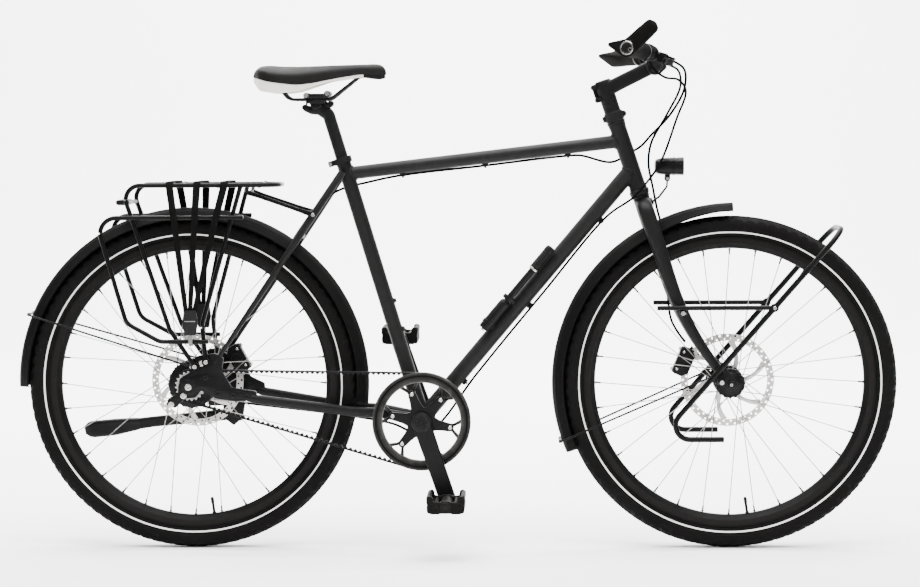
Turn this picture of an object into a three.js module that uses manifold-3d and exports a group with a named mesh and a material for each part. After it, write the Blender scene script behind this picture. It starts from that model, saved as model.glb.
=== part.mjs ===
// Touring bicycle with a toothed belt drive, a gear hub and disc brakes.
// Lengths are millimetres and angles degrees. +X is forward, +Y the rider's left, +Z up.
import * as THREE from 'three';
import { mergeVertices } from 'three/addons/utils/BufferGeometryUtils.js';
import Module from 'manifold-3d';

const wasm = await Module();
wasm.setup();

// Driving dimensions of the whole bicycle
const wheelbase = 1166;
const wheelRadius = 361;
const bottomBracketDrop = 78;
const chainstayLength = 506.65;
const seatAngle = 73.2;
const headAngle = 71.6;
const forkRake = 54;
const crankLength = 175;
const crankAngle = 18.6;
const frontSpacing = 100;
const rearSpacing = 135;
const seatGap = 0.3;
const overrun = 30;
const mergeTolerance = 0.001;
const wheelSegments = 30;
const roundSegments = 12;
const bendStep = 36;

const frame = {
  headDiameter: 36, headBore: 30.4, headLength: 150, headCupDiameter: 43, headCupHeight: 14,
  topCupDiameter: 40, topCupHeight: 6, crownToHead: 458,
  seatDiameter: 31.8, seatLength: 592, seatFoot: 26,
  topDiameter: 28.6, topSeatDrop: 35, topHeadDrop: 39,
  downDiameter: 34.9, downHeadRise: 46,
  shellDiameter: 42, shellBore: 25, shellWidth: 73,
  bossDiameter: 10, bossRise: 3, bossHeight: 264, bossPitch: 64,
  clampWall: 3.6, clampHeight: 14, clampLugReach: 16, clampLugWidth: 18, clampLugHeight: 12, clampDrop: 12,
  guideReach: 9, guideWidth: 6, guideLength: 14, guideBolt: 5, guideBoltLength: 9,
};
const stays = {
  chainWidth: 14, chainHeight: 22, chainRear: 17, chainStart: 22, chainWide: 39.5, chainBendReach: 92,
  chainDrop: 26,
  chainGuardReach: 150, chainRise: 16, chainLap: 10,
  seatDiameter: 16, seatTopSpread: 23, seatTopDrop: 30, seatTopBack: 8, seatBendDrop: 95,
  seatBendSpread: 43,
  bridgeDiameter: 12, bridgeRadius: 398, eyeletDiameter: 12, eyeletReach: 12,
};
const dropout = {
  thickness: 9, length: 146, height: 72, corner: 5, boltDiameter: 12, boltHeight: 3,
  axleHole: 12.8, kickReach: 73, kickDrop: 86, cableBoxLength: 46, cableBoxWidth: 18, cableBoxHeight: 26,
  cableBoxY: 65,
};
// Points of the plate are shares of its length forward of the axle and of its height above it
const rightPlateShares = [
  [-0.16, -0.07], [-0.13, 0.25], [0.02, 0.42], [0.04, 0.78], [0.14, 0.93], [0.4, 1], [0.52, 0.86],
  [0.49, 0.46],
  [0.64, -0.03], [1, -0.14], [1.01, -0.42], [0.68, -0.44], [0.4, -0.36], [0.18, -0.1], [0.1, -0.33],
  [-0.06, -0.36],
  [-0.2, -0.64], [-0.34, -0.56], [-0.31, -0.36], [-0.16, -0.2],
];
const leftPlateShares = [
  [-0.16, -0.07], [-0.13, 0.25], [0.02, 0.42], [0.04, 0.78], [0.14, 0.93], [0.4, 1], [0.56, 0.86],
  [0.72, 0.5],
  [0.78, 0.1], [1, -0.12], [1.01, -0.42], [0.72, -0.5], [0.66, -1.2], [0.52, -1.44], [0.38, -1.2],
  [0.34, -0.4],
  [0.1, -0.33], [-0.06, -0.33],
];
const rightBoltShares = [
  [0.26, 0.28], [0.43, -0.2], [0.66, -0.26], [0.86, -0.29], [0.19, 0.71], [-0.265, -0.53], [-0.08, -0.27],
];
const leftBoltShares = [[0.26, 0.28], [0.43, -0.2], [0.86, -0.29]];

const wheel = {
  tireWidth: 50, tireWall: 4, treadWidth: 14, treadDrop: 8, treadShoulder: 20, casing: 14, innerHalf: 17,
  rimInner: wheelRadius - 71, rimOuter: wheelRadius - 45, beadRadius: wheelRadius - 50,
  rimBed: wheelRadius - 55,
  sideRadius: wheelRadius - 24, rimWidth: 28, rimBedWidth: 11, rimNeck: 8, flange: 1.6,
  spokes: 32, spokeDiameter: 1.9, spokeOffset: 1.3, nippleSpread: 3, valveDiameter: 6, valveLength: 38,
  valveAngle: 8,
};
const frontHub = {
  flangeRadius: 31, flangeY: 28, flangeThickness: 5, shellRadius: 27, holeRadius: 27.5, boreRadius: 5.2,
  endRadius: 10, rotorSeat: 21.7, rotorSpigot: 17, rotorY: 39, cross: 45,
};
const rearHub = {
  flangeRadius: 51, flangeY: 29, flangeThickness: 5, shellRadius: 46, holeRadius: 47.5, boreRadius: 6.6,
  endRadius: 26, rotorSeat: 30, rotorSpigot: 20, rotorY: 51.5, cross: 45,
};
const rotor = {
  radius: 101.5, track: 15, hubRadius: 32, thickness: 1.8, arms: 6, armTwist: 26, armWidth: 7,
};
const frontAxle = { diameter: 9.4, headDiameter: 17, headLength: 7, capDiameter: 30, capLength: 4 };
const rearAxle = {
  diameter: 12, headDiameter: 15, headLength: 5, washerDiameter: 33, washerLength: 4, driverDiameter: 23.4,
};

const belt = {
  pitch: 11, ringTeeth: 60, sprocketTeeth: 20, width: 12, lineY: 55, backing: 1, toothBase: 1.8,
  toothHeight: 3.2,
  rootClearance: 0.5, ringFacets: 20, sprocketFacets: 9,
};
// Shares of one pitch: where a belt tooth starts and has its tip, and how deep it is there
const toothShares = [0, 0.5];
const toothDepthShares = [0, 1];
const ring = {
  thickness: 10, rimInner: 86, boltRadius: 63, bossRadius: 8, prongWidth: 6, prongSpread: 17,
  tabThickness: 6,
  arms: 6, lipRoot: 97.5, lipEdge: 1.5, lipFar: 3.1, lipNear: 1.3,
};
const sprocket = { thickness: 10, hubRadius: 19, hubLength: 5, windows: 5, windowRadius: 4 };
const crank = {
  spindleDiameter: 24, bossRadius: 21, armInner: 68, armOuter: 81, rootWidth: 40, tipWidth: 38, tipLap: 14,
  spiderWidth: 26, spiderTipWidth: 16, boltDiameter: 8, boltLength: 2, leftLap: 14,
};
const pedal = {
  length: 81, width: 96, bodyHeight: 30, axleDiameter: 13, axleLength: 14, coreWidth: 30, coreHeight: 26,
  railWidth: 13, hookTop: 24, hookLength: 12,
};

const fork = {
  steererDiameter: 28.6, steererTop: 640, steererFoot: 392, crownHeight: 436, legTop: 34, legTopWidth: 28,
  legMid: 27,
  legTip: 19, crownSpread: 14, shoulderSpread: 36, shoulderHeight: 416, legSpread: 47, legSpreadHeight: 376,
  tipSpread: 56, bendStart: 250, legEnd: 24, tipThickness: 7, tipRadius: 14, eyeletX: 49, eyeletZ: 15,
  eyeletRadius: 6,
  bossHeight: 181, bossDiameter: 12, bossOuter: 73, lowBossX: 22, lowBossZ: 7,
};
const stem = {
  diameter: 36, top: 706, collarFoot: 614.3, collarTop: 634, collarDiameter: 41, collarLugReach: 25,
  collarLugLength: 12, collarLugWidth: 14, collarLugHeight: 13,
  reach: 118, rise: 700, armFoot: 684, armWidth: 32, armHeight: 30, clampDiameter: 42, clampWidth: 46,
  boltDiameter: 9, boltReach: 27, boltLow: 669, boltHigh: 697, boltWidth: 22, pocketDepth: 27,
};
const bar = {
  clampDiameter: 31.8, gripDiameter: 22.2, clampHalf: 48, bendY: 100, bendRise: 22, endY: 330, endReach: 55,
  endRise: 747, bendRadius: 40, endGap: 3,
};
const grip = {
  start: 98, leftStart: 56, diameter: 33, wingReach: 30, wingAngle: 150, wingStart: 150, wall: 4,
  hornLength: 76, hornAngle: 24, hornWidth: 22, hornHeight: 23, hornInset: 13,
};
const shifter = { start: 56, length: 40, diameter: 37, ribs: 8, ribDepth: 1.2 };
const brake = {
  clampStart: 24, clampWidth: 13, clampDiameter: 32, tilt: 40, bodyReach: 31, bodyDiameter: 18,
  bodyStart: 22,
  bodyEnd: 66, lugReach: 53, lugGap: 4.4, lugHeight: 9, pivotReach: 46.5, pivotStart: 34,
  leverThick: 7, leverHeight: 13, leverReach: 59, leverLength: 118, leverRoot: 6,
};
const lamp = {
  reach: 78, height: 485, length: 62, depth: 40, width: 58, tailDepth: 24, footReach: 66, footHeight: 461,
  earRadius: 6, earWidth: 4, bossWidth: 10, wireDiameter: 4, wireSpread: 9, plateHeight: 425, plateSize: 16,
  plateThickness: 3,
};
const guard = {
  radius: wheelRadius + 24, width: 60, sag: 11, thickness: 1.8, frontFrom: 89, frontTo: 203.6, rearFrom: -7,
  rearTo: 181,
  step: 10, wireDiameter: 4, wireClear: 5, clipLength: 16, clipWidth: 12,
  frontWireAngle: 199, rearWireAngle: 156.7,
};
const lowrider = {
  tube: 12, railTube: 10, spread: 80, hookX: 17, hookZ: 115, cornerX: 157, cornerRadius: 48, hoopX: 234,
  hoopZ: 333,
  hoopRadius: 42, railBack: 160, railFront: 90, railZ: 167, tabThickness: 4, tabWidth: 14,
};
const caliper = {
  radius: 103, thickness: 24, length: 64, depth: 36, slot: 5, frontAngle: 157, rearAngle: 28, armReach: 30,
  armThickness: 7, boltDiameter: 8,
};

const rack = {
  tube: 10, platformHalf: 60, platformRise: 433, frontX: 196, rearX: -144, archRadius: 42, rearRadius: 30,
  kneeRadius: 24,
  kneeX: -39, kneeZ: 123, kneeY: 77, footX: 15, footZ: 44, footClear: 6,
  strutTopX: 116, strutKneeX: 31, strutKneeZ: 134, strutKneeY: 79, strutFootX: 39, strutFootZ: 54,
  railX: 122, railBackX: -198, railTopZ: 364, railTopY: 72, railKneeX: -131, railKneeZ: 138, railKneeY: 85,
  railLowX: -59, railLowZ: 98.5, railLowY: 87, railEndX: 46, railRadius: 34,
  crossTube: 8, braceTube: 7, braceTopX: 128, braceTopDrop: 16, braceSpread: 46, lampZ: 396,
  braceEndZ: 368, braceTab: 4,
};
const crossShares = [0.36, 0.62, 0.88];
const rearLight = { length: 24, width: 76, height: 12, gap: 0.4 };
const strap = {
  width: 20, thickness: 2, low: 157, buckleWidth: 27, buckleHeight: 50, buckleThickness: 6, hookHeight: 24,
  hookWidth: 13, topX: -37, topStep: 59, convergeX: 8, lowStep: 8, railPass: 78.6,
};
const seat = {
  postDiameter: 27.2, postFoot: 420, postTop: 722, headBack: 14, headRise: 733, headLength: 44,
  headDepth: 20,
  headWidth: 56, clampRise: 10,
  railDiameter: 7, railSpread: 22, railNose: 9, railZ: -30, railFrontX: 60, railRearX: -62,
};
// The saddle is drawn from its tail to its nose: height of the top and of the edges above the rail clamp,
// and half its width, each as a share of saddle.length
const saddle = { length: 284, tail: -133, rise: 44, shellWall: 4, shellCrown: 0.25 };
const saddleStationShares = [0, 0.04, 0.12, 0.22, 0.34, 0.46, 0.58, 0.7, 0.82, 0.92, 0.975, 1];
const saddleTopShares = [0.045, 0.085, 0.092, 0.084, 0.083, 0.087, 0.092, 0.096, 0.099, 0.098, 0.09, 0.055];
const saddleEdgeShares = [
  0.0, -0.012, -0.035, -0.05, -0.062, -0.048, -0.022, 0.0, 0.018, 0.012, 0.008, 0.02,
];
const saddleLowShares = [
  -0.02, -0.1, -0.118, -0.123, -0.11, -0.072, -0.035, -0.018, -0.004, -0.018, -0.02, 0.0,
];
const saddleHalfShares = [0.1, 0.2, 0.262, 0.27, 0.232, 0.175, 0.128, 0.098, 0.08, 0.07, 0.058, 0.02];
const pump = {
  start: 237, barrelEnd: 314, neckEnd: 407, top: 467, barrelDiameter: 25, neckDiameter: 15,
  handleDiameter: 22,
  upOffset: 25, sideOffset: 19, bracketLength: 16, bracketWidth: 20,
};
const kick = {
  tilt: 20.6, width: 23, thickness: 15, footWidth: 30, footLength: 70, length: 336, drop: 5.6,
  headRadius: 19,
  headThickness: 18, bossRadius: 12, bossLength: 8,
};
const hose = { diameter: 5, sides: 4, cableDiameter: 5, cablePitch: 4.6 };

// Materials
const finish = (color, roughness, metalness) => new THREE.MeshStandardMaterial(
  { color, roughness, metalness }
);
const framePaint = finish(0x1d1c1c, 0.55, 0.3);
const rackPaint = finish(0x161616, 0.3, 0.4);
const blackAlloy = finish(0x1f1f20, 0.4, 0.7);
const silver = finish(0xb9b9b6, 0.3, 1);
const rotorSteel = finish(0xc9c3c0, 0.35, 1);
const tireRubber = finish(0x262424, 0.9, 0);
const gripRubber = finish(0x232323, 0.85, 0);
const plastic = finish(0x1b1b1b, 0.5, 0);
const guardPlastic = finish(0x222121, 0.6, 0);
const rimAlloy = finish(0x4a4646, 0.45, 0.6);
const beltRubber = finish(0x141414, 0.7, 0);
const leather = finish(0x1c1a1a, 0.5, 0);
const creamPlastic = finish(0xe6e0d6, 0.5, 0);
const webbing = finish(0x18181a, 0.8, 0);
const redLens = finish(0x8a0f12, 0.25, 0);
const hoseBlack = finish(0x111111, 0.5, 0);

// Geometry helpers
const V = (x, y, z) => new THREE.Vector3(x, y, z);
const flat = (x, y) => new THREE.Vector2(x, y);
const radians = THREE.MathUtils.degToRad;
const sides = [-1, 1];
// A hole of so many flats that a shaft of this diameter passes through
const around = (diameter, count) => diameter / Math.cos(Math.PI / count) + 2 * seatGap;
const polar = (radius, degrees, y = 0) =>
  V(radius * Math.cos(radians(degrees)), y, radius * Math.sin(radians(degrees)));

// A closed geometry becomes a solid whose faces point out
function solid(geometry) {
  const bare = new THREE.BufferGeometry();
  bare.setAttribute('position', geometry.attributes.position.clone());
  if (geometry.index) bare.setIndex(geometry.index.clone());
  const merged = mergeVertices(bare, mergeTolerance);
  const points = merged.attributes.position.array;
  const corners = merged.index.array;
  const point = (index) => new THREE.Vector3().fromArray(points, 3 * index);
  const triangles = [];
  let volume = 0;
  for (let i = 0; i < corners.length; i += 3) {
    const [a, b, c] = corners.slice(i, i + 3);
    if (a === b || b === c || c === a) continue;
    triangles.push(a, b, c);
    volume += point(a).dot(point(b).cross(point(c)));
  }
  if (volume < 0) triangles.reverse();
  return new wasm.Manifold(new wasm.Mesh({
    numProp: 3, vertProperties: Float32Array.from(points), triVerts: Uint32Array.from(triangles),
  }));
}

function geometryOf(body) {
  const mesh = body.getMesh();
  const geometry = new THREE.BufferGeometry();
  geometry.setAttribute('position', new THREE.Float32BufferAttribute(mesh.vertProperties, 3));
  geometry.setIndex(Array.from(mesh.triVerts));
  geometry.computeVertexNormals();
  return geometry;
}

const join = (...pieces) => geometryOf(pieces.map(solid).reduce((whole, piece) => whole.add(piece)));
const cut = (base, ...tools) =>
  geometryOf(tools.map(solid).reduce((whole, tool) => whole.subtract(tool), solid(base)));
const mirrored = (geometry) => geometryOf(solid(geometry.clone().scale(1, -1, 1)));

// Rings with as many points as the outline are skinned into one body with a flat cap at each end
function loft(rings, outline) {
  const count = outline.length;
  const index = [];
  for (let r = 0; r < rings.length - 1; r += 1) {
    for (let i = 0; i < count; i += 1) {
      const here = r * count + i;
      const next = r * count + ((i + 1) % count);
      index.push(here, next, next + count, here, next + count, here + count);
    }
  }
  const last = (rings.length - 1) * count;
  const clockwise = THREE.ShapeUtils.isClockWise(outline);
  for (const triangle of THREE.ShapeUtils.triangulateShape(outline, [])) {
    const [a, b, c] = clockwise ? triangle.reverse() : triangle;
    index.push(c, b, a, last + a, last + b, last + c);
  }
  const geometry = new THREE.BufferGeometry();
  geometry.setAttribute(
    'position', new THREE.Float32BufferAttribute(rings.flat().flatMap((p) => p.toArray()), 3)
  );
  geometry.setIndex(index);
  return geometry;
}

const circle = (count, from = 0) =>
  Array.from(
    { length: count },
    (_, i) => flat(Math.cos(from + 2 * Math.PI * i / count), Math.sin(from + 2 * Math.PI * i / count))
  );
const square = [flat(-1, -1), flat(1, -1), flat(1, 1), flat(-1, 1)];

// A section is carried along a path and may change size on the way; width lies across, height square to it
function sweep(path, width, height = width, section = circle(6), across = V(0, 1, 0)) {
  let wide = across.clone();
  const last = path.length - 1;
  const rings = path.map((point, i) => {
    const along = V(0, 0, 0);
    if (i > 0) along.add(point.clone().sub(path[i - 1]).normalize());
    if (i < last) along.add(path[i + 1].clone().sub(point).normalize());
    along.normalize();
    wide.addScaledVector(along, -wide.dot(along)).normalize();
    const high = new THREE.Vector3().crossVectors(along, wide);
    const w = (Array.isArray(width) ? width[i] : width) / 2;
    const h = (Array.isArray(height) ? height[i] : height) / 2;
    return section.map((p) => point.clone().addScaledVector(wide, w * p.x).addScaledVector(high, h * p.y));
  });
  return loft(rings, section);
}

const rod = (from, to, diameter, count = 6, across = V(0.3, 1, 0.2)) =>
  sweep([from, to], diameter, diameter, circle(count), across);

// The corners of a bent tube become arcs, of one radius or of one each
function bent(corners, radii, step = bendStep) {
  const path = [corners[0].clone()];
  for (let i = 1; i < corners.length - 1; i += 1) {
    const back = corners[i - 1].clone().sub(corners[i]);
    const ahead = corners[i + 1].clone().sub(corners[i]);
    const turned = Math.PI - back.angleTo(ahead);
    const radius = Array.isArray(radii) ? radii[i - 1] : radii;
    const room = Math.min(back.length(), ahead.length()) * 0.48;
    const trim = Math.min(radius * Math.tan(turned / 2), room);
    const arcRadius = trim / Math.tan(turned / 2);
    back.normalize();
    ahead.normalize();
    const start = corners[i].clone().addScaledVector(back, trim);
    const inward = ahead.clone().addScaledVector(back, -ahead.dot(back)).normalize();
    const count = Math.max(1, Math.round(THREE.MathUtils.radToDeg(turned) / step));
    for (let k = 0; k <= count; k += 1) {
      const angle = turned * k / count;
      path.push(start.clone().addScaledVector(inward, arcRadius * (1 - Math.cos(angle)))
        .addScaledVector(back, -arcRadius * Math.sin(angle)));
    }
  }
  path.push(corners.at(-1).clone());
  return path;
}

// A profile of [radius, place] pairs is turned about Y, or about Z
const turned = (profile, segments = roundSegments) =>
  new THREE.LatheGeometry([...profile, profile[0]].map(([r, y]) => flat(r, y)), segments);
const turnedUp = (profile, segments = roundSegments) => turned(profile, segments).rotateX(Math.PI / 2);

// A flat outline in the side view becomes a plate from one Y to another
function plate(shape, nearY, farY, curveSegments = 4) {
  const depth = farY - nearY;
  const body = new THREE.ExtrudeGeometry(shape, { depth, bevelEnabled: false, curveSegments });
  return body.rotateX(Math.PI / 2).translate(0, farY, 0);
}

function roundedShape(points, radius) {
  const shape = new THREE.Shape();
  points.forEach((point, i) => {
    const before = points.at(i - 1);
    const after = points[(i + 1) % points.length];
    const near = point.clone().add(before.clone().sub(point).setLength(radius));
    const far = point.clone().add(after.clone().sub(point).setLength(radius));
    if (i === 0) shape.moveTo(near.x, near.y);
    else shape.lineTo(near.x, near.y);
    shape.quadraticCurveTo(point.x, point.y, far.x, far.y);
  });
  return shape;
}

const block = (center, x, y, z) => new THREE.BoxGeometry(x, y, z).translate(center.x, center.y, center.z);
const disc = (center, diameter, fromY, toY, count = 10) =>
  rod(V(center.x, fromY, center.z), V(center.x, toY, center.z), diameter, count, V(1, 0, 0));

// Groups: each carries what moves as one
const bicycle = new THREE.Group();
const group = (parent, position, turn = 0) => {
  const made = new THREE.Group();
  made.position.copy(position);
  made.rotation.y = turn;
  parent.add(made);
  return made;
};
function add(name, geometry, material, parent) {
  const mesh = new THREE.Mesh(geometryOf(solid(geometry)), material);
  mesh.name = name;
  parent.add(mesh);
  return mesh;
}

// Main points
const rearPoint = V(-wheelbase / 2, 0, wheelRadius);
const frontPoint = V(wheelbase / 2, 0, wheelRadius);
const bracketPoint = V(
  rearPoint.x + Math.sqrt(chainstayLength ** 2 - bottomBracketDrop ** 2), 0, wheelRadius - bottomBracketDrop);
const seatUp = V(-Math.cos(radians(seatAngle)), 0, Math.sin(radians(seatAngle)));
const headUp = V(-Math.cos(radians(headAngle)), 0, Math.sin(radians(headAngle)));
const headForward = V(Math.sin(radians(headAngle)), 0, Math.cos(radians(headAngle)));
const steerPoint = frontPoint.clone().addScaledVector(headForward, -forkRake);
const alongSeat = (distance, forward = 0, y = 0) => V(
  bracketPoint.x + distance * seatUp.x + forward * seatUp.z, y,
  bracketPoint.z + distance * seatUp.z - forward * seatUp.x);
const alongHead = (distance) => steerPoint.clone().addScaledVector(headUp, distance);
const headTurn = -radians(90 - headAngle);

const frameGroup = group(bicycle, V(0, 0, 0));
const rearGroup = group(bicycle, rearPoint);
const headGroup = group(bicycle, steerPoint, headTurn);
const steering = group(bicycle, steerPoint, headTurn);
steering.name = 'steering_axis';
// From the steering frame into the upright frame about the front axle
const steeringToAxle = new THREE.Matrix4().makeRotationY(headTurn)
  .multiply(new THREE.Matrix4().makeTranslation(-forkRake, 0, 0));
const frontFrame = group(steering, V(forkRake, 0, 0), -headTurn);
const frontWheel = group(frontFrame, V(0, 0, 0));
const rearWheel = group(bicycle, rearPoint);
const crankGroup = group(bicycle, bracketPoint);
const seatGroup = group(bicycle, bracketPoint, -radians(90 - seatAngle));

// Frame tubes
const headTop = frame.crownToHead + frame.headLength;
const topFrom = alongSeat(frame.seatLength - frame.topSeatDrop);
const topTo = alongHead(headTop - frame.topHeadDrop);
const downTo = alongHead(frame.crownToHead + frame.downHeadRise);
const downUp = downTo.clone().sub(bracketPoint).normalize();
const downNormal = V(-downUp.z, 0, downUp.x);
const frameTube = (from, to, diameter) => rod(from, to, diameter, 10);
const tubeCutter = (from, to, diameter) => rod(from, to, around(diameter, 12), 12);
const headCutter = tubeCutter(
  alongHead(frame.crownToHead - overrun), alongHead(headTop + overrun), frame.headDiameter
);
const seatCutter = tubeCutter(
  alongSeat(-overrun), alongSeat(frame.seatLength + overrun), frame.seatDiameter
);
const shellCutter = disc(
  bracketPoint, around(frame.shellDiameter, 12), -frame.shellWidth, frame.shellWidth, 12
);

function headTube() {
  const bore = frame.headBore / 2;
  const wall = frame.headDiameter / 2;
  const cup = frame.headCupDiameter / 2;
  const topCup = frame.topCupDiameter / 2;
  const foot = frame.crownToHead - frame.headCupHeight;
  const top = headTop + frame.topCupHeight;
  return turnedUp([
    [bore, foot], [wall, foot], [cup, foot + frame.headCupHeight / 3], [cup, frame.crownToHead - seatGap],
    [wall, frame.crownToHead], [wall, headTop], [topCup, headTop], [topCup, top], [bore, top],
  ]);
}

function seatTube() {
  const bore = around(seat.postDiameter, 10) / 2;
  const outer = frame.seatDiameter / 2;
  const tube = turnedUp(
    [
      [bore, frame.seatFoot], [outer, frame.seatFoot - overrun], [outer, frame.seatLength],
      [bore, frame.seatLength],
    ],
    10
  )
    .rotateY(-radians(90 - seatAngle)).translate(bracketPoint.x, 0, bracketPoint.z);
  const bosses = [0, frame.bossPitch].map((drop) => rod(
    alongSeat(frame.bossHeight - drop, frame.seatDiameter / 2 - frame.bossRise),
    alongSeat(frame.bossHeight - drop, frame.seatDiameter / 2 + frame.bossRise), frame.bossDiameter));
  return cut(join(tube, ...bosses), shellCutter);
}

const topGuideShares = [0.2, 0.5, 0.8];
const downGuideShares = [0.17, 0.48, 0.82];
// A guide under a tube: a saddle block with a bolt head, 0.3 mm clear of the hose it holds
function guide(at, along, away) {
  const frameWay = new THREE.Matrix4().makeBasis(
    along, new THREE.Vector3().crossVectors(away, along), away
  );
  const body = block(V(0, 0, 0), frame.guideLength, frame.guideWidth, frame.guideReach);
  const bolt = rod(
    V(0, 0, frame.guideReach / 2 - frame.bossRise),
    V(0, 0, frame.guideReach / 2 + frame.guideBoltLength / 2), frame.guideBolt, 6
  );
  return join(body, bolt).applyMatrix4(frameWay).translate(at.x, at.y, at.z);
}

function topTube() {
  const tube = cut(frameTube(topFrom, topTo, frame.topDiameter), seatCutter, headCutter);
  const along = topTo.clone().sub(topFrom).normalize();
  const down = V(along.z, 0, -along.x);
  const reach = (frame.topDiameter + frame.guideReach) / 2 - frame.bossRise;
  const guideAt = (share) => topFrom.clone().lerp(topTo, share).addScaledVector(down, reach);
  const guides = topGuideShares.map((share) => guide(guideAt(share), along, down));
  return join(tube, ...guides);
}

function downTube() {
  const tube = cut(
    frameTube(bracketPoint, downTo, frame.downDiameter), headCutter, shellCutter, seatCutter
  );
  const down = downNormal.clone().negate();
  const reach = (frame.downDiameter + frame.guideReach) / 2 - frame.bossRise;
  const guideAt = (share) => bracketPoint.clone().lerp(downTo, share).addScaledVector(down, reach);
  const guides = downGuideShares.map((share) => guide(guideAt(share), downUp, down));
  return join(tube, ...guides);
}

function bottomBracketShell() {
  const half = frame.shellWidth / 2;
  const ringBody = turned([
    [frame.shellBore / 2, -half], [frame.shellDiameter / 2, -half], [frame.shellDiameter / 2, half],
    [frame.shellBore / 2, half],
  ]);
  return ringBody.translate(bracketPoint.x, 0, bracketPoint.z);
}

const plateY = rearSpacing / 2 + seatGap;
const kickForward = V(Math.cos(radians(kick.drop)), 0, Math.sin(radians(kick.drop)));
const kickOut = V(-kickForward.z, 0, kickForward.x).multiplyScalar(Math.sin(radians(kick.tilt)))
  .setY(Math.cos(radians(kick.tilt)));
const kickFoot = V(dropout.kickReach, plateY + dropout.thickness, -dropout.kickDrop);
const dropoutPoints = (shares) => shares.map(([x, z]) => flat(x * dropout.length, z * dropout.height));

function dropoutPlate(side, shares, boltShares) {
  const near = plateY;
  const far = plateY + dropout.thickness;
  const body = plate(roundedShape(dropoutPoints(shares), dropout.corner), near, far, 1);
  const boltAt = ([x, z]) => V(x * dropout.length, 0, z * dropout.height);
  const bolts = boltShares.map((shares) => disc(
    boltAt(shares), dropout.boltDiameter, far - dropout.boltHeight, far + dropout.boltHeight, 5));
  const hole = disc(V(0, 0, 0), dropout.axleHole, near - overrun, far + overrun);
  let made = cut(join(body, ...bolts), hole);
  if (side > 0) {
    const box = block(
      V(dropout.length * 0.3, dropout.cableBoxY, -dropout.height * 0.62),
      dropout.cableBoxLength, dropout.cableBoxWidth, dropout.cableBoxHeight);
    const boss = rod(
      kickFoot.clone().addScaledVector(kickOut, -dropout.thickness / 2),
      kickFoot.clone().addScaledVector(kickOut, kick.bossLength - seatGap), 2 * kick.bossRadius, 12);
    made = join(made, box, boss);
  }
  return side > 0 ? made : mirrored(made);
}

function chainstay(side) {
  const start = V(stays.chainStart, 0, 0);
  const rear = V(dropout.length - stays.chainLap, 0, -stays.chainDrop);
  const shell = bracketPoint.clone().sub(rearPoint);
  const y = (value) => side * value;
  const path = [
    V(shell.x, y(stays.chainStart), shell.z),
    V(shell.x - stays.chainBendReach, y(stays.chainWide), shell.z + stays.chainRise),
    V(
      shell.x - stays.chainGuardReach, y(stays.chainWide),
      shell.z + stays.chainRise + stays.bridgeDiameter / 2
    ),
    V(rear.x, y(plateY + dropout.thickness / 2), rear.z),
  ];
  const widths = [stays.chainHeight, stays.chainWidth, stays.chainWidth, stays.chainRear];
  const heights = [stays.chainHeight, stays.chainHeight, stays.chainHeight, stays.chainRear];
  const tube = sweep(path, widths, heights, circle(8));
  const slot = block(V(dropout.length * 0.85, y(plateY + dropout.thickness / 2), rear.z), dropout.length / 3,
    dropout.thickness + 2 * seatGap, dropout.height);
  const moved = shellCutter.clone().translate(-rearPoint.x, 0, -rearPoint.z);
  return cut(tube, slot, moved, seatCutter.clone().translate(-rearPoint.x, 0, -rearPoint.z));
}

const seatstayTop = alongSeat(frame.seatLength - stays.seatTopDrop, -stays.seatTopBack).sub(rearPoint);
const seatstayFoot = V(0.42 * dropout.length, 0, 0.8 * dropout.height);
const seatstayAlong = seatstayTop.clone().sub(seatstayFoot).normalize();
const seatstayLength = seatstayTop.distanceTo(seatstayFoot);
// The seatstay's centre line, by height above the rear axle
function seatstayAt(z, side) {
  const share = (z - seatstayFoot.z) / (seatstayTop.z - seatstayFoot.z);
  const bend = 1 - stays.seatBendDrop / seatstayLength;
  const foot = plateY + dropout.thickness / 2;
  const y = share < bend
    ? foot + (stays.seatBendSpread - foot) * share / bend
    : stays.seatBendSpread + (stays.seatTopSpread - stays.seatBendSpread) * (share - bend) / (1 - bend);
  return V(seatstayFoot.x + share * (seatstayTop.x - seatstayFoot.x), side * y, z);
}

function seatstay(side) {
  const bend = seatstayFoot.z + (seatstayTop.z - seatstayFoot.z) * (
    1 - stays.seatBendDrop / seatstayLength
  );
  const foot = seatstayAt(seatstayFoot.z, side);
  const path = bent([foot, seatstayAt(bend, side), seatstayAt(seatstayTop.z, side)], stays.seatBendDrop);
  const tube = sweep(path, stays.seatDiameter, stays.seatDiameter, circle(8));
  const slot = block(foot, dropout.length / 3, dropout.thickness + 2 * seatGap, dropout.height / 2);
  const behind = V(-seatstayAlong.z, 0, seatstayAlong.x);
  const eyeletAt = seatstayAt(rack.braceEndZ, side);
  const eyelet = rod(
    eyeletAt, eyeletAt.clone().addScaledVector(behind, stays.eyeletReach), stays.eyeletDiameter
  );
  const pieces = [tube, eyelet];
  if (side < 0) {
    const bridge = bridgePoint();
    const far = bridge.y - stays.seatDiameter / 2 - 2 * seatGap;
    pieces.push(rod(V(bridge.x, -bridge.y, bridge.z), V(bridge.x, far, bridge.z), stays.bridgeDiameter));
  }
  return cut(join(...pieces), slot, seatCutter.clone().translate(-rearPoint.x, 0, -rearPoint.z));
}

// The seatstay bridge crosses just outside the mudguard
function bridgePoint() {
  let z = seatstayFoot.z;
  while (Math.hypot(seatstayAt(z, 1).x, z) < stays.bridgeRadius) z += 1;
  return seatstayAt(z, 1);
}

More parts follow.
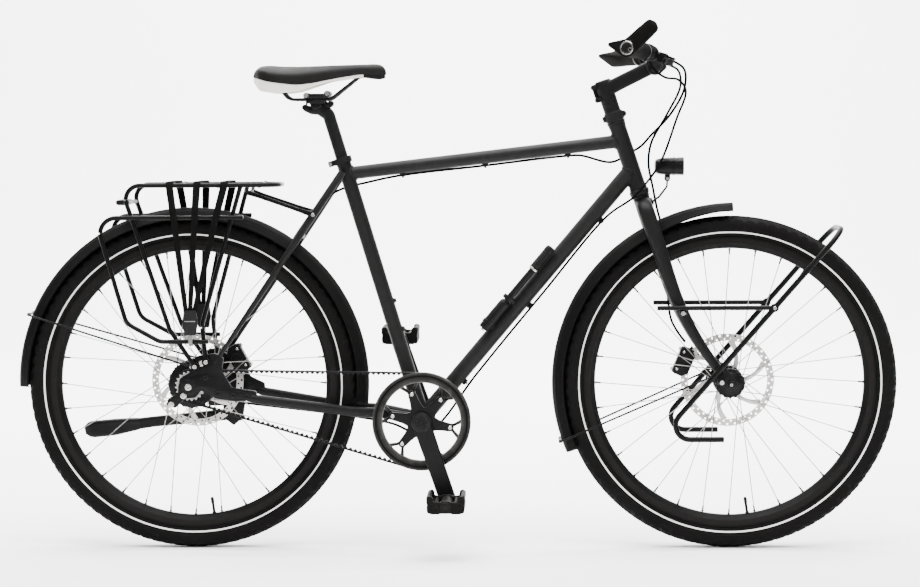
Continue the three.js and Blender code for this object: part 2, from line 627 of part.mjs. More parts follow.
function seatClamp() {
  const inner = frame.seatDiameter / 2 + seatGap;
  const outer = inner + frame.clampWall;
  const band = turnedUp(
    [[inner, 0], [outer, 0], [outer, frame.clampHeight], [inner, frame.clampHeight]], 10
  );
  const lug = block(V(frame.clampWall - outer - frame.clampLugReach / 2, 0, frame.clampHeight / 2),
    frame.clampLugReach, frame.clampLugWidth, frame.clampLugHeight);
  const boltEnd = (side) => V(
    -outer - frame.clampLugReach / 2, side * (frame.clampLugWidth / 2 + frame.bossRise), frame.clampHeight / 2);
  const bolt = rod(boltEnd(-1), boltEnd(1), frame.bossDiameter);
  return join(band, lug, bolt).translate(0, 0, frame.seatLength - frame.clampDrop);
}

add('head_tube', headTube(), framePaint, headGroup);
add('top_tube', topTube(), framePaint, frameGroup);
add('down_tube', downTube(), framePaint, frameGroup);
add('seat_tube', seatTube(), framePaint, frameGroup);
add('bottom_bracket_shell', bottomBracketShell(), framePaint, frameGroup);
add('chainstay_right', chainstay(-1), framePaint, rearGroup);
add('chainstay_left', chainstay(1), framePaint, rearGroup);
add('seatstay_right', seatstay(-1), framePaint, rearGroup);
add('seatstay_left', seatstay(1), framePaint, rearGroup);
add('dropout_right', dropoutPlate(-1, rightPlateShares, rightBoltShares), blackAlloy, rearGroup);
add('dropout_left', dropoutPlate(1, leftPlateShares, leftBoltShares), blackAlloy, rearGroup);
const seatPlane = group(bicycle, bracketPoint, -radians(90 - seatAngle));
add('seat_clamp', seatClamp(), blackAlloy, seatPlane);

// Wheels
const bothSides = (profile) => [...profile, ...profile.map(([r, y]) => [r, -y]).reverse()];

function tire() {
  const bead = wheel.beadRadius + seatGap;
  const beadY = wheel.rimWidth / 2 - wheel.flange - seatGap;
  const outer = [
    [bead, beadY], [wheel.rimOuter + 2 * seatGap, beadY], [wheel.sideRadius, wheel.tireWidth / 2],
    [wheelRadius - wheel.treadDrop, wheel.treadShoulder], [wheelRadius, wheel.treadWidth / 2],
  ];
  const inner = [[bead, beadY - wheel.tireWall], [wheelRadius - wheel.casing, wheel.innerHalf]];
  return turned([...bothSides(outer), ...bothSides(inner).reverse()], wheelSegments);
}

function rim() {
  const half = wheel.rimWidth / 2;
  const side = [
    [wheel.rimInner, wheel.rimBedWidth / 2], [wheel.rimOuter, half],
    [wheel.rimOuter, half - wheel.flange], [wheel.beadRadius - seatGap, half - wheel.flange],
  ];
  const valveFoot = polar(wheel.rimBed - wheel.rimNeck, 270 + wheel.valveAngle);
  const valveTip = polar(wheel.rimInner - wheel.valveLength, 270 + wheel.valveAngle);
  return join(turned(bothSides(side), wheelSegments), rod(valveFoot, valveTip, wheel.valveDiameter, 5));
}

// Spokes leave both flanges crosswise, from the inner and the outer face by turns
function spokes(hub) {
  const end = wheel.rimInner * Math.cos(Math.PI / wheelSegments) - seatGap;
  const pairs = wheel.spokes / 4;
  const made = [];
  for (const side of sides) {
    for (let i = 0; i < 2 * pairs; i += 1) {
      const lean = i % 2 ? 1 : -1;
      const at = 360 * i / (2 * pairs) + (side > 0 ? 180 / (2 * pairs) : 0);
      const flangeY = side * (hub.flangeY + lean * wheel.spokeOffset);
      const from = polar(hub.holeRadius, at, flangeY);
      const to = polar(end, at + lean * hub.cross, side * wheel.nippleSpread);
      made.push(rod(from, to, wheel.spokeDiameter, 3));
    }
  }
  return made;
}

function hubBody(hub, spacing) {
  const flangeIn = hub.flangeY - hub.flangeThickness / 2;
  const flangeOut = hub.flangeY + hub.flangeThickness / 2;
  return [flangeIn, flangeOut, spacing / 2 - seatGap];
}

function makeFrontHub() {
  const [flangeIn, flangeOut, end] = hubBody(frontHub, frontSpacing);
  const seatY = frontHub.rotorY - rotor.thickness / 2 - seatGap;
  const body = turned([
    [frontHub.boreRadius, -end], [frontHub.endRadius, -end],
    [frontHub.endRadius, -flangeOut - 2 * frontHub.flangeThickness],
    [frontHub.shellRadius, -flangeOut], [frontHub.flangeRadius, -flangeOut],
    [frontHub.flangeRadius, -flangeIn],
    [frontHub.shellRadius, -flangeIn], [frontHub.shellRadius, flangeIn], [frontHub.flangeRadius, flangeIn],
    [frontHub.flangeRadius, flangeOut], [frontHub.rotorSeat, flangeOut], [frontHub.rotorSeat, seatY],
    [frontHub.rotorSpigot, seatY], [frontHub.rotorSpigot, seatY + 2 * rotor.thickness],
    [frontHub.endRadius, seatY + 2 * rotor.thickness],
    [frontHub.endRadius, end], [frontHub.boreRadius, end],
  ], 12);
  return join(body, ...spokes(frontHub));
}

const sprocketNearY = -belt.lineY + sprocket.thickness / 2;
function makeRearHub() {
  const [flangeIn, flangeOut] = hubBody(rearHub, rearSpacing);
  const seatY = rearHub.rotorY - rotor.thickness / 2 - seatGap;
  const right = sprocketNearY + sprocket.hubLength / 4 + seatGap;
  const body = turned([
    [rearHub.boreRadius, right], [rearHub.endRadius, right],
    [rearHub.rotorSeat, right + 2 * rearHub.flangeThickness],
    [rearHub.flangeRadius, -flangeOut], [rearHub.flangeRadius, -flangeIn],
    [rearHub.shellRadius, -flangeIn + rearHub.flangeThickness],
    [rearHub.shellRadius, flangeIn - rearHub.flangeThickness], [rearHub.flangeRadius, flangeIn],
    [rearHub.flangeRadius, flangeOut],
    [rearHub.rotorSeat, flangeOut + 2 * rearHub.flangeThickness], [rearHub.rotorSeat, seatY],
    [rearHub.rotorSpigot, seatY],
    [rearHub.rotorSpigot, seatY + 2 * rotor.thickness], [rearHub.boreRadius, seatY + 2 * rotor.thickness],
  ], 12);
  return join(body, ...spokes(rearHub));
}

function makeRotor(hub) {
  const shape = new THREE.Shape();
  shape.absarc(0, 0, rotor.radius, 0, 2 * Math.PI);
  const inner = rotor.radius - rotor.track;
  const hole = new THREE.Path();
  hole.absarc(0, 0, hub.rotorSpigot + seatGap, 0, 2 * Math.PI);
  shape.holes.push(hole);
  const step = 360 / rotor.arms;
  const armShare = THREE.MathUtils.radToDeg(rotor.armWidth / inner);
  const rootShare = THREE.MathUtils.radToDeg(rotor.armWidth / rotor.hubRadius);
  for (let i = 0; i < rotor.arms; i += 1) {
    const outerPoints = [0, 1, 2].map(
      (k) => polar(inner, i * step + rotor.armTwist + armShare + (step - 2 * armShare) * k / 2)
    );
    const innerPoints = [1, 0].map(
      (k) => polar(rotor.hubRadius, i * step + rootShare + (step - 2 * rootShare) * k)
    );
    const window = new THREE.Path([...outerPoints, ...innerPoints].map((p) => flat(p.x, p.z)));
    window.closePath();
    shape.holes.push(window);
  }
  return plate(shape, hub.rotorY - rotor.thickness / 2, hub.rotorY + rotor.thickness / 2, 11);
}

function makeFrontAxle() {
  const face = frontSpacing / 2 + fork.tipThickness + seatGap;
  return join(
    disc(V(0, 0, 0), frontAxle.diameter, -face - frontAxle.headLength, face + frontAxle.headLength),
    disc(V(0, 0, 0), frontAxle.headDiameter, face, face + frontAxle.headLength, 6),
    disc(V(0, 0, 0), frontAxle.headDiameter, -face - frontAxle.headLength, -face, 12));
}

function makeRearAxle() {
  const face = plateY + dropout.thickness + seatGap;
  const pieces = [
    disc(V(0, 0, 0), rearAxle.diameter, -face - rearAxle.washerLength, face + rearAxle.washerLength)
  ];
  for (const side of sides) {
    const washer = side * (face + rearAxle.washerLength);
    pieces.push(
      disc(
        V(0, 0, 0), rearAxle.washerDiameter, Math.min(side * face, washer), Math.max(side * face, washer)
      )
    );
    const head = washer + side * rearAxle.headLength;
    pieces.push(disc(V(0, 0, 0), rearAxle.headDiameter, Math.min(washer, head), Math.max(washer, head), 6));
  }
  const spacerEnd = rearSpacing / 2;
  pieces.push(
    disc(V(0, 0, 0), rearAxle.driverDiameter, -spacerEnd, sprocketNearY + sprocket.hubLength / 4)
  );
  pieces.push(disc(V(0, 0, 0), rearAxle.driverDiameter, rearHub.rotorY + 2 * rotor.thickness, spacerEnd));
  return join(...pieces);
}

add('front_tire', tire(), tireRubber, frontWheel);
add('front_rim', rim(), rimAlloy, frontWheel);
add('front_hub', makeFrontHub(), blackAlloy, frontWheel);
add('front_rotor', makeRotor(frontHub), rotorSteel, frontWheel);
add('front_axle', makeFrontAxle(), silver, frontFrame);
add('rear_tire', tire(), tireRubber, rearWheel);
add('rear_rim', rim(), rimAlloy, rearWheel);
add('rear_hub', makeRearHub(), blackAlloy, rearWheel);
add('rear_rotor', makeRotor(rearHub), rotorSteel, rearWheel);
add('rear_axle', makeRearAxle(), blackAlloy, rearGroup);

// Belt drive: teeth are cut from one pitch, so ring, sprocket and belt mesh
const pitchRadius = (teeth) => teeth * belt.pitch / (2 * Math.PI);
const ringPitch = pitchRadius(belt.ringTeeth);
const sprocketPitch = pitchRadius(belt.sprocketTeeth);

function toothedOutline(teeth, phase) {
  const outer = pitchRadius(teeth) - belt.toothBase;
  const root = outer - belt.toothHeight - belt.rootClearance;
  const points = [];
  for (let i = 0; i < teeth; i += 1) {
    toothShares.forEach((share, k) => {
      const radius = outer + (root - outer) * toothDepthShares[k];
      const at = polar(radius, phase + 360 * (i + share) / teeth);
      points.push(flat(at.x, at.z));
    });
  }
  return points;
}

function beltRing() {
  const shape = new THREE.Shape(toothedOutline(belt.ringTeeth, ringPhase));
  const opening = new THREE.Path();
  opening.absarc(0, 0, ring.rimInner, 0, 2 * Math.PI);
  shape.holes.push(opening);
  const near = -belt.lineY - ring.thickness / 2;
  const far = near + ring.thickness;
  // A lip on the outer face keeps the belt from running off and gives the ring its smooth edge
  const lip = turned([
    [ring.rimInner, near - ring.lipFar], [ringPitch + ring.lipEdge, near - ring.lipFar],
    [ringPitch + ring.lipEdge, near - ring.lipNear], [ring.lipRoot, near - ring.lipNear],
    [ring.lipRoot, near + ring.lipNear], [ring.rimInner, near + ring.lipNear],
  ], 48);
  const pieces = [plate(shape, near, far, 12), lip];
  const tabNear = -crank.armInner + ring.tabThickness + seatGap;
  const reach = ring.rimInner + ring.prongWidth / 2;
  const prong = ring.prongWidth / 2;
  for (let i = 0; i < ring.arms; i += 1) {
    const at = crankArmAngle + 360 * i / ring.arms;
    const across = (radius, degrees, aside) => {
      const point = polar(radius, at + degrees);
      return flat(point.x - aside * Math.sin(radians(at)), point.z + aside * Math.cos(radians(at)));
    };
    const tab = new THREE.Shape([
      across(ring.boltRadius - ring.bossRadius, 0, 0), across(ring.boltRadius, 0, -ring.bossRadius),
      across(reach, -ring.prongSpread, -prong), across(reach, -ring.prongSpread, prong),
      across(ring.boltRadius + ring.bossRadius, 0, 0), across(reach, ring.prongSpread, -prong),
      across(reach, ring.prongSpread, prong), across(ring.boltRadius, 0, ring.bossRadius),
    ]);
    pieces.push(plate(tab, tabNear, tabNear + ring.tabThickness));
  }
  return join(...pieces);
}

function rearSprocket() {
  const shape = new THREE.Shape(toothedOutline(belt.sprocketTeeth, sprocketPhase));
  const bore = new THREE.Path();
  bore.absarc(0, 0, around(rearAxle.driverDiameter, 8) / 2, 0, 2 * Math.PI);
  shape.holes.push(bore);
  return plate(shape, sprocketNearY - sprocket.thickness, sprocketNearY, 4);
}

// The belt lies in the side view about both pitch circles; its teeth point inwards
const centerLine = bracketPoint.clone().sub(rearPoint);
const centerAngle = THREE.MathUtils.radToDeg(Math.atan2(centerLine.z, centerLine.x));
const wrapAngle = THREE.MathUtils.radToDeg(Math.asin((ringPitch - sprocketPitch) / chainstayLength));
const freeRun = chainstayLength * Math.cos(radians(wrapAngle));
const ringWrap = ringPitch * radians(180 + 2 * wrapAngle);
const sprocketWrap = sprocketPitch * radians(180 - 2 * wrapAngle);
const beltLength = 2 * freeRun + ringWrap + sprocketWrap;
const beltTeeth = Math.round(beltLength / belt.pitch);
const topTangent = centerAngle + 90 + wrapAngle;
// A point of the belt: distance along the pitch line from the ring's top tangent point, and depth inside it
function beltPoint(distance, inside) {
  const length = ((distance % beltLength) + beltLength) % beltLength;
  const ringRadius = ringPitch - inside;
  const smallRadius = sprocketPitch - inside;
  if (length < ringWrap) {
    const at = polar(ringRadius, topTangent - THREE.MathUtils.radToDeg(length / ringPitch));
    return flat(centerLine.x + at.x, centerLine.z + at.z);
  }
  const bottomTangent = topTangent - (180 + 2 * wrapAngle);
  if (length < ringWrap + freeRun) {
    const share = (length - ringWrap) / freeRun;
    const from = polar(ringRadius, bottomTangent).add(centerLine);
    const to = polar(smallRadius, bottomTangent);
    return flat(from.x + (to.x - from.x) * share, from.z + (to.z - from.z) * share);
  }
  if (length < ringWrap + freeRun + sprocketWrap) {
    const turnedBy = THREE.MathUtils.radToDeg((length - ringWrap - freeRun) / sprocketPitch);
    const at = polar(smallRadius, bottomTangent - turnedBy);
    return flat(at.x, at.z);
  }
  const share = (length - ringWrap - freeRun - sprocketWrap) / freeRun;
  const from = polar(smallRadius, topTangent);
  const to = polar(ringRadius, topTangent).add(centerLine);
  return flat(from.x + (to.x - from.x) * share, from.z + (to.z - from.z) * share);
}
const ringPhase = topTangent;
const crankArmAngle = -90 + crankAngle;
const sprocketPhase = topTangent - (180 + 2 * wrapAngle)
  + 360 * (((ringWrap + freeRun) * beltTeeth / beltLength) % 1) / belt.sprocketTeeth;

function driveBelt() {
  const step = beltLength / beltTeeth;
  const inner = [];
  for (let i = 0; i < beltTeeth; i += 1) {
    toothShares.forEach((share, k) => {
      const deep = belt.toothHeight * toothDepthShares[k];
      inner.push(beltPoint((i + share) * step, belt.toothBase + deep - seatGap));
    });
  }
  const evenly = (start, length, count) =>
    Array.from({ length: count + 1 }, (_, i) => beltPoint(start + length * i / count, -belt.backing));
  const outer = [
    ...evenly(mergeTolerance, ringWrap - 2 * mergeTolerance, belt.ringFacets),
    ...evenly(ringWrap + freeRun + mergeTolerance, sprocketWrap - 2 * mergeTolerance, belt.sprocketFacets),
  ];
  const shape = new THREE.Shape(outer.reverse());
  shape.holes.push(new THREE.Path(inner));
  return plate(shape, -belt.lineY - belt.width / 2, -belt.lineY + belt.width / 2);
}

function crankArm(direction) {
  const root = V(0, 0, 0);
  const tip = polar(crankLength + crank.tipLap, direction);
  const middle = (crank.armInner + crank.armOuter) / 2;
  const arm = sweep(
    [root.setY(middle), tip.setY(middle)], crank.armOuter - crank.armInner,
    [crank.rootWidth, crank.tipWidth], circle(8, Math.PI / 8)
  );
  const boss = disc(V(0, 0, 0), 2 * crank.bossRadius, crank.armInner, crank.armOuter, 16);
  const eye = polar(crankLength, direction);
  const hole = disc(
    eye, around(pedal.axleDiameter, 10), crank.armInner - overrun, crank.armOuter + overrun
  );
  return cut(join(arm, boss), hole);
}

// The spider is a star whose arms end at the ring bolts; the crank arm lies over one of them
function crankRight() {
  const arm = mirrored(crankArm(crankArmAngle));
  const spindle = disc(V(0, 0, 0), crank.spindleDiameter, -crank.armInner, crank.armOuter);
  const spiderNear = -crank.armInner - seatGap;
  const spiderFar = -crank.armInner + ring.tabThickness;
  const star = [];
  for (let i = 0; i < ring.arms; i += 1) {
    const at = crankArmAngle + 360 * i / ring.arms;
    const point = (radius, aside) => {
      const out = polar(radius, at);
      return flat(out.x - aside * Math.sin(radians(at)), out.z + aside * Math.cos(radians(at)));
    };
    const tip = crank.spiderTipWidth / 2;
    star.push(point(crank.spiderWidth, -crank.spiderWidth / 2), point(ring.boltRadius, -tip));
    star.push(point(ring.boltRadius + tip, 0), point(ring.boltRadius, tip));
  }
  const bolts = Array.from({ length: ring.arms - 1 }, (_, i) => disc(
    polar(ring.boltRadius, crankArmAngle + 360 * (i + 1) / ring.arms), crank.boltDiameter,
    spiderNear - crank.boltLength, spiderNear + crank.boltLength, 5));
  return join(arm, spindle, plate(new THREE.Shape(star), spiderNear, spiderFar), ...bolts);
}

function crankLeft() {
  const arm = crankArm(crankArmAngle + 180);
  return cut(arm, disc(V(0, 0, 0), around(crank.spindleDiameter, 12), 0, crank.armOuter + overrun, 12));
}

// A platform pedal on its axle: a core, two rails and raised hooks front and back
function makePedal() {
  const inner = crank.armOuter + seatGap + pedal.axleLength;
  const middle = inner + pedal.width / 2;
  const core = block(V(0, middle, 0), pedal.coreWidth, pedal.width, pedal.coreHeight);
  const axle = disc(V(0, 0, 0), pedal.axleDiameter, crank.armInner, inner + pedal.railWidth, 10);
  const pieces = [core, axle];
  for (const y of [inner + pedal.railWidth / 2, inner + pedal.width - pedal.railWidth / 2]) {
    pieces.push(block(V(0, y, 0), pedal.length, pedal.railWidth, pedal.bodyHeight));
  }
  for (const side of sides) {
    const x = side * (pedal.length - pedal.hookLength) / 2;
    const low = pedal.hookLength - pedal.bodyHeight / 2;
    pieces.push(
      block(V(x, middle, (pedal.hookTop + low) / 2), pedal.hookLength, pedal.width, pedal.hookTop - low)
    );
  }
  return join(...pieces);
}

add('belt_ring', beltRing(), blackAlloy, crankGroup);
add('rear_sprocket', rearSprocket(), silver, rearWheel);
add('drive_belt', driveBelt(), beltRubber, rearGroup);
add('crank_right', crankRight(), blackAlloy, crankGroup);
add('crank_left', crankLeft(), blackAlloy, crankGroup);
const pedalAt = (direction) => polar(crankLength, direction);
add('pedal_right', mirrored(makePedal()), plastic, group(crankGroup, pedalAt(crankArmAngle)));
add('pedal_left', makePedal(), plastic, group(crankGroup, pedalAt(crankArmAngle + 180)));

// Fork
const rakeAt = (height) => forkRake * (height < fork.bendStart ? (1 - height / fork.bendStart) ** 2 : 0);
const legY = (height) => {
  const share = Math.max(0, Math.min(1, height / fork.legSpreadHeight));
  return fork.tipSpread + (fork.legSpread - fork.tipSpread) * share;
};

// Grow is for the space that the leg takes from its neighbour
function forkLeg(side, grow = 0) {
  const heights = [
    fork.bendStart, 0.72 * fork.bendStart, 0.5 * fork.bendStart, 0.3 * fork.bendStart, fork.legEnd,
  ];
  const path = [
    V(0, side * fork.crownSpread, fork.crownHeight - fork.legTop / 3),
    V(0, side * fork.shoulderSpread, fork.shoulderHeight),
    V(0, side * fork.legSpread, fork.legSpreadHeight),
    ...heights.map((height) => V(rakeAt(height), side * legY(height), height)),
  ];
  const sizes = [
    [fork.legTopWidth, fork.legTop], [fork.legTopWidth, fork.legTop], [fork.legTopWidth, fork.legTop],
    [fork.legMid, fork.legMid * 1.1], [0.93 * fork.legMid, fork.legMid],
    [0.85 * fork.legMid, 0.9 * fork.legMid],
    [fork.legTip * 1.1, fork.legTip * 1.15], [fork.legTip, fork.legTip],
  ];
  return sweep(path, sizes.map(([w]) => w + grow), sizes.map(([, h]) => h + grow), circle(8));
}

function makeFork() {
  const pieces = [
    rod(V(0, 0, fork.steererFoot), V(0, 0, fork.steererTop), fork.steererDiameter, 12),
    rod(
      V(0, 0, fork.steererFoot), V(0, 0, frame.crownToHead - frame.headCupHeight - seatGap),
      frame.headDiameter, 12
    ),
  ];
  const toAxle = new THREE.Matrix4().makeRotationY(-headTurn).setPosition(forkRake, 0, 0);
  const tip = new THREE.Matrix4().copy(toAxle);
  for (const side of sides) {
    pieces.push(forkLeg(side));
    const near = side > 0 ? frontSpacing / 2 : -frontSpacing / 2 - fork.tipThickness;
    const far = near + fork.tipThickness;
    const legFoot = V(
      rakeAt(fork.legEnd), 0, fork.legEnd + fork.tipRadius
    ).applyMatrix4(tip.clone().invert());
    const blade = sweep(
      [V(0, (near + far) / 2, 0), V(legFoot.x, (near + far) / 2, legFoot.z)], fork.tipThickness,
      [2 * fork.tipRadius, fork.legTip], square
    );
    const tail = sweep(
      [V(0, (near + far) / 2, 0), V(-fork.eyeletX, (near + far) / 2, fork.eyeletZ)], fork.tipThickness,
      [fork.tipRadius, 2 * fork.eyeletRadius], square
    );
    const face = disc(V(0, 0, 0), 2 * fork.tipRadius, near, far);
    const lowBoss = disc(V(-fork.lowBossX, 0, fork.lowBossZ), fork.bossDiameter,
      side > 0 ? near : -fork.bossOuter, side > 0 ? fork.bossOuter : far, 6);
    pieces.push(...[blade, tail, face, lowBoss].map((piece) => piece.applyMatrix4(toAxle)));
    const boss = V(rakeAt(fork.bossHeight), side * legY(fork.bossHeight), fork.bossHeight);
    pieces.push(rod(boss, boss.clone().setY(side * fork.bossOuter), fork.bossDiameter, 6, V(1, 0, 0)));
  }
  const hole = disc(
    V(0, 0, 0), around(frontAxle.diameter, 10), -frontSpacing, frontSpacing
  ).applyMatrix4(toAxle);
  return cut(join(...pieces), hole);
}
add('fork', makeFork(), framePaint, steering);

// Stem and handlebar
const barPath = (side) => [
  V(stem.reach, 0, stem.rise), V(stem.reach, side * bar.clampHalf, stem.rise),
  V(stem.reach, side * bar.bendY, stem.rise + bar.bendRise), V(bar.endReach, side * bar.endY, bar.endRise),
];

function makeStem() {
  const column = stem.diameter / 2;
  const collar = stem.collarDiameter / 2;
  const post = turnedUp([
    [0, stem.collarFoot], [collar, stem.collarFoot], [collar, stem.collarTop], [column, stem.collarTop],
    [column, stem.top], [0, stem.top],
  ]);
  const arm = sweep(
    [V(0, 0, stem.armFoot), V(stem.reach - stem.clampDiameter / 3, 0, stem.rise)], stem.armWidth,
    stem.armHeight, circle(8, Math.PI / 8)
  );
  const clamp = disc(
    V(stem.reach, 0, stem.rise), stem.clampDiameter, -stem.clampWidth / 2, stem.clampWidth / 2, 16
  );
  const pieces = [post, arm, clamp];
  for (const side of sides) {
    const lugX = side * (stem.collarLugReach - stem.collarLugLength / 2);
    pieces.push(block(
      V(lugX, 0, (stem.collarFoot + stem.collarTop) / 2),
      stem.collarLugLength + 2 * seatGap, stem.collarLugWidth, stem.collarLugHeight));
  }
  for (const height of [stem.boltLow, stem.boltHigh]) {
    pieces.push(
      block(
        V(-stem.boltReach / 2 - stem.boltDiameter / 2, 0, height), stem.boltReach / 2, stem.boltWidth * 0.8,
        stem.boltDiameter
      )
    );
    pieces.push(
      rod(
        V(-stem.boltReach + stem.boltDiameter / 2, -stem.boltWidth / 2, height),
        V(-stem.boltReach + stem.boltDiameter / 2, stem.boltWidth / 2, height), stem.boltDiameter
      )
    );
  }
  const pocket = rod(
    V(0, 0, stem.collarFoot - overrun), V(0, 0, fork.steererTop + seatGap),
    around(fork.steererDiameter, 12), 12
  );
  const barHole = disc(
    V(stem.reach, 0, stem.rise), around(bar.clampDiameter, 12), -overrun - stem.clampWidth,
    overrun + stem.clampWidth, 12
  );
  return cut(join(...pieces), pocket, barHole);
}

function handlebar() {
  const left = bent(barPath(1), bar.bendRadius, 16);
  const right = bent(barPath(-1), bar.bendRadius, 16).reverse();
  const path = [...right, ...left.slice(1)];
  const thick = (p) => Math.abs(p.y) <= bar.clampHalf * 0.9 ? bar.clampDiameter : bar.gripDiameter;
  return sweep(path, path.map(thick), path.map(thick), circle(8), V(1, 0, 0));
}

// A frame on the bar's straight end: local Y runs outwards along the bar, X forwards
function onBar(side, tilt = 0) {
  const corner = V(stem.reach, bar.bendY, stem.rise + bar.bendRise);
  const out = V(bar.endReach, bar.endY, bar.endRise).sub(corner).normalize();
  const up = V(0, 0, 1).addScaledVector(out, -out.z).normalize();
  const forward = new THREE.Vector3().crossVectors(out, up);
  const basis = new THREE.Matrix4().makeBasis(forward, out, up)
    .multiply(new THREE.Matrix4().makeRotationY(radians(tilt)));
  const made = new THREE.Group();
  if (side < 0) {
    const flip = new THREE.Matrix4().makeScale(1, -1, 1);
    basis.premultiply(flip).multiply(flip);
    corner.y = -corner.y;
  }
  made.quaternion.setFromRotationMatrix(basis);
  made.position.copy(corner);
  steering.add(made);
  return made;
}
const barLength = V(
  stem.reach, bar.bendY, stem.rise + bar.bendRise
).distanceTo(V(bar.endReach, bar.endY, bar.endRise));
const barBore = (from, to) => disc(V(0, 0, 0), around(bar.gripDiameter, 10), from, to);

function makeGrip(start) {
  const end = barLength + bar.endGap;
  const radius = grip.diameter / 2;
  const outline = circle(12);
  const stations = [
    [start, 0], [start + grip.wall, 0], [grip.wingStart, 0], [(grip.wingStart + end) / 2, 0.55],
    [end - grip.hornInset, 1], [end, 0.92],
  ];
  const rings = stations.map(([y, wing], i) => outline.map((p) => {
    const angle = Math.atan2(p.y, p.x);
    const toward = Math.max(0, Math.cos(angle - radians(grip.wingAngle))) ** 6;
    const reach = (i === 1 || i === 0 ? radius + grip.wall / 4 : radius) + wing * grip.wingReach * toward;
    return V(reach * p.x, y, reach * p.y);
  }));
  const horn = V(Math.cos(radians(grip.hornAngle)), 0, Math.sin(radians(grip.hornAngle)));
  const from = V(0, end - grip.hornInset, 0);
  const at = (share) => from.clone().addScaledVector(horn, grip.hornLength * share);
  const scaled = (size, shares) => shares.map((share) => share * size);
  const stub = sweep(
    [at(0), at(0.8), at(0.94), at(1)], scaled(grip.hornWidth, [1, 1, 0.85, 0.45]),
    scaled(grip.hornHeight, [1.3, 1, 0.9, 0.5]), circle(8));
  return cut(join(loft(rings, outline), stub), barBore(start - overrun, barLength + seatGap));
}

function twistShifter() {
  const points = [];
  for (let i = 0; i < 2 * shifter.ribs; i += 1) {
    const radius = shifter.diameter / 2 - (i % 2 ? shifter.ribDepth : 0);
    const at = polar(radius, 360 * i / (2 * shifter.ribs));
    points.push(flat(at.x, at.z));
  }
  const body = plate(new THREE.Shape(points), shifter.start, shifter.start + shifter.length);
  return cut(body, barBore(shifter.start - overrun, shifter.start + shifter.length + overrun));
}

function brakeMaster() {
  const clamp = disc(
    V(0, 0, 0), brake.clampDiameter, brake.clampStart, brake.clampStart + brake.clampWidth
  );
  const reservoir = disc(V(brake.bodyReach, 0, 0), brake.bodyDiameter, brake.bodyStart, brake.bodyEnd, 10);
  const bridge = block(V(brake.bodyReach / 2 + brake.lugGap, brake.clampStart + brake.clampWidth / 2, 0),
    brake.bodyReach - brake.lugGap, brake.clampWidth, brake.bodyDiameter - 2 * brake.lugGap);
  const lugLength = brake.lugReach - brake.bodyReach;
  const lugs = sides.map((side) => block(
    V(brake.bodyReach + lugLength / 2, brake.pivotStart, side * (brake.lugGap + brake.lugHeight) / 2),
    lugLength, 2 * brake.leverRoot + brake.lugGap, brake.lugHeight - brake.lugGap));
  return cut(join(clamp, reservoir, bridge, ...lugs), barBore(-overrun, brake.bodyEnd + overrun));
}

// The lever is drawn about its own pivot
function brakeLever() {
  const out = (share) => share * brake.leverLength;
  const reach = brake.leverReach - brake.pivotReach;
  const path = [
    V(0, 0, 0), V(reach * 0.75, out(0.18), 0), V(reach, out(0.42), 0), V(reach * 0.8, out(0.72), 0),
    V(reach * 1.1, out(1), 0),
  ];
  const rootHeight = 2 * (brake.lugGap - seatGap);
  const heights = [rootHeight, rootHeight, brake.leverHeight, brake.leverHeight, brake.leverHeight];
  const blade = sweep(path, brake.leverThick, heights, circle(8), V(1, 0, 0));
  const root = rod(
    V(0, 0, seatGap - brake.lugGap), V(0, 0, brake.lugGap - seatGap), 2 * brake.leverRoot, 10
  );
  return join(blade, root);
}

add('stem', makeStem(), blackAlloy, steering);
add('handlebar', handlebar(), blackAlloy, steering);
add('grip_right', mirrored(makeGrip(grip.start)), gripRubber, onBar(-1));
add('grip_left', makeGrip(grip.leftStart), gripRubber, onBar(1));
add('twist_shifter', mirrored(twistShifter()), gripRubber, onBar(-1));
const rightMaster = onBar(-1, brake.tilt);
const leftMaster = onBar(1, brake.tilt);
add('brake_master_right', mirrored(brakeMaster()), blackAlloy, rightMaster);
add('brake_master_left', brakeMaster(), blackAlloy, leftMaster);
const leverAt = (side) => V(brake.pivotReach, side * brake.pivotStart, 0);
const rightLever = group(rightMaster, leverAt(-1));
const leftLever = group(leftMaster, leverAt(1));
add('brake_lever_right', mirrored(brakeLever()), blackAlloy, rightLever);
add('brake_lever_left', brakeLever(), blackAlloy, leftLever);

// Headlight on a wire bracket
function headlightBracket() {
  const face = frame.headDiameter / 2 + seatGap;
  const plateX = face + lamp.plateThickness / 2;
  const pieces = [
    block(V(plateX, 0, lamp.plateHeight), lamp.plateThickness, lamp.wireSpread * 3, lamp.plateSize),
    disc(
      V(lamp.footReach, 0, lamp.footHeight), 2 * lamp.earRadius, -lamp.bossWidth / 2, lamp.bossWidth / 2,
      10
    ),
  ];
  for (const side of sides) {
    const path = bent([
      V(plateX, side * lamp.wireSpread, lamp.plateHeight),
      V(lamp.footReach * 0.55, side * lamp.wireSpread, lamp.plateHeight + lamp.plateSize / 4),
      V(lamp.footReach - lamp.earRadius, side * lamp.bossWidth / 4, lamp.footHeight - lamp.plateSize),
      V(lamp.footReach, side * lamp.bossWidth / 4, lamp.footHeight)], lamp.plateSize / 2);
    pieces.push(sweep(path, lamp.wireDiameter, lamp.wireDiameter, circle(6)));
  }
  return join(...pieces);
}

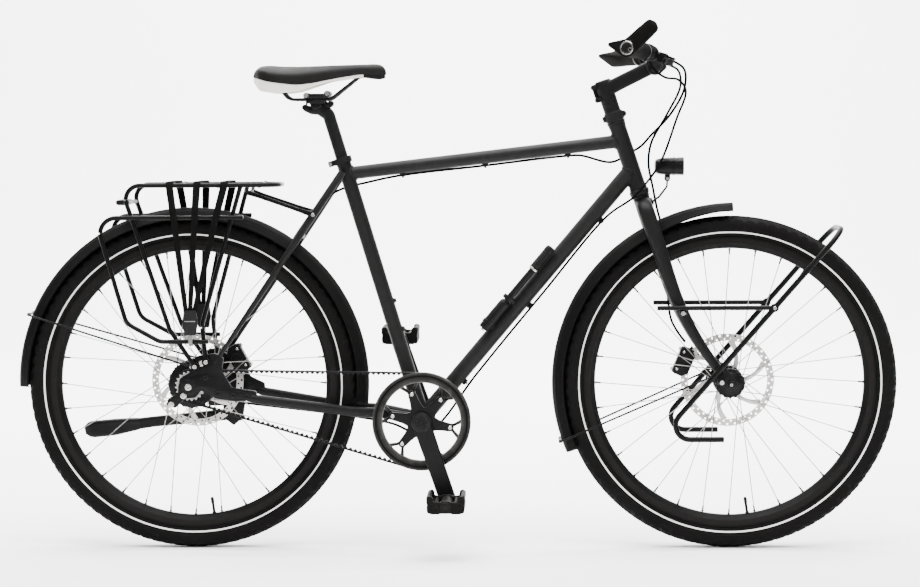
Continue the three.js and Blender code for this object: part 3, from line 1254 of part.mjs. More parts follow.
function headlight() {
  const x = lamp.reach - lamp.footReach;
  const z = lamp.height - lamp.footHeight;
  const half = lamp.length / 2;
  const turnBack = new THREE.Matrix4().makeRotationY(-headTurn).setPosition(x, 0, z);
  const at = (share) => V(half * share, 0, 0);
  const body = sweep(
    [at(-1), at(-0.75), at(0), at(0.5), at(1)],
    [0.5 * lamp.width, 0.85 * lamp.width, lamp.width, lamp.width, lamp.width],
    [lamp.tailDepth * 0.7, 0.85 * lamp.depth, 0.95 * lamp.depth, lamp.depth, lamp.depth],
    circle(8, Math.PI / 8)).applyMatrix4(turnBack);
  const pieces = [body];
  for (const side of sides) {
    const y = side * (lamp.bossWidth / 2 + seatGap + lamp.earWidth / 2);
    pieces.push(disc(V(0, 0, 0), 2 * lamp.earRadius, y - lamp.earWidth / 2, y + lamp.earWidth / 2, 10));
    pieces.push(sweep([V(0, y, 0), V(x, y, z)], lamp.earWidth, 1.6 * lamp.earRadius, square));
  }
  return join(...pieces);
}
add('headlight_bracket', headlightBracket(), blackAlloy, steering);
add('headlight', headlight(), plastic, group(steering, V(lamp.footReach, 0, lamp.footHeight)));

// Mudguards: an arched strip about the axle
function mudguard(from, to) {
  const count = Math.round((to - from) / guard.step);
  const shares = [-1, -0.45, 0.45, 1];
  const outline = [
    ...shares.map((s) => flat(s, 1 - s * s)), ...shares.slice().reverse().map((s) => flat(s, -0.2 - s * s)),
  ];
  const section = (degrees) => [
    ...shares.map((s) => polar(guard.radius - guard.sag * s * s, degrees, s * guard.width / 2)),
    ...shares.slice().reverse().map(
      (s) => polar(guard.radius - guard.thickness - guard.sag * s * s, degrees, s * (guard.width / 2))
    ),
  ];
  const rings = Array.from({ length: count + 1 }, (_, i) => section(from + (to - from) * i / count));
  return loft(rings, outline);
}

function frontMudguard() {
  const arch = mudguard(guard.frontFrom, guard.frontTo);
  const clipTop = fork.steererFoot - seatGap;
  const clip = block(
    V(0, 0, clipTop - guard.clipLength / 2), guard.clipLength, guard.clipWidth, guard.clipLength
  );
  const inside = turned(
    [
      [wheelRadius, -guard.width], [guard.radius - guard.thickness, -guard.width],
      [guard.radius - guard.thickness, guard.width], [wheelRadius, guard.width],
    ],
    wheelSegments
  );
  return join(arch, cut(clip.applyMatrix4(steeringToAxle), inside));
}

function rearMudguard() {
  const arch = mudguard(guard.rearFrom, guard.rearTo);
  const bridge = bridgePoint();
  const angle = THREE.MathUtils.radToDeg(Math.atan2(bridge.z, bridge.x));
  const reach = Math.hypot(bridge.x, bridge.z) - stays.bridgeDiameter / 2 - seatGap;
  const clip = sweep(
    [polar(guard.radius - guard.sag / 3, angle), polar(reach, angle)], guard.clipWidth, guard.clipLength,
    square
  );
  return join(arch, clip);
}

// A wire runs from one dropout round the outside of the guard to the other
function guardWire(foot, footY, angle) {
  const outer = polar(guard.radius + seatGap + guard.wireDiameter / 2, angle);
  const side = guard.width / 2 + guard.wireClear;
  const path = bent([
    V(foot.x, -footY, foot.z), V(outer.x, -side, outer.z), V(outer.x, side, outer.z),
    V(foot.x, footY, foot.z),
  ], guard.wireClear * 2);
  return sweep(path, guard.wireDiameter, guard.wireDiameter, circle(5), V(0, 0, 1));
}
add('front_mudguard', frontMudguard(), guardPlastic, frontFrame);
const frontWireY = frontSpacing / 2 + fork.tipThickness + seatGap + guard.wireDiameter / 2;
const frontWire = guardWire(V(-fork.eyeletX, 0, fork.eyeletZ), frontWireY, guard.frontWireAngle);
add('front_mudguard_stays', frontWire, rackPaint, frontFrame);
add('rear_mudguard', rearMudguard(), guardPlastic, rearGroup);
const rearWireY = plateY + dropout.thickness + seatGap + guard.wireDiameter / 2;
const rearWire = guardWire(
  V(0.05 * dropout.length, 0, 0.6 * dropout.height), rearWireY, guard.rearWireAngle
);
add('rear_mudguard_stays', rearWire, rackPaint, rearGroup);

// Calipers straddle the rotors
function makeCaliper(hub, degrees, wheelSide) {
  const body = block(V(0, 0, 0), caliper.depth, caliper.thickness, caliper.length);
  const slot = block(V(-caliper.depth / 4, 0, 0), caliper.depth, caliper.slot, caliper.length + overrun);
  const bolts = sides.map(
    (side) => rod(
      V(caliper.depth / 4, 0, side * (caliper.length / 2 - caliper.boltDiameter)),
      V(
        caliper.depth / 2 + caliper.boltDiameter / 2, 0, side * (caliper.length / 2 - caliper.boltDiameter)
      ),
      caliper.boltDiameter, 6, V(0, 1, 0)
    )
  );
  const made = cut(join(body, ...bolts), slot);
  const at = polar(caliper.radius, degrees, hub.rotorY);
  return made.rotateY(-radians(degrees)).translate(at.x, at.y, at.z);
}

function frontCaliper() {
  const body = makeCaliper(frontHub, caliper.frontAngle);
  const height = caliper.radius * 0.86;
  const leg = V(rakeAt(height), legY(height), height).applyMatrix4(steeringToAxle);
  const from = polar(
    caliper.radius, caliper.frontAngle, frontHub.rotorY + caliper.thickness / 2 - caliper.armThickness / 2
  );
  const arm = sweep(
    [from, from.clone().lerp(V(leg.x, from.y, leg.z), 0.85)], caliper.armThickness, caliper.armReach,
    square
  );
  const grown = forkLeg(1, 2 * seatGap).applyMatrix4(steeringToAxle);
  return cut(join(body, arm), grown);
}

function rearCaliper() {
  const body = makeCaliper(rearHub, caliper.rearAngle);
  const at = polar(caliper.radius, caliper.rearAngle);
  const face = plateY - seatGap;
  const armFrom = V(at.x, rearHub.rotorY + caliper.thickness / 2 - caliper.armThickness / 2, at.z);
  const toPlate = V(0.6 * dropout.length, face - caliper.armThickness / 2, 0.2 * dropout.height);
  const arm = sweep([armFrom, toPlate], caliper.armThickness, caliper.armReach, square);
  const wall = block(V(0, face + overrun, 0), 4 * dropout.length, 2 * overrun, 4 * dropout.length);
  const stay = tubeCutter(
    seatstayAt(seatstayFoot.z - overrun, 1), seatstayAt(seatstayFoot.z + 3 * overrun, 1), stays.seatDiameter);
  return cut(join(body, arm), wall, stay);
}
add('front_brake_caliper', frontCaliper(), blackAlloy, frontFrame);
add('rear_brake_caliper', rearCaliper(), blackAlloy, rearGroup);

// Low-rider rack: one bent tube with a hoop over the wheel, a rail each side and tabs to the fork
function lowriderRack() {
  const corner = (side) => [
    V(-lowrider.hookX, side * lowrider.spread, -lowrider.hookZ),
    V(-lowrider.cornerX, side * lowrider.spread, -lowrider.hookZ),
  ];
  const hoop = [
    ...bent(
      [
        ...corner(-1), V(lowrider.hoopX, -lowrider.spread, lowrider.hoopZ),
        V(lowrider.hoopX, 0, lowrider.hoopZ),
      ],
      lowrider.cornerRadius
    ),
    ...bent(
      [
        ...corner(1), V(lowrider.hoopX, lowrider.spread, lowrider.hoopZ),
        V(lowrider.hoopX, 0, lowrider.hoopZ),
      ],
      lowrider.cornerRadius
    ).reverse().slice(1),
  ];
  const pieces = [sweep(hoop, lowrider.tube)];
  const boss = V(rakeAt(fork.bossHeight), 0, fork.bossHeight).applyMatrix4(steeringToAxle);
  const tabY = fork.bossOuter + seatGap + lowrider.tabThickness / 2;
  for (const side of sides) {
    const railY = side * (lowrider.spread - lowrider.tabThickness / 2);
    pieces.push(
      sweep(
        [V(-lowrider.railBack, railY, lowrider.railZ), V(lowrider.railFront, railY, lowrider.railZ)],
        lowrider.railTube
      )
    );
    pieces.push(
      sweep(
        [V(boss.x, side * tabY, lowrider.railZ), V(boss.x, side * tabY, boss.z - lowrider.tabWidth / 2)],
        lowrider.tabThickness, lowrider.tabWidth, square
      )
    );
    pieces.push(
      sweep(
        [
          V(-fork.lowBossX - lowrider.tabWidth / 2, side * tabY, lowrider.tabWidth * 2),
          V(-fork.lowBossX, side * tabY, fork.lowBossZ - lowrider.tabWidth / 2),
        ],
        lowrider.tabThickness, lowrider.tabWidth, square
      )
    );
  }
  return join(...pieces);
}
add('lowrider_rack', lowriderRack(), rackPaint, frontFrame);

// Rear rack
const rackLampX = rack.kneeX + (rack.rearX - rack.kneeX) * (rack.lampZ - rack.kneeZ) / (
  rack.platformRise - rack.kneeZ
);
function rearRack() {
  const footY = plateY + dropout.thickness + rack.footClear;
  const tube = (path) => sweep(path, rack.tube, rack.tube, circle(5));
  const side = (s) => [
    V(rack.footX, s * footY, rack.footZ), V(rack.kneeX, s * rack.kneeY, rack.kneeZ),
    V(rack.rearX, s * rack.platformHalf, rack.platformRise),
    V(rack.frontX, s * rack.platformHalf, rack.platformRise),
  ];
  const half = (s) => bent(
    [...side(s), V(rack.frontX, 0, rack.platformRise)], [rack.kneeRadius, rack.rearRadius, rack.archRadius]);
  const pieces = [tube([...half(-1), ...half(1).reverse().slice(1)])];
  for (const s of sides) {
    pieces.push(tube(bent([
      V(rack.strutTopX, s * rack.platformHalf, rack.platformRise),
      V(rack.strutKneeX, s * rack.strutKneeY, rack.strutKneeZ),
      V(rack.strutFootX, s * footY, rack.strutFootZ)], rack.archRadius)));
    pieces.push(tube(bent([
      V(rack.railX, s * rack.railTopY, rack.railTopZ), V(rack.railBackX, s * rack.railTopY, rack.railTopZ),
      V(rack.railKneeX, s * rack.railKneeY, rack.railKneeZ),
      V(rack.railLowX, s * rack.railLowY, rack.railLowZ),
      V(rack.railEndX, s * rack.railLowY, rack.railLowZ)], rack.railRadius)));
    const stay = seatstayAt(rack.braceEndZ, s);
    const end = V(stay.x, stay.y + s * (stays.seatDiameter / 2 + seatGap + rack.braceTab / 2), stay.z);
    const braceTop = V(rack.braceTopX, s * rack.braceSpread, rack.platformRise - rack.braceTopDrop);
    pieces.push(
      sweep(
        [V(rack.braceTopX, s * rack.platformHalf, rack.platformRise), braceTop.clone()], rack.crossTube,
        rack.crossTube, circle(6), V(1, 0, 0)
      )
    );
    pieces.push(sweep([braceTop, end], [rack.braceTab, rack.braceTab], 2 * rack.braceTab, square));
  }
  for (const share of crossShares) {
    const x = rack.rearX + (rack.frontX - rack.rearX) * share;
    pieces.push(
      rod(
        V(x, -rack.platformHalf, rack.platformRise), V(x, rack.platformHalf, rack.platformRise),
        rack.crossTube, 6, V(1, 0, 0)
      )
    );
  }
  pieces.push(
    rod(
      V(rackLampX, -rack.platformHalf, rack.lampZ), V(rackLampX, rack.platformHalf, rack.lampZ),
      rack.crossTube, 6, V(1, 0, 0)
    )
  );
  return join(...pieces);
}

function rearLamp() {
  const near = rackLampX - rack.crossTube / 2 - rearLight.gap;
  return plate(roundedShape([
    flat(near - rearLight.length, -rearLight.height / 2 + rack.lampZ),
    flat(near, -rearLight.height / 2 + rack.lampZ),
    flat(near, rearLight.height / 2 + rack.lampZ),
    flat(near - rearLight.length, rearLight.height / 2 + rack.lampZ),
  ], rearLight.height / 4), -rearLight.width / 2, rearLight.width / 2, 2);
}

function luggageStrap() {
  const pieces = [];
  const lowY = rack.railLowY + rack.tube / 2 + seatGap + strap.buckleThickness / 2;
  const overZ = rack.platformRise + rack.tube / 2 + 2 * seatGap + strap.thickness;
  const sideY = rack.platformHalf + rack.tube / 2 + 2 * seatGap + strap.thickness;
  for (let i = 0; i < 3; i += 1) {
    const topX = strap.topX + i * strap.topStep;
    const lowX = strap.convergeX + (i - 1) * strap.lowStep;
    const share = (overZ - rack.railTopZ) / (overZ - strap.low);
    const railX = topX + (lowX - topX) * share;
    const half = (s) => [
      V(lowX, s * lowY, strap.low), V(railX, s * strap.railPass, rack.railTopZ),
      V(topX, s * sideY, rack.platformRise),
      V(topX, s * (sideY - strap.thickness * 2), overZ),
    ];
    pieces.push(
      sweep([...half(-1), ...half(1).reverse()], strap.width, strap.thickness, square, V(1, 0, 0))
    );
  }
  for (const s of sides) {
    pieces.push(
      block(
        V(strap.convergeX, s * lowY, strap.low - strap.buckleHeight / 2 + strap.buckleThickness),
        strap.buckleWidth, strap.buckleThickness, strap.buckleHeight
      )
    );
    pieces.push(
      block(
        V(strap.convergeX, s * lowY, strap.low - strap.buckleHeight), strap.hookWidth,
        strap.buckleThickness, strap.hookHeight
      )
    );
  }
  return join(...pieces);
}
add('rear_rack', rearRack(), rackPaint, rearGroup);
add('rear_light', rearLamp(), redLens, rearGroup);
add('luggage_strap', luggageStrap(), webbing, rearGroup);

// Seatpost and saddle
const saddleGroup = group(seatGroup, V(-seat.headBack, 0, seat.headRise), radians(90 - seatAngle));
const saddleX = (share) => saddle.tail + saddle.length * share;
const saddleZ = (share) => saddle.rise + saddle.length * share;

// Height of the shell's underside at a share of the saddle's length
function shellUnder(share) {
  const i = saddleStationShares.findIndex((station) => station > share);
  const part = (share - saddleStationShares[i - 1]) / (saddleStationShares[i] - saddleStationShares[i - 1]);
  const height = (k) => saddleEdgeShares[k] + (
    saddleTopShares[k] - saddleEdgeShares[k]
  ) * saddle.shellCrown;
  return saddleZ(height(i - 1) + (height(i) - height(i - 1)) * part) - 4 * seatGap - saddle.shellWall;
}

function railPath(side) {
  const y = side * seat.railSpread;
  const low = seat.railZ + saddle.rise - seat.railDiameter;
  const end = (share) => shellUnder(share) - seatGap - seat.railDiameter / 2;
  return bent([
    V(saddleX(0.17), y, end(0.17)), V(saddleX(0.28), y, low), V(saddleX(0.5), y, low),
    V(saddleX(0.8), side * seat.railNose, end(0.8)), V(saddleX(0.84), side * seat.railNose, end(0.84)),
  ], 4 * seat.railDiameter);
}

function seatpost() {
  const tube = rod(V(0, 0, seat.postFoot), V(0, 0, seat.postTop), seat.postDiameter, 12);
  const neck = sweep(
    [V(0, 0, seat.postTop - seat.headDepth), V(-seat.headBack, 0, seat.headRise)], seat.postDiameter,
    seat.postDiameter, circle(8)
  );
  const railHeight = seat.railZ + saddle.rise - seat.railDiameter;
  const cradle = block(V(0, 0, railHeight), seat.headLength, seat.headWidth, seat.headDepth)
    .rotateY(radians(90 - seatAngle)).translate(-seat.headBack, 0, seat.headRise);
  const turnSaddle = new THREE.Matrix4().makeRotationY(radians(90 - seatAngle)).setPosition(
    -seat.headBack, 0, seat.headRise
  );
  const grooves = sides.map(
    (side) => sweep(
      railPath(side), around(seat.railDiameter, 6), around(seat.railDiameter, 6), circle(6)
    ).applyMatrix4(turnSaddle)
  );
  return cut(join(tube, neck, cradle), ...grooves);
}

function saddleRails() {
  const pieces = sides.map((side) => sweep(railPath(side), seat.railDiameter));
  const front = railPath(1).at(-1);
  pieces.push(rod(V(front.x, -front.y, front.z), V(front.x, front.y, front.z), seat.railDiameter));
  return join(...pieces);
}

function saddleCover() {
  const ringAt = (i) => {
    const half = saddle.length * saddleHalfShares[i];
    const top = saddleZ(saddleTopShares[i]);
    const edge = saddleZ(saddleEdgeShares[i]);
    const x = saddleX(saddleStationShares[i]);
    const upper = Array.from({ length: 11 }, (_, k) => {
      const angle = Math.PI * k / 10;
      return V(x, half * Math.cos(angle), edge + (top - edge) * Math.sin(angle) ** 0.55);
    });
    const under = [-0.8, -0.3, 0.3, 0.8].map(
      (s) => V(x, half * s, edge + (top - edge) * saddle.shellCrown)
    );
    return [...upper, ...under];
  };
  const outline = [
    ...Array.from({ length: 11 }, (_, k) => flat(Math.cos(Math.PI * k / 10), Math.sin(Math.PI * k / 10))),
    ...[-0.8, -0.3, 0.3, 0.8].map((s) => flat(s, 0.2 - s * s * 0.2)),
  ];
  return loft(saddleStationShares.map((_, i) => ringAt(i)), outline);
}

function saddleShell() {
  const ringAt = (i, wall) => {
    const half = saddle.length * saddleHalfShares[i] - wall;
    const edge = saddleZ(saddleEdgeShares[i]) - 2 * seatGap;
    const top = edge + (
      saddleZ(saddleTopShares[i]) - saddleZ(saddleEdgeShares[i])
    ) * saddle.shellCrown - 2 * seatGap;
    const low = wall ? saddleZ(saddleLowShares[i]) - overrun : saddleZ(saddleLowShares[i]);
    const x = saddleX(saddleStationShares[i]);
    return [
      V(x, half, edge - wall), V(x, 0.76 * half, top - wall), V(x, 0, top - wall),
      V(x, -0.76 * half, top - wall), V(x, -half, edge - wall),
      V(x, -0.93 * half, low), V(x, 0.93 * half, low),
    ];
  };
  const outline = [
    flat(1, 0), flat(0.7, 0.3), flat(0, 0.35), flat(-0.7, 0.3), flat(-1, 0), flat(-0.9, -1), flat(0.9, -1),
  ];
  const stations = saddleStationShares.map((_, i) => i);
  const outer = loft(stations.map((i) => ringAt(i, 0)), outline);
  const inner = loft(stations.slice(1, -2).map((i) => ringAt(i, saddle.shellWall)), outline);
  return cut(outer, inner);
}
add('seatpost', seatpost(), blackAlloy, seatGroup);
add('saddle_rails', saddleRails(), blackAlloy, saddleGroup);
add('saddle_shell', saddleShell(), creamPlastic, saddleGroup);
add('saddle_cover', saddleCover(), leather, saddleGroup);

// Frame pump in its bracket beside the down tube
function framePump() {
  const at = (distance) => bracketPoint.clone().addScaledVector(downUp, distance)
    .addScaledVector(downNormal, pump.upOffset).setY(-pump.sideOffset);
  const barrel = rod(at(pump.start), at(pump.barrelEnd), pump.barrelDiameter, 12);
  const neck = rod(at(pump.barrelEnd - seatGap), at(pump.neckEnd + seatGap), pump.neckDiameter, 10);
  const handle = rod(at(pump.neckEnd), at(pump.top), pump.handleDiameter, 12);
  const clampAt = (distance) => {
    const out = at(distance);
    const inside = bracketPoint.clone().addScaledVector(downUp, distance);
    return sweep([out, inside], pump.bracketLength, pump.bracketWidth, square, downUp);
  };
  const tube = tubeCutter(bracketPoint, downTo, frame.downDiameter);
  const body = join(
    barrel, neck, handle, clampAt(pump.barrelEnd + pump.bracketLength / 2),
    clampAt(pump.start + pump.bracketLength)
  );
  return cut(body, tube);
}
add('frame_pump', framePump(), plastic, frameGroup);

// Kickstand, folded back along the chainstay: it swings on the left dropout's tilted boss
const kickGroup = new THREE.Group();
const kickTurn = new THREE.Matrix4().makeBasis(
  kickForward, kickOut, new THREE.Vector3().crossVectors(kickForward, kickOut)
);
kickGroup.quaternion.setFromRotationMatrix(kickTurn);
kickGroup.position.copy(kickFoot).addScaledVector(kickOut, kick.bossLength);
rearGroup.add(kickGroup);
function kickstand() {
  const head = disc(V(0, 0, 0), 2 * kick.headRadius, 0, kick.headThickness, 12);
  const at = (distance) => V(-distance, kick.headThickness / 2, 0);
  const leg = sweep(
    [at(0), at(kick.length - kick.footLength), at(kick.length - kick.footLength / 2), at(kick.length)],
    kick.thickness, [kick.width * 1.2, kick.width * 0.9, kick.footWidth, kick.footWidth * 0.6],
    circle(8, Math.PI / 8));
  return join(head, leg);
}
add('kickstand', kickstand(), blackAlloy, kickGroup);

// Hoses and cables, in the bicycle's own axes
const fromSteering = ([x, y, z]) => steerPoint.clone()
  .addScaledVector(headForward, x).addScaledVector(headUp, z).setY(y);
const smooth = (points, count) => new THREE.CatmullRomCurve3(points, false, 'centripetal').getPoints(count);

// Route points of the front hose: reach and side and height in the steering frame
const frontHoseRoute = [
  [150, 122, 695], [168, 95, 676], [160, 72, 640], [110, 50, 590], [60, 36, 545], [40, 34, 505],
  [32, 36, 450],
  [27, 48, 405], [24, 60, 350], [16, 66, 290], [-2, 66.3, 240], [-15, 65, 195], [-20, 56, 160],
  [-14, 46, 128], [-7, 41, 108],
];
const hoseTube = (points) => sweep(points, hose.diameter, hose.diameter, circle(hose.sides));
add(
  'front_brake_hose', hoseTube(smooth(frontHoseRoute.map(([x, y, z]) => V(x, y, z)), 17)), hoseBlack,
  steering
);

// A route point beside a tube: share of the tube's length, side, and height above its middle line
const beside = (from, to) => ([share, y, above]) => {
  const along = to.clone().sub(from);
  const up = V(-along.z, 0, along.x).normalize();
  return from.clone().addScaledVector(along, share).addScaledVector(up, above).setY(y);
};
const besideRear = ([x, y, z]) => rearPoint.clone().add(V(x, y, z));

// Rear hose: in the steering frame, then under the top tube, then down the left seatstay to the caliper
const rearHoseSteering = [
  [150, -122, 695], [168, -90, 672], [156, -50, 630], [112, -12, 588], [62, 14, 560], [36, 27, 545],
  [6, 30, 538],
];
const rearHoseTube = [
  [0.9546, 26, -43.1], [0.8447, 10, -20.5], [0.7882, 6, -17.8], [0.4994, 5.9, -17.7], [0.1786, 5.9, -17.7],
];
const rearHoseStay = [
  [378, 21, 435], [335, 22, 425], [301, 24, 409], [265, 32, 377], [206, 40.5, 295], [149, 49, 203],
  [102, 53, 133], [83, 51.5, 94],
];
const rearHosePoints = [
  ...rearHoseSteering.map(fromSteering),
  ...rearHoseTube.map(beside(topFrom, topTo)), ...rearHoseStay.map(besideRear),
];
add('rear_brake_hose', hoseTube(smooth(rearHosePoints, 30)), hoseBlack, frameGroup);

// Both gear cables: in the steering frame, then along the down tube, then to the shift box at the hub
const shiftSteering = [
  [22, -142, 680], [90, -130, 668], [150, -100, 655], [158, -62, 625], [124, -36, 578], [62, -31, 500],
  [20, -31, 468],
];
const shiftTube = [
  [0.936, -27, -39.8], [0.8424, -8, -23.6], [0.5356, -7, -24.4], [0.2093, -7, -27.7], [0.0134, -6, -34.4],
];
const shiftStay = [
  [493, 0, -113], [433, 20, -93], [343, 42, -79], [183, 57, -61], [113, 60, -53], [68, 60, -46],
];
const shiftPoints = [
  ...shiftSteering.map(fromSteering),
  ...shiftTube.map(beside(bracketPoint, downTo)), ...shiftStay.map(besideRear),
];
const shiftRoute = smooth(shiftPoints, 32);
function shiftCable(side) {
  const route = shiftRoute.map((p) => p.clone().setY(p.y + side * hose.cablePitch / 2));
  return sweep(route, hose.cableDiameter, hose.cableDiameter, circle(hose.sides));
}
add('shift_cables', join(...sides.map(shiftCable)), hoseBlack, frameGroup);

// The origin is under the middle of the whole bicycle, on the ground
bicycle.updateMatrixWorld(true);
const whole = new THREE.Box3().setFromObject(bicycle);
bicycle.position.set(-(whole.min.x + whole.max.x) / 2, -(whole.min.y + whole.max.y) / 2, -whole.min.z);
bicycle.updateMatrixWorld(true);

export default bicycle;
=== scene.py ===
"""Touring bicycle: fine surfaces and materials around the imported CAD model.

Lengths are millimetres in the bicycle's own axes (+X forward, +Y the rider's left, +Z up, X 0 midway
between the wheels, Z 0 on the ground) and become metres in the model's frame when a mesh is made.
"""
import math

import bpy
import numpy as np
from mathutils import Matrix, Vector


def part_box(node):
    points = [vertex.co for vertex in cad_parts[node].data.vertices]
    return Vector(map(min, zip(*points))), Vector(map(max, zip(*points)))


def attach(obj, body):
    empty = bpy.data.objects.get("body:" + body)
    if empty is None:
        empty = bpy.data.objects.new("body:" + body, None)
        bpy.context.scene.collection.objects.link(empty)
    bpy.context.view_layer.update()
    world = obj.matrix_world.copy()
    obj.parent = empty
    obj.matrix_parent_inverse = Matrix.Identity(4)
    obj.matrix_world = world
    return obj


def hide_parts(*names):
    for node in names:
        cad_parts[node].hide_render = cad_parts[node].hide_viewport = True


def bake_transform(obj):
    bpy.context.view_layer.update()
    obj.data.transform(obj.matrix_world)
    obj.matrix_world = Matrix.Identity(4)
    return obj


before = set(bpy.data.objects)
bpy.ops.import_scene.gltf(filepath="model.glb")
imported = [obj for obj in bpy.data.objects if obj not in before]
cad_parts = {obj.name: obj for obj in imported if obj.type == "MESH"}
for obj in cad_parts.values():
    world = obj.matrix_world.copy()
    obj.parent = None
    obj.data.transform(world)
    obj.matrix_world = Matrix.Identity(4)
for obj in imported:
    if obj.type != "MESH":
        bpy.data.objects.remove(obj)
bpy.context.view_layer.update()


# The studio: a plain white sheet as floor and wall, a broad soft light overhead, one that washes the wall
# and a low one in front. The camera stands 4.7 m to the right of the bicycle with a long lens.
wheelbase = 1166.0
wheel_radius = 361.0
front_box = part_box("front_tire")
shift_x = 500.0 * (front_box[0][0] + front_box[1][0]) - wheelbase / 2
CAMERA_PLACE = (164.389, -4700.0, 899.582)
CAMERA_YAW = -0.0349315
CAMERA_PITCH = 0.0731307
CAMERA_ROLL = -0.0058286
CAMERA_FOCAL = 2170.21
PHOTO_WIDTH = 920.0
SENSOR_WIDTH = 36.0
FLOOR_FRONT = 9.0
FLOOR_BACK = 4.5
FLOOR_BEND = 2.0
FLOOR_HALF = 12.0
WALL_HEIGHT = 7.0


def place_camera():
    """Forward, right and up vectors of the camera from its yaw, pitch and roll."""
    forward = np.array([math.sin(CAMERA_YAW) * math.cos(CAMERA_PITCH),
                        math.cos(CAMERA_YAW) * math.cos(CAMERA_PITCH), -math.sin(CAMERA_PITCH)])
    level = np.array([math.cos(CAMERA_YAW), -math.sin(CAMERA_YAW), 0.0])
    raised = np.cross(level, forward)
    right = level * math.cos(CAMERA_ROLL) + raised * math.sin(CAMERA_ROLL)
    up = raised * math.cos(CAMERA_ROLL) - level * math.sin(CAMERA_ROLL)
    lens = bpy.data.cameras.new("photo_camera")
    lens.sensor_width = SENSOR_WIDTH
    lens.lens = SENSOR_WIDTH * CAMERA_FOCAL / PHOTO_WIDTH
    lens.clip_end = 200.0
    camera = bpy.data.objects.new("photo_camera", lens)
    turn = Matrix((right, up, -forward)).transposed().to_4x4()
    place = (np.array(CAMERA_PLACE) + (shift_x, 0.0, 0.0)) / 1000.0
    camera.matrix_world = Matrix.Translation(place.tolist()) @ turn
    bpy.context.collection.objects.link(camera)
    bpy.context.scene.camera = camera


def area_light(name, place, aim, width, depth, power):
    """A soft rectangular light at a place in metres, turned towards a point."""
    lamp = bpy.data.lights.new(name, "AREA")
    lamp.shape = "RECTANGLE"
    lamp.size = width
    lamp.size_y = depth
    lamp.energy = power
    holder = bpy.data.objects.new(name, lamp)
    away = np.array(place, float) - np.array(aim, float)
    back = away / np.linalg.norm(away)
    side = np.cross((0.0, 1.0, 0.0) if abs(back[2]) > 0.9 else (0.0, 0.0, 1.0), back)
    side /= np.linalg.norm(side)
    turn = Matrix((side, np.cross(back, side), back)).transposed().to_4x4()
    holder.matrix_world = Matrix.Translation(place) @ turn
    bpy.context.collection.objects.link(holder)


def make_studio():
    """A white sheet that lies under the bicycle and curves up into a wall behind it, and the lights:
    one washes the wall, one hangs over the bicycle and one stands beside the camera."""
    bend = np.linspace(0.0, math.pi / 2, 25)
    line = np.concatenate([[(-FLOOR_FRONT, 0.0)],
                           np.stack([FLOOR_BACK + FLOOR_BEND * np.sin(bend),
                                     FLOOR_BEND * (1 - np.cos(bend))], -1),
                           [(FLOOR_BACK + FLOOR_BEND, WALL_HEIGHT)]])
    rows = [[(side * FLOOR_HALF, y, z) for y, z in line] for side in (-1, 1)]
    count = len(line)
    faces = [(i, count + i, count + i + 1, i + 1) for i in range(count - 1)]
    mesh = bpy.data.meshes.new("floor")
    mesh.from_pydata(rows[0] + rows[1], [], faces)
    mesh.polygons.foreach_set("use_smooth", np.ones(len(faces), bool))
    floor = bpy.data.objects.new("floor", mesh)
    bpy.context.collection.objects.link(floor)
    paint = bpy.data.materials.new("floor_white")
    paint.use_nodes = True
    shader = paint.node_tree.nodes["Principled BSDF"]
    shader.inputs["Base Color"].default_value = (0.93, 0.93, 0.93, 1)
    shader.inputs["Roughness"].default_value = 0.9
    shader.inputs["Specular IOR Level"].default_value = 0.1
    mesh.materials.append(paint)
    world = bpy.data.worlds.new("surround")
    world.use_nodes = True
    world.node_tree.nodes["Background"].inputs["Color"].default_value = (1, 1, 1, 1)
    world.node_tree.nodes["Background"].inputs["Strength"].default_value = 0.28
    bpy.context.scene.world = world
    area_light("wall_wash", (0.0, 2.2, 4.6), (0.0, 6.2, 0.6), 9.0, 1.2, 2100)
    area_light("overhead_soft", (0.0, -0.6, 4.2), (0.0, 0.0, 0.0), 5.0, 3.0, 900)
    area_light("front_soft", (1.4, -4.4, 2.4), (0.0, 0.0, 0.6), 2.4, 1.2, 40)


place_camera()
make_studio()


# The frame: round steel tubes, mitred and welded with a small rippled bead, powder-coated fine-textured
# matt black. Screwed to it are the seat clamp, the bottle bosses and the guides that hold the hoses.
BLACK_PAINT = (0.0042, 0.004, 0.004)
TOP_TUBE = 28.6
DOWN_TUBE = 34.9
SEAT_TUBE = 31.8
HEAD_TUBE = 36.0
SHELL_TUBE = 42.0
WELD_RADIUS = 2.4
WELD_RIPPLES = 46

bracket = np.array([-wheelbase / 2 + math.sqrt(506.65 ** 2 - 78.0 ** 2), 0.0, wheel_radius - 78.0])
rear_axle = np.array([-wheelbase / 2, 0.0, wheel_radius])
front_axle = np.array([wheelbase / 2, 0.0, wheel_radius])
seat_tilt = math.radians(73.2)
head_tilt = math.radians(71.6)
seat_up = np.array([-math.cos(seat_tilt), 0.0, math.sin(seat_tilt)])
seat_forward = np.array([math.sin(seat_tilt), 0.0, math.cos(seat_tilt)])
head_up = np.array([-math.cos(head_tilt), 0.0, math.sin(head_tilt)])
head_forward = np.array([math.sin(head_tilt), 0.0, math.cos(head_tilt)])
left = np.array([0.0, 1.0, 0.0])
steer_foot = front_axle - 54.0 * head_forward


def on_seat(distance, forward=0.0, y=0.0):
    """A point by its distance up the seat tube, forward of it and to the left."""
    return bracket + distance * seat_up + forward * seat_forward + y * left


def on_steering(reach, y, height):
    """A point by its reach ahead of the steering axis, its side and its height along that axis."""
    return steer_foot + reach * head_forward + y * left + height * head_up


def from_rear(x, y, z):
    """A point given from the middle of the rear axle."""
    return rear_axle + (x, y, z)


def circle(count):
    """Points of the unit circle: cosine and sine of evenly spread angles."""
    angles = 2 * np.pi * np.arange(count) / count
    return np.stack([np.cos(angles), np.sin(angles)], -1)


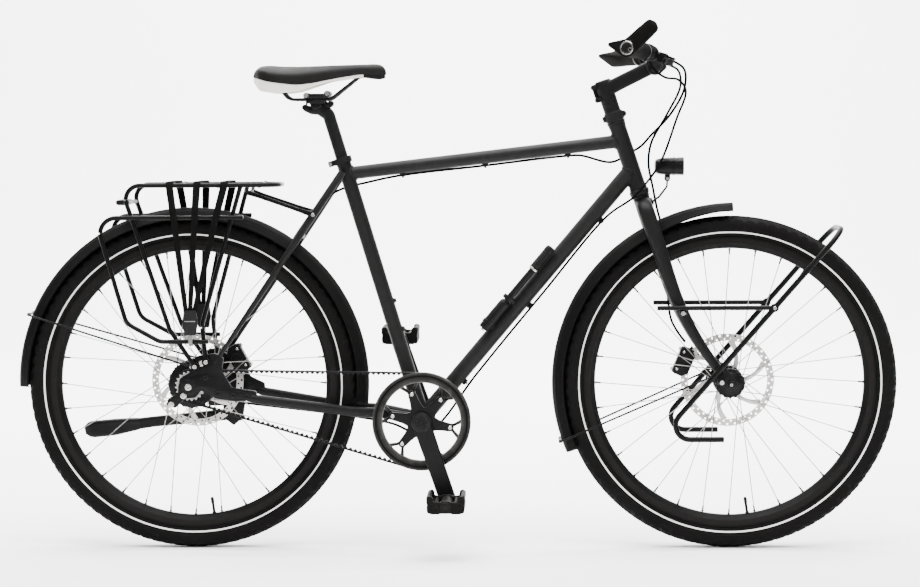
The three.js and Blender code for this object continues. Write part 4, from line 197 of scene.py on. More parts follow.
def oblong(count, power):
    """A rounded square from -1 to 1: cosine and sine raised to 2 / power, with their signs kept."""
    ring = circle(count)
    return np.sign(ring) * np.abs(ring) ** (2.0 / power)


def part(points, along=False):
    """A grid of points [copies, stations, ring, 3], closed round its ring. Its stations are either closed
    to a loop or end in two caps."""
    points = np.asarray(points, float)
    if points.ndim == 3:
        points = points[None]
    return {"points": points, "along": along}


def carried(path, width, height=None, section=None, across=(0, 1, 0), closed=False):
    """A section carried along a path: point + width/2 * x * wide + height/2 * y * high, where wide is
    the across direction made square to the path and high is square to both."""
    path = np.asarray(path, float)
    section = circle(24) if section is None else section
    height = width if height is None else height
    if closed:
        along = np.roll(path, -1, 0) - np.roll(path, 1, 0)
    else:
        steps = np.diff(path, axis=0)
        steps /= np.linalg.norm(steps, axis=1, keepdims=True)
        along = np.concatenate([steps[:1], steps[1:] + steps[:-1], steps[-1:]])
    along /= np.linalg.norm(along, axis=1, keepdims=True)
    wide = np.broadcast_to(np.asarray(across, float), path.shape)
    wide = wide - (wide * along).sum(1, keepdims=True) * along
    wide /= np.linalg.norm(wide, axis=1, keepdims=True)
    high = np.cross(along, wide)
    w = np.broadcast_to(np.asarray(width, float) / 2, (len(path),))[:, None, None]
    h = np.broadcast_to(np.asarray(height, float) / 2, (len(path),))[:, None, None]
    ring = section[None, :, :]
    points = path[:, None] + w * ring[..., :1] * wide[:, None] + h * ring[..., 1:] * high[:, None]
    return part(points, along=closed)


def turned(profile, center, axis, count, closed=False):
    """A profile of [radius, place] pairs turned about an axis through a point."""
    profile = np.asarray(profile, float)
    axis = np.asarray(axis, float) / np.linalg.norm(axis)
    first = np.cross(axis, (0, 0, 1) if abs(axis[2]) < 0.8 else (1, 0, 0))
    first /= np.linalg.norm(first)
    second = np.cross(axis, first)
    ring = circle(count)
    points = (np.asarray(center, float) + profile[:, None, 1:] * axis
              + profile[:, None, :1] * (ring[None, :, :1] * first + ring[None, :, 1:] * second))
    return part(points, along=closed)


def rounded(points, radii, step, closed=False):
    """Corners of a line of points become arcs of a given radius, or of one radius each."""
    points = np.asarray(points, float)
    count = len(points)
    radii = np.broadcast_to(np.asarray(radii, float), (count if closed else count - 2,))
    inner = range(count) if closed else range(1, count - 1)
    path = [] if closed else [points[0]]
    for place, i in enumerate(inner):
        back = points[i - 1] - points[i]
        ahead = points[(i + 1) % count] - points[i]
        back_length = np.linalg.norm(back)
        ahead_length = np.linalg.norm(ahead)
        back = back / back_length
        ahead = ahead / ahead_length
        turn = math.pi - math.acos(np.clip(back @ ahead, -1, 1))
        if turn < 0.02 or radii[place] <= 0:
            path.append(points[i])
            continue
        trim = min(radii[place] * math.tan(turn / 2), 0.48 * min(back_length, ahead_length))
        radius = trim / math.tan(turn / 2)
        inward = ahead - (ahead @ back) * back
        inward /= np.linalg.norm(inward)
        angles = np.linspace(0, turn, max(2, 1 + round(math.degrees(turn) / step)))[:, None]
        path.extend(points[i] + back * trim + inward * radius * (1 - np.cos(angles))
                    - back * radius * np.sin(angles))
    if not closed:
        path.append(points[-1])
    return np.array(path)


def outset(outline, distance):
    """A closed flat outline moved out along the mean of the normals of the two edges at each point."""
    ahead = np.roll(outline, -1, 0) - outline
    ahead /= np.maximum(np.linalg.norm(ahead, axis=1, keepdims=True), 1e-9)
    mean = ahead + np.roll(ahead, 1, 0)
    mean /= np.maximum(np.linalg.norm(mean, axis=1, keepdims=True), 1e-9)
    area = (outline[:, 0] * np.roll(outline[:, 1], -1) - outline[:, 1] * np.roll(outline[:, 0], -1)).sum()
    normal = np.stack([mean[:, 1], -mean[:, 0]], -1) * np.sign(area)
    return outline + distance * normal


def slab(outline, near, far, edge, corner=0.0):
    """A side-view outline of [x, z] points as a plate from one Y to another with eased edges."""
    outline = np.asarray(outline, float)
    if corner:
        outline = rounded(outline, corner, 22.5, closed=True)
    sizes = [(-edge, near), (-0.3 * edge, near + 0.3 * edge), (0.0, near + edge),
             (0.0, far - edge), (-0.3 * edge, far - 0.3 * edge), (-edge, far)]
    rings = []
    for grow, y in sizes:
        flat = outset(outline, grow)
        rings.append(np.stack([flat[:, 0], np.full(len(flat), y), flat[:, 1]], -1))
    return part(np.array(rings))


def box(center, size, edge, turn=None):
    """A block with eased edges: a rounded square swept along X with narrower ends."""
    size = np.asarray(size, float)
    edge = min(edge, 0.3 * size.min())
    corners = np.array([[-1, -1], [1, -1], [1, 1], [-1, 1]]) * size[1:] / 2
    base = rounded(corners, edge, 30, closed=True)
    places = [(-size[0] / 2, -edge), (-size[0] / 2 + 0.3 * edge, -0.3 * edge), (-size[0] / 2 + edge, 0.0),
              (size[0] / 2 - edge, 0.0), (size[0] / 2 - 0.3 * edge, -0.3 * edge), (size[0] / 2, -edge)]
    points = np.array([[(x, y, z) for y, z in outset(base, grow)] for x, grow in places])
    if turn is not None:
        points = points @ np.asarray(turn, float)
    return part(points + np.asarray(center, float))


def placed(shape, offset, turns=None):
    """A part moved by an offset, or copied once for each 3 x 3 matrix of rows X, Y, Z."""
    points = shape["points"]
    if turns is not None:
        points = np.einsum("kmnc,tcd->tkmnd", points, np.asarray(turns, float))
        points = points.reshape((-1,) + points.shape[2:])
    return {**shape, "points": points + np.asarray(offset, float)}


def all_placed(shapes, offset):
    """Several parts moved by the same offset."""
    return [placed(shape, offset) for shape in shapes]


def spins(degrees):
    """Matrices that turn about Y, so that an angle grows from +X towards +Z."""
    angles = np.radians(np.atleast_1d(degrees))
    made = np.zeros((len(angles), 3, 3))
    made[:, 0, 0] = np.cos(angles)
    made[:, 0, 2] = np.sin(angles)
    made[:, 1, 1] = 1.0
    made[:, 2, 0] = -np.sin(angles)
    made[:, 2, 2] = np.cos(angles)
    return made


def mirrored(shape):
    """The same part on the other side of the bicycle's middle plane."""
    return {**shape, "points": shape["points"] * (1, -1, 1)}


def make(name, parts, material, body, *nodes, slot=None, crisp=32.0):
    """One mesh object from parts. Quads join neighbouring rings, a cap closes each open end, and every
    part whose signed volume is negative has its faces turned round."""
    vertices = []
    loops = []
    sizes = []
    base = 0
    for shape in parts:
        points = shape["points"]
        copies, stations, ring, _ = points.shape
        index = np.arange(stations * ring).reshape(stations, ring)
        index = np.concatenate([index, index[:, :1]], 1)
        if shape["along"]:
            index = np.concatenate([index, index[:1]], 0)
        quads = np.stack([index[:-1, :-1], index[1:, :-1], index[1:, 1:], index[:-1, 1:]], -1).reshape(-1, 4)
        flat = points.reshape(copies, -1, 3)
        a, b, c, d = (flat[:, quads[:, i]] for i in range(4))
        volume = (a * np.cross(b, c)).sum((1, 2)) + (a * np.cross(c, d)).sum((1, 2))
        if not shape["along"]:
            for ring_points, way in ((points[:, 0], 1), (points[:, -1], -1)):
                middle = ring_points.mean(1, keepdims=True)
                volume += way * (middle * np.cross(ring_points, np.roll(ring_points, -1, 1))).sum((1, 2))
        inside_out = volume < 0
        for flipped in (False, True):
            starts = base + np.flatnonzero(inside_out == flipped) * stations * ring
            if not len(starts):
                continue
            order = quads[:, ::-1] if flipped else quads
            loops.append((starts[:, None, None] + order).ravel())
            sizes.append(np.full(len(starts) * len(quads), 4))
            if not shape["along"]:
                first = np.arange(ring)
                last = (stations - 1) * ring + first[::-1]
                ends = np.stack([first, last])
                ends = ends[:, ::-1] if flipped else ends
                loops.append((starts[:, None, None] + ends).ravel())
                sizes.append(np.full(len(starts) * 2, ring))
        vertices.append(flat.reshape(-1, 3))
        base += copies * stations * ring
    vertices = (np.concatenate(vertices) + (shift_x, 0.0, 0.0)) / 1000.0
    loops = np.concatenate(loops)
    sizes = np.concatenate(sizes)
    mesh = bpy.data.meshes.new(name)
    mesh.vertices.add(len(vertices))
    mesh.vertices.foreach_set("co", vertices.ravel())
    mesh.loops.add(len(loops))
    mesh.loops.foreach_set("vertex_index", loops.astype(np.int32))
    mesh.polygons.add(len(sizes))
    mesh.polygons.foreach_set("loop_start", (np.cumsum(sizes) - sizes).astype(np.int32))
    mesh.update(calc_edges=True)
    mesh.validate()
    mesh.polygons.foreach_set("use_smooth", np.ones(len(mesh.polygons), bool))
    mesh.set_sharp_from_angle(angle=math.radians(crisp))
    mesh.materials.append(material)
    obj = bpy.data.objects.new(name, mesh)
    bpy.context.collection.objects.link(obj)
    if body:
        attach(obj, body)
    if nodes:
        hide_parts(*nodes)
    return obj


def node_group(name, inputs, outputs):
    """An empty shader node group with named float inputs and outputs."""
    group = bpy.data.node_groups.new(name, "ShaderNodeTree")
    for label, value in inputs:
        group.interface.new_socket(label, in_out="INPUT", socket_type="NodeSocketFloat").default_value = value
    for label in outputs:
        group.interface.new_socket(label, in_out="OUTPUT", socket_type="NodeSocketFloat")
    return group, group.nodes.new("NodeGroupInput"), group.nodes.new("NodeGroupOutput")


def grain_group():
    """Fine surface grain: a small noise for height, a broad soft noise for uneven shine."""
    group, given, result = node_group("surface_grain", [("Scale", 900.0)], ["Height", "Patch"])
    place = group.nodes.new("ShaderNodeTexCoord")
    fine = group.nodes.new("ShaderNodeTexNoise")
    fine.inputs["Detail"].default_value = 3.0
    broad = group.nodes.new("ShaderNodeTexNoise")
    broad.inputs["Scale"].default_value = 14.0
    broad.inputs["Detail"].default_value = 4.0
    link = group.links.new
    link(place.outputs["Object"], fine.inputs["Vector"])
    link(place.outputs["Object"], broad.inputs["Vector"])
    link(given.outputs["Scale"], fine.inputs["Scale"])
    link(fine.outputs["Fac"], result.inputs["Height"])
    link(broad.outputs["Fac"], result.inputs["Patch"])
    return group


def wear_group():
    """Edge wear: the surface's pointiness, sharpened and broken up by noise, is 1 on worn edges."""
    group, given, result = node_group("edge_wear", [("Amount", 0.5)], ["Mask"])
    shape = group.nodes.new("ShaderNodeNewGeometry")
    ramp = group.nodes.new("ShaderNodeMapRange")
    ramp.inputs["From Min"].default_value = 0.53
    ramp.inputs["From Max"].default_value = 0.62
    place = group.nodes.new("ShaderNodeTexCoord")
    noise = group.nodes.new("ShaderNodeTexNoise")
    noise.inputs["Scale"].default_value = 60.0
    broken = group.nodes.new("ShaderNodeMath")
    broken.operation = "MULTIPLY"
    scaled = group.nodes.new("ShaderNodeMath")
    scaled.operation = "MULTIPLY"
    link = group.links.new
    link(shape.outputs["Pointiness"], ramp.inputs["Value"])
    link(place.outputs["Object"], noise.inputs["Vector"])
    link(ramp.outputs["Result"], broken.inputs[0])
    link(noise.outputs["Fac"], broken.inputs[1])
    link(broken.outputs["Value"], scaled.inputs[0])
    link(given.outputs["Amount"], scaled.inputs[1])
    link(scaled.outputs["Value"], result.inputs["Mask"])
    return group


grain = grain_group()
wear = wear_group()


def coat(name, color, roughness, metallic, scale, bump, spread, worn=None, wear_amount=0.5, gloss=None):
    """A material: grain drives the bump and the shine, and worn edges show a second colour."""
    material = bpy.data.materials.new(name)
    material.use_nodes = True
    tree = material.node_tree
    link = tree.links.new
    shader = tree.nodes["Principled BSDF"]
    shader.inputs["Base Color"].default_value = (*color, 1)
    shader.inputs["Metallic"].default_value = metallic
    if gloss is None:
        gloss = 0.5 if max(color) > 0.1 else 0.1
    shader.inputs["Specular IOR Level"].default_value = gloss
    texture = tree.nodes.new("ShaderNodeGroup")
    texture.node_tree = grain
    texture.inputs["Scale"].default_value = scale
    shine = tree.nodes.new("ShaderNodeMapRange")
    shine.inputs["From Min"].default_value = 0.3
    shine.inputs["From Max"].default_value = 0.7
    shine.inputs["To Min"].default_value = max(0.03, roughness - spread)
    shine.inputs["To Max"].default_value = min(1.0, roughness + spread)
    relief = tree.nodes.new("ShaderNodeBump")
    relief.inputs["Strength"].default_value = 0.6
    relief.inputs["Distance"].default_value = bump / 1000.0
    link(texture.outputs["Patch"], shine.inputs["Value"])
    link(shine.outputs["Result"], shader.inputs["Roughness"])
    link(texture.outputs["Height"], relief.inputs["Height"])
    link(relief.outputs["Normal"], shader.inputs["Normal"])
    if worn:
        edges = tree.nodes.new("ShaderNodeGroup")
        edges.node_tree = wear
        edges.inputs["Amount"].default_value = wear_amount
        mix = tree.nodes.new("ShaderNodeMix")
        mix.data_type = "RGBA"
        mix.inputs["A"].default_value = (*color, 1)
        mix.inputs["B"].default_value = (*worn, 1)
        link(edges.outputs["Mask"], mix.inputs["Factor"])
        link(mix.outputs["Result"], shader.inputs["Base Color"])
    return material


frame_paint = coat("matt_black_powder_coat", BLACK_PAINT, 0.5, 0.0, 1500.0, 0.06, 0.06, (0.02, 0.02, 0.02),
                   0.6, gloss=0.12)
steel = coat("bright_steel", (0.5, 0.49, 0.48), 0.24, 1.0, 700.0, 0.01, 0.08)
dark_alloy = coat("black_anodised_alloy", (0.0045, 0.0045, 0.0047), 0.45, 0.0, 1200.0, 0.02, 0.08,
                  (0.03, 0.03, 0.03), 0.6, gloss=0.08)
frame_plastic = coat("black_plastic", (0.004, 0.004, 0.004), 0.46, 0.0, 1000.0, 0.04, 0.08)


def wall_curve(start, end, diameter, other_start, other_end, other_diameter, enters, count):
    """Where one tube's wall meets another's: for each angle round the first tube, the distance along it
    at which it comes to the other's radius, from the quadratic of that cylinder. The curve is a ring."""
    start = np.asarray(start, float)
    along = (end - start) / np.linalg.norm(end - start)
    other = (other_end - other_start) / np.linalg.norm(other_end - other_start)
    wide = left - (left @ along) * along
    wide /= np.linalg.norm(wide)
    high = np.cross(along, wide)
    ring = circle(count)
    wall = start + diameter / 2 * (ring[:, :1] * wide + ring[:, 1:] * high)
    gap = wall - other_start
    flat_gap = gap - (gap @ other)[:, None] * other
    flat_way = along - (along @ other) * other
    a = flat_way @ flat_way
    b = 2 * flat_gap @ flat_way
    c = (flat_gap ** 2).sum(1) - (other_diameter / 2) ** 2
    root = np.sqrt(np.maximum(b * b - 4 * a * c, 0.0))
    reach = (-b - root) / (2 * a) if enters else (-b + root) / (2 * a)
    return wall + reach[:, None] * along


def mitred(start, end, diameter, leaves, enters):
    """A round tube cut to fit the tube that it leaves and the tube that it enters."""
    first = wall_curve(start, end, diameter, *leaves, False, 72)
    last = wall_curve(start, end, diameter, *enters, True, 72)
    return part(np.array([first, last]))


def weld(start, end, diameter, other, enters=False):
    """A rippled bead along the curve where two tubes meet."""
    path = wall_curve(start, end, diameter, *other, enters, 180)
    ripple = 2 * WELD_RADIUS * (1 + 0.07 * np.cos(WELD_RIPPLES * 2 * np.pi * np.arange(180) / 180))
    return carried(path, ripple, section=circle(10), across=end - start, closed=True)


head_length = 150.0
crown_to_head = 458.0
head_top = crown_to_head + head_length
head_low = on_steering(0, 0, crown_to_head)
head_high = on_steering(0, 0, head_top)
top_from = on_seat(592.0 - 35.0)
top_to = on_steering(0, 0, head_top - 39.0)
down_to = on_steering(0, 0, crown_to_head + 46.0)
down_along = (down_to - bracket) / np.linalg.norm(down_to - bracket)
down_normal = np.array([-down_along[2], 0.0, down_along[0]])
top_along = (top_to - top_from) / np.linalg.norm(top_to - top_from)
top_down = np.array([top_along[2], 0.0, -top_along[0]])
seat_foot = on_seat(0.0)
seat_head = on_seat(592.0)


def bolt_head(place, way, diameter, height):
    """A bolt head whose top is dished to a six-sided well, as one closed surface."""
    way = np.asarray(way, float) / np.linalg.norm(way)
    r = diameter / 2
    profile = [(r * 0.9, 0), (r, 0.3), (r, height - 0.7), (r - 0.6, height), (0.55 * r, height),
               (0.5 * r, height - 0.25), (0.46 * r, 0.4 * height)]
    return turned(profile, place, way, 30)


def guide(at, along, away):
    """A hose guide: a saddle block with a bolt through it, square to the tube."""
    across = np.cross(away, along)
    turn = np.array([along, across, away])
    body = box((0, 0, 0), (14, 6, 9), 1.6, turn)
    ear = box((0, 0, 3.6), (9, 13, 2.2), 0.8, turn)
    return [placed(body, at), placed(ear, at), bolt_head(at + away * 4.0, away, 5, 3.4)]


def frame_triangle():
    """Head tube, top tube, down tube, seat tube and shell with their beads."""
    head = turned([(15.2, -13.6), (18.0, -14), (20.6, -11), (21.5, -8), (21.5, -1.2), (20.9, -0.4),
                   (19.2, 0.2),
                   (19.2, 5), (18.4, 7.5), (18, 9), (18, head_length - 9), (18.4, head_length - 7.5),
                   (19.0, head_length - 5), (19.0, head_length - 0.2), (20, head_length + 0.6),
                   (20, head_length + 5.2), (19.2, head_length + 6), (15.2, head_length + 6)],
                  head_low, head_up, 64, closed=True)
    make("head_tube_fine", [head], frame_paint, "frame", "head_tube", slot="frame_paint")
    head_wall = (head_low, head_high, HEAD_TUBE)
    seat_wall = (seat_foot, seat_head, SEAT_TUBE)
    shell_wall = (bracket - 40 * left, bracket + 40 * left, SHELL_TUBE)
    top = mitred(top_from, top_to, TOP_TUBE, seat_wall, head_wall)
    beads = [weld(top_from, top_to, TOP_TUBE, head_wall, True), weld(top_from, top_to, TOP_TUBE, seat_wall)]
    guides = []
    for share in (0.2, 0.5, 0.8):
        guides += guide(top_from + (top_to - top_from) * share + top_down * 15.8, top_along, top_down)
    make("top_tube_fine", [top, *beads], frame_paint, "frame", "top_tube", slot="frame_paint")
    make("top_tube_guides", guides, frame_plastic, "frame", slot="frame_paint")
    down = mitred(bracket, down_to, DOWN_TUBE, shell_wall, head_wall)
    beads = [weld(bracket, down_to, DOWN_TUBE, head_wall, True),
             weld(bracket, down_to, DOWN_TUBE, shell_wall)]
    guides = []
    for share in (0.17, 0.48, 0.82):
        guides += guide(bracket + (down_to - bracket) * share - down_normal * 18.95, down_along, -down_normal)
    make("down_tube_fine", [down, *beads], frame_paint, "frame", "down_tube", slot="frame_paint")
    make("down_tube_guides", guides, frame_plastic, "frame", slot="frame_paint")
    seat = turned([(14.0, 13.6), (15.9, 13.6), (15.9, 578), (16.6, 582), (16.6, 591.4), (16.1, 592),
                   (14.0, 592)],
                  bracket, seat_up, 56, closed=True)
    beads = [weld(bracket, seat_head, SEAT_TUBE, shell_wall)]
    bosses = []
    for height in (264.0, 200.0):
        bosses.append(turned([(5.6, -1), (5.6, 1.2), (5.0, 2.0), (5.0, 3.0)], on_seat(height, 15.9),
                             seat_forward, 24))
    make("seat_tube_fine", [seat, *beads, *bosses], frame_paint, "frame", "seat_tube", slot="frame_paint")
    screws = [bolt_head(on_seat(height, 17.6), seat_forward, 8, 3.2) for height in (264.0, 200.0)]
    make("bottle_screws", screws, dark_alloy, "frame", slot="black_alloy")
    shell = turned([(12.6, -36.4), (20.2, -36.4), (21, -35.6), (21, 35.6), (20.2, 36.4), (12.6, 36.4)],
                   bracket, left, 64, closed=True)
    cups = [turned([(12.8, 35.9 * s), (20.4, 35.9 * s), (20.4, 39.0 * s), (18.4, 40.6 * s), (12.8, 40.6 * s)],
                   bracket, left, 24, closed=True) for s in (-1, 1)]
    make("bottom_bracket_fine", [shell], frame_paint, "frame", "bottom_bracket_shell", slot="frame_paint")
    make("bottom_bracket_cups", cups, dark_alloy, "frame", slot="black_alloy")


frame_triangle()


# The rear triangle: two chainstays pressed oval beside the tire, two slim seatstays with a bridge tube,
# all welded and painted like the frame and slotted over the dropout plates.
plate_y = 67.8
plate_thick = 9.0
plate_middle = plate_y + plate_thick / 2
PLATE_LENGTH = 146.0
PLATE_HEIGHT = 72.0
BRIDGE_RADIUS = 398.0
seatstay_top = on_seat(562.0, -8.0) - rear_axle
seatstay_foot = np.array([0.42 * PLATE_LENGTH, 0.0, 0.8 * PLATE_HEIGHT])
seatstay_length = np.linalg.norm(seatstay_top - seatstay_foot)


def seatstay_at(z, side):
    """The seatstay's centre line by height above the axle: straight to its bend, then in to the top."""
    share = (z - seatstay_foot[2]) / (seatstay_top[2] - seatstay_foot[2])
    bend = 1 - 95.0 / seatstay_length
    y = np.where(share < bend, plate_middle + (43.0 - plate_middle) * share / bend,
                 43.0 + (23.0 - 43.0) * (share - bend) / (1 - bend))
    x = seatstay_foot[0] + share * (seatstay_top[0] - seatstay_foot[0])
    return np.array([float(x), side * float(y), float(z)])


def rear_triangle():
    """Stays, bridge and eyelets, one mesh for each CAD stay."""
    shell = bracket - rear_axle
    bend = seatstay_foot[2] + (seatstay_top[2] - seatstay_foot[2]) * (1 - 95.0 / seatstay_length)
    height = 318.0
    bridge = seatstay_at(height, 1)
    while math.hypot(bridge[0], height) < BRIDGE_RADIUS:
        height += 1.0
        bridge = seatstay_at(height, 1)
    for side, word in ((-1, "right"), (1, "left")):
        path = rounded([(shell[0] - 4, side * 20, shell[2]), (shell[0] - 92, side * 39.5, shell[2] + 16),
                        (shell[0] - 150, side * 39.5, shell[2] + 19), (136.0, side * plate_middle, -26.0),
                        (124.0, side * plate_middle, -25.4)], (70, 60, 5), 8)
        share = np.linspace(0, 1, len(path))
        width = np.interp(share, [0, 0.35, 0.6, 0.85, 0.97, 1], [22, 14, 14, 17, 16, 9])
        tall = np.interp(share, [0, 0.35, 0.6, 0.85, 0.97, 1], [22, 22, 22, 17, 16, 12])
        stay = placed(carried(path, width, tall, oblong(36, 2.4)), rear_axle)
        bead = placed(carried(np.array([(shell[0] - 15.5, side * 22.6, shell[2] + 2.5) + 12.0 *
                                        np.array([0.25 * c * side, -0.4 * c, s]) for c, s in circle(40)]),
                              2 * WELD_RADIUS, section=circle(8), across=(1, 0, 0), closed=True), rear_axle)
        make("chainstay_%s_fine" % word, [stay, bead], frame_paint, "frame", "chainstay_%s" % word,
             slot="frame_paint")
        foot = seatstay_at(seatstay_foot[2] - 8, side)
        path = rounded([foot, seatstay_at(bend, side), seatstay_at(seatstay_top[2] + 2, side)], 160, 3)
        share = np.linspace(0, 1, len(path))
        size = np.interp(share, [0, 0.01, 0.03, 1], [9, 13, 16, 16])
        pieces = [placed(carried(path, size, section=circle(32), across=(1, 0, 0)), rear_axle)]
        behind = np.array([-(seatstay_top - seatstay_foot)[2], 0.0, (seatstay_top - seatstay_foot)[0]])
        behind /= np.linalg.norm(behind)
        eyelet = seatstay_at(368.0, side)
        pieces.append(placed(turned([(5.0, 0), (6, 7), (6, 11.4), (5.4, 12)], eyelet, behind, 24), rear_axle))
        if side < 0:
            reach = bridge[1] - 7.0
            pieces.append(placed(turned([(6.0, -reach), (6.0, reach)], (bridge[0], 0, bridge[2]), left, 32),
                                 rear_axle))
            pieces += [placed(turned([(6.0, s * (reach - 3.4)), (7.8, s * (reach - 1.4)), (8.2, s * reach),
                                      (6.0, s * (reach + 1))], (bridge[0], 0, bridge[2]), left, 28,
                                     closed=True),
                              rear_axle) for s in (-1, 1)]
        make("seatstay_%s_fine" % word, pieces, frame_paint, "frame", "seatstay_%s" % word,
             slot="frame_paint")


rear_triangle()


# The dropouts: thick black alloy plates, each with a raised slider on its face and socket bolts, some of
# them bright. The left one also carries the rear brake's adapter and the boss of the kickstand.
RIGHT_PLATE = [
    (-0.16, -0.07), (-0.13, 0.25), (0.02, 0.42), (0.04, 0.78), (0.14, 0.93), (0.4, 1), (0.52, 0.86),
    (0.49, 0.46),
    (0.64, -0.03), (1, -0.14), (1.01, -0.42), (0.68, -0.44), (0.4, -0.36), (0.18, -0.1), (0.1, -0.33),
    (-0.06, -0.36), (-0.2, -0.64), (-0.34, -0.56), (-0.31, -0.36), (-0.16, -0.2)]
LEFT_PLATE = [
    (-0.16, -0.07), (-0.13, 0.25), (0.02, 0.42), (0.04, 0.78), (0.14, 0.93), (0.4, 1), (0.56, 0.86),
    (0.72, 0.5),
    (0.78, 0.1), (1, -0.12), (1.01, -0.42), (0.72, -0.5), (0.66, -1.2), (0.52, -1.44), (0.38, -1.2),
    (0.34, -0.4), (0.1, -0.33), (-0.06, -0.33)]
RIGHT_BOLTS = [(0.26, 0.28), (0.43, -0.2), (0.66, -0.26), (0.86, -0.29), (0.19, 0.71), (-0.265, -0.53),
               (-0.08, -0.27)]
LEFT_BOLTS = [(0.26, 0.28), (0.43, -0.2), (0.86, -0.29)]
BRIGHT_BOLTS = {4, 5, 6}
KICK_DROP = math.radians(5.6)
KICK_TILT = math.radians(20.6)
kick_foot = rear_axle + (73.0, 76.8, -86.0)
kick_forward = np.array([math.cos(KICK_DROP), 0.0, math.sin(KICK_DROP)])
kick_out = np.array([-math.sin(KICK_DROP) * math.sin(KICK_TILT), math.cos(KICK_TILT),
                     math.cos(KICK_DROP) * math.sin(KICK_TILT)])


def dropout(side, word, shares, bolts):
    """A plate with eased edges, a raised slider on its face, and its bolts."""
    scale = np.array([PLATE_LENGTH, PLATE_HEIGHT])
    near, far = plate_y, plate_y + plate_thick
    plate = slab(np.array(shares) * scale, near, far, 0.9, 5.0)
    slider = slab(np.array([(-0.12, -0.16), (-0.12, 0.16), (0.0, 0.28), (0.18, 0.36), (0.46, 0.34),
                            (0.56, -0.08),
                            (0.94, -0.2), (0.94, -0.36), (0.66, -0.36), (0.42, -0.3), (0.2, -0.02),
                            (0.06, -0.24)]) * scale, far - 1, far + 2.2, 0.7, 4.0)
    pieces = [plate, slider]
    if side > 0:
        pieces.append(box((0.3 * PLATE_LENGTH, 65.0, -0.62 * PLATE_HEIGHT), (46, 18, 26), 3))
        pieces = all_placed(pieces, rear_axle)
        pieces.append(turned([(9.0, -4.4), (12.0, -4.4), (12.0, 6.9), (11.3, 7.7), (9.0, 7.7)], kick_foot,
                             kick_out, 44))
    else:
        pieces = [mirrored(placed(shape, rear_axle)) for shape in pieces]
    make("dropout_%s_fine" % word, pieces, dark_alloy, "frame", "dropout_%s" % word, slot="black_alloy")
    for bright, coating in ((True, steel), (False, dark_alloy)):
        chosen = [point for i, point in enumerate(bolts) if (i in BRIGHT_BOLTS) == bright]
        heads = []
        for x, z in chosen:
            at = from_rear(x * PLATE_LENGTH, side * (far + (1.8 if not bright else -0.4)), z * PLATE_HEIGHT)
            heads.append(turned([(6.6, -0.2), (6.6, 0.7), (6.2, 0.9), (4.2, 0.9)], at, side * left, 28))
            heads.append(bolt_head(at, side * left, 9.6, 3.4))
        if heads:
            make("dropout_%s_%s_bolts" % (word, "bright" if bright else "black"), heads, coating, "frame",
                 slot="silver_steel" if bright else "black_alloy")


dropout(-1, "right", RIGHT_PLATE, RIGHT_BOLTS)
dropout(1, "left", LEFT_PLATE, LEFT_BOLTS)


def axle_ends():
    """The rear axle: spacers inside the plates, stepped black washers and bright hexagon ends outside."""
    face = plate_y + plate_thick + 0.3
    black = [turned([(6.0, -face - 4), (6.0, face + 4)], rear_axle, left, 32)]
    bright = []
    for side in (-1, 1):
        black.append(turned([(6.2, side * face), (16.5, side * face), (16.5, side * (face + 2.6)),
                             (15.6, side * (face + 3.4)), (11.5, side * (face + 4)),
                             (6.2, side * (face + 4))],
                            rear_axle, left, 48, closed=True))
        bright.append(turned([(7.6, 0), (7.6, 3.4), (6.9, 4.6), (3.6, 4.8), (3.4, 1.5), (0.8, 1.2)],
                             from_rear(0, side * (face + 3.6), 0), side * left, 36))
    black.append(turned([(6.2, -67.4), (11.7, -67.4), (11.7, -48.8), (6.2, -48.8)], rear_axle, left, 40,
                        closed=True))
    black.append(turned([(6.2, 55.1), (11.7, 55.1), (11.7, 67.4), (6.2, 67.4)], rear_axle, left, 40,
                        closed=True))
    make("rear_axle_fine", black, dark_alloy, "frame", "rear_axle", slot="black_alloy")
    make("rear_axle_ends", bright, steel, "frame", slot="silver_steel")


axle_ends()


# The seat clamp: a split black alloy band round the head of the seat tube, drawn together by a bolt that
# crosses the two ears behind it.
def seat_clamp():
    """Band, two ears behind it and a cross bolt."""
    base = on_seat(580.0)
    band = turned([(16.2, 0.4), (19.4, 0.4), (19.8, 1), (19.8, 13), (19.4, 13.6), (16.2, 13.6)], base,
                  seat_up, 56, closed=True)
    turn = np.array([seat_forward, left, seat_up])
    ears = [box(np.array((-24.5, s * 5.6, 7.0)) @ turn + base, (15, 7.0, 12), 1.4, turn) for s in (-1, 1)]
    barrel = turned([(4.6, -11.6), (5, -11), (5, 11), (4.6, 11.6)], on_seat(587.0, -27.2), left, 28)
    make("seat_clamp_fine", [band, *ears, barrel], dark_alloy, "frame", "seat_clamp", slot="black_alloy")
    make("seat_clamp_bolt", [bolt_head(on_seat(587.0, -27.2, -11.4), -left, 7.4, 2.4)], steel, "frame",
         slot="silver_steel")


seat_clamp()


# The tires: 50 mm wide rubber casings, moulded with blocks on the crown and square lugs at the shoulder,
# a ribbed side wall and a narrow white reflecting line pressed into it.
TREAD_STEPS = 540
TREAD_PITCHES = 90
TREAD_DEPTH = 2.6
STRIPE_RADIUS = 325.6
STRIPE_WIDTH = 3.4


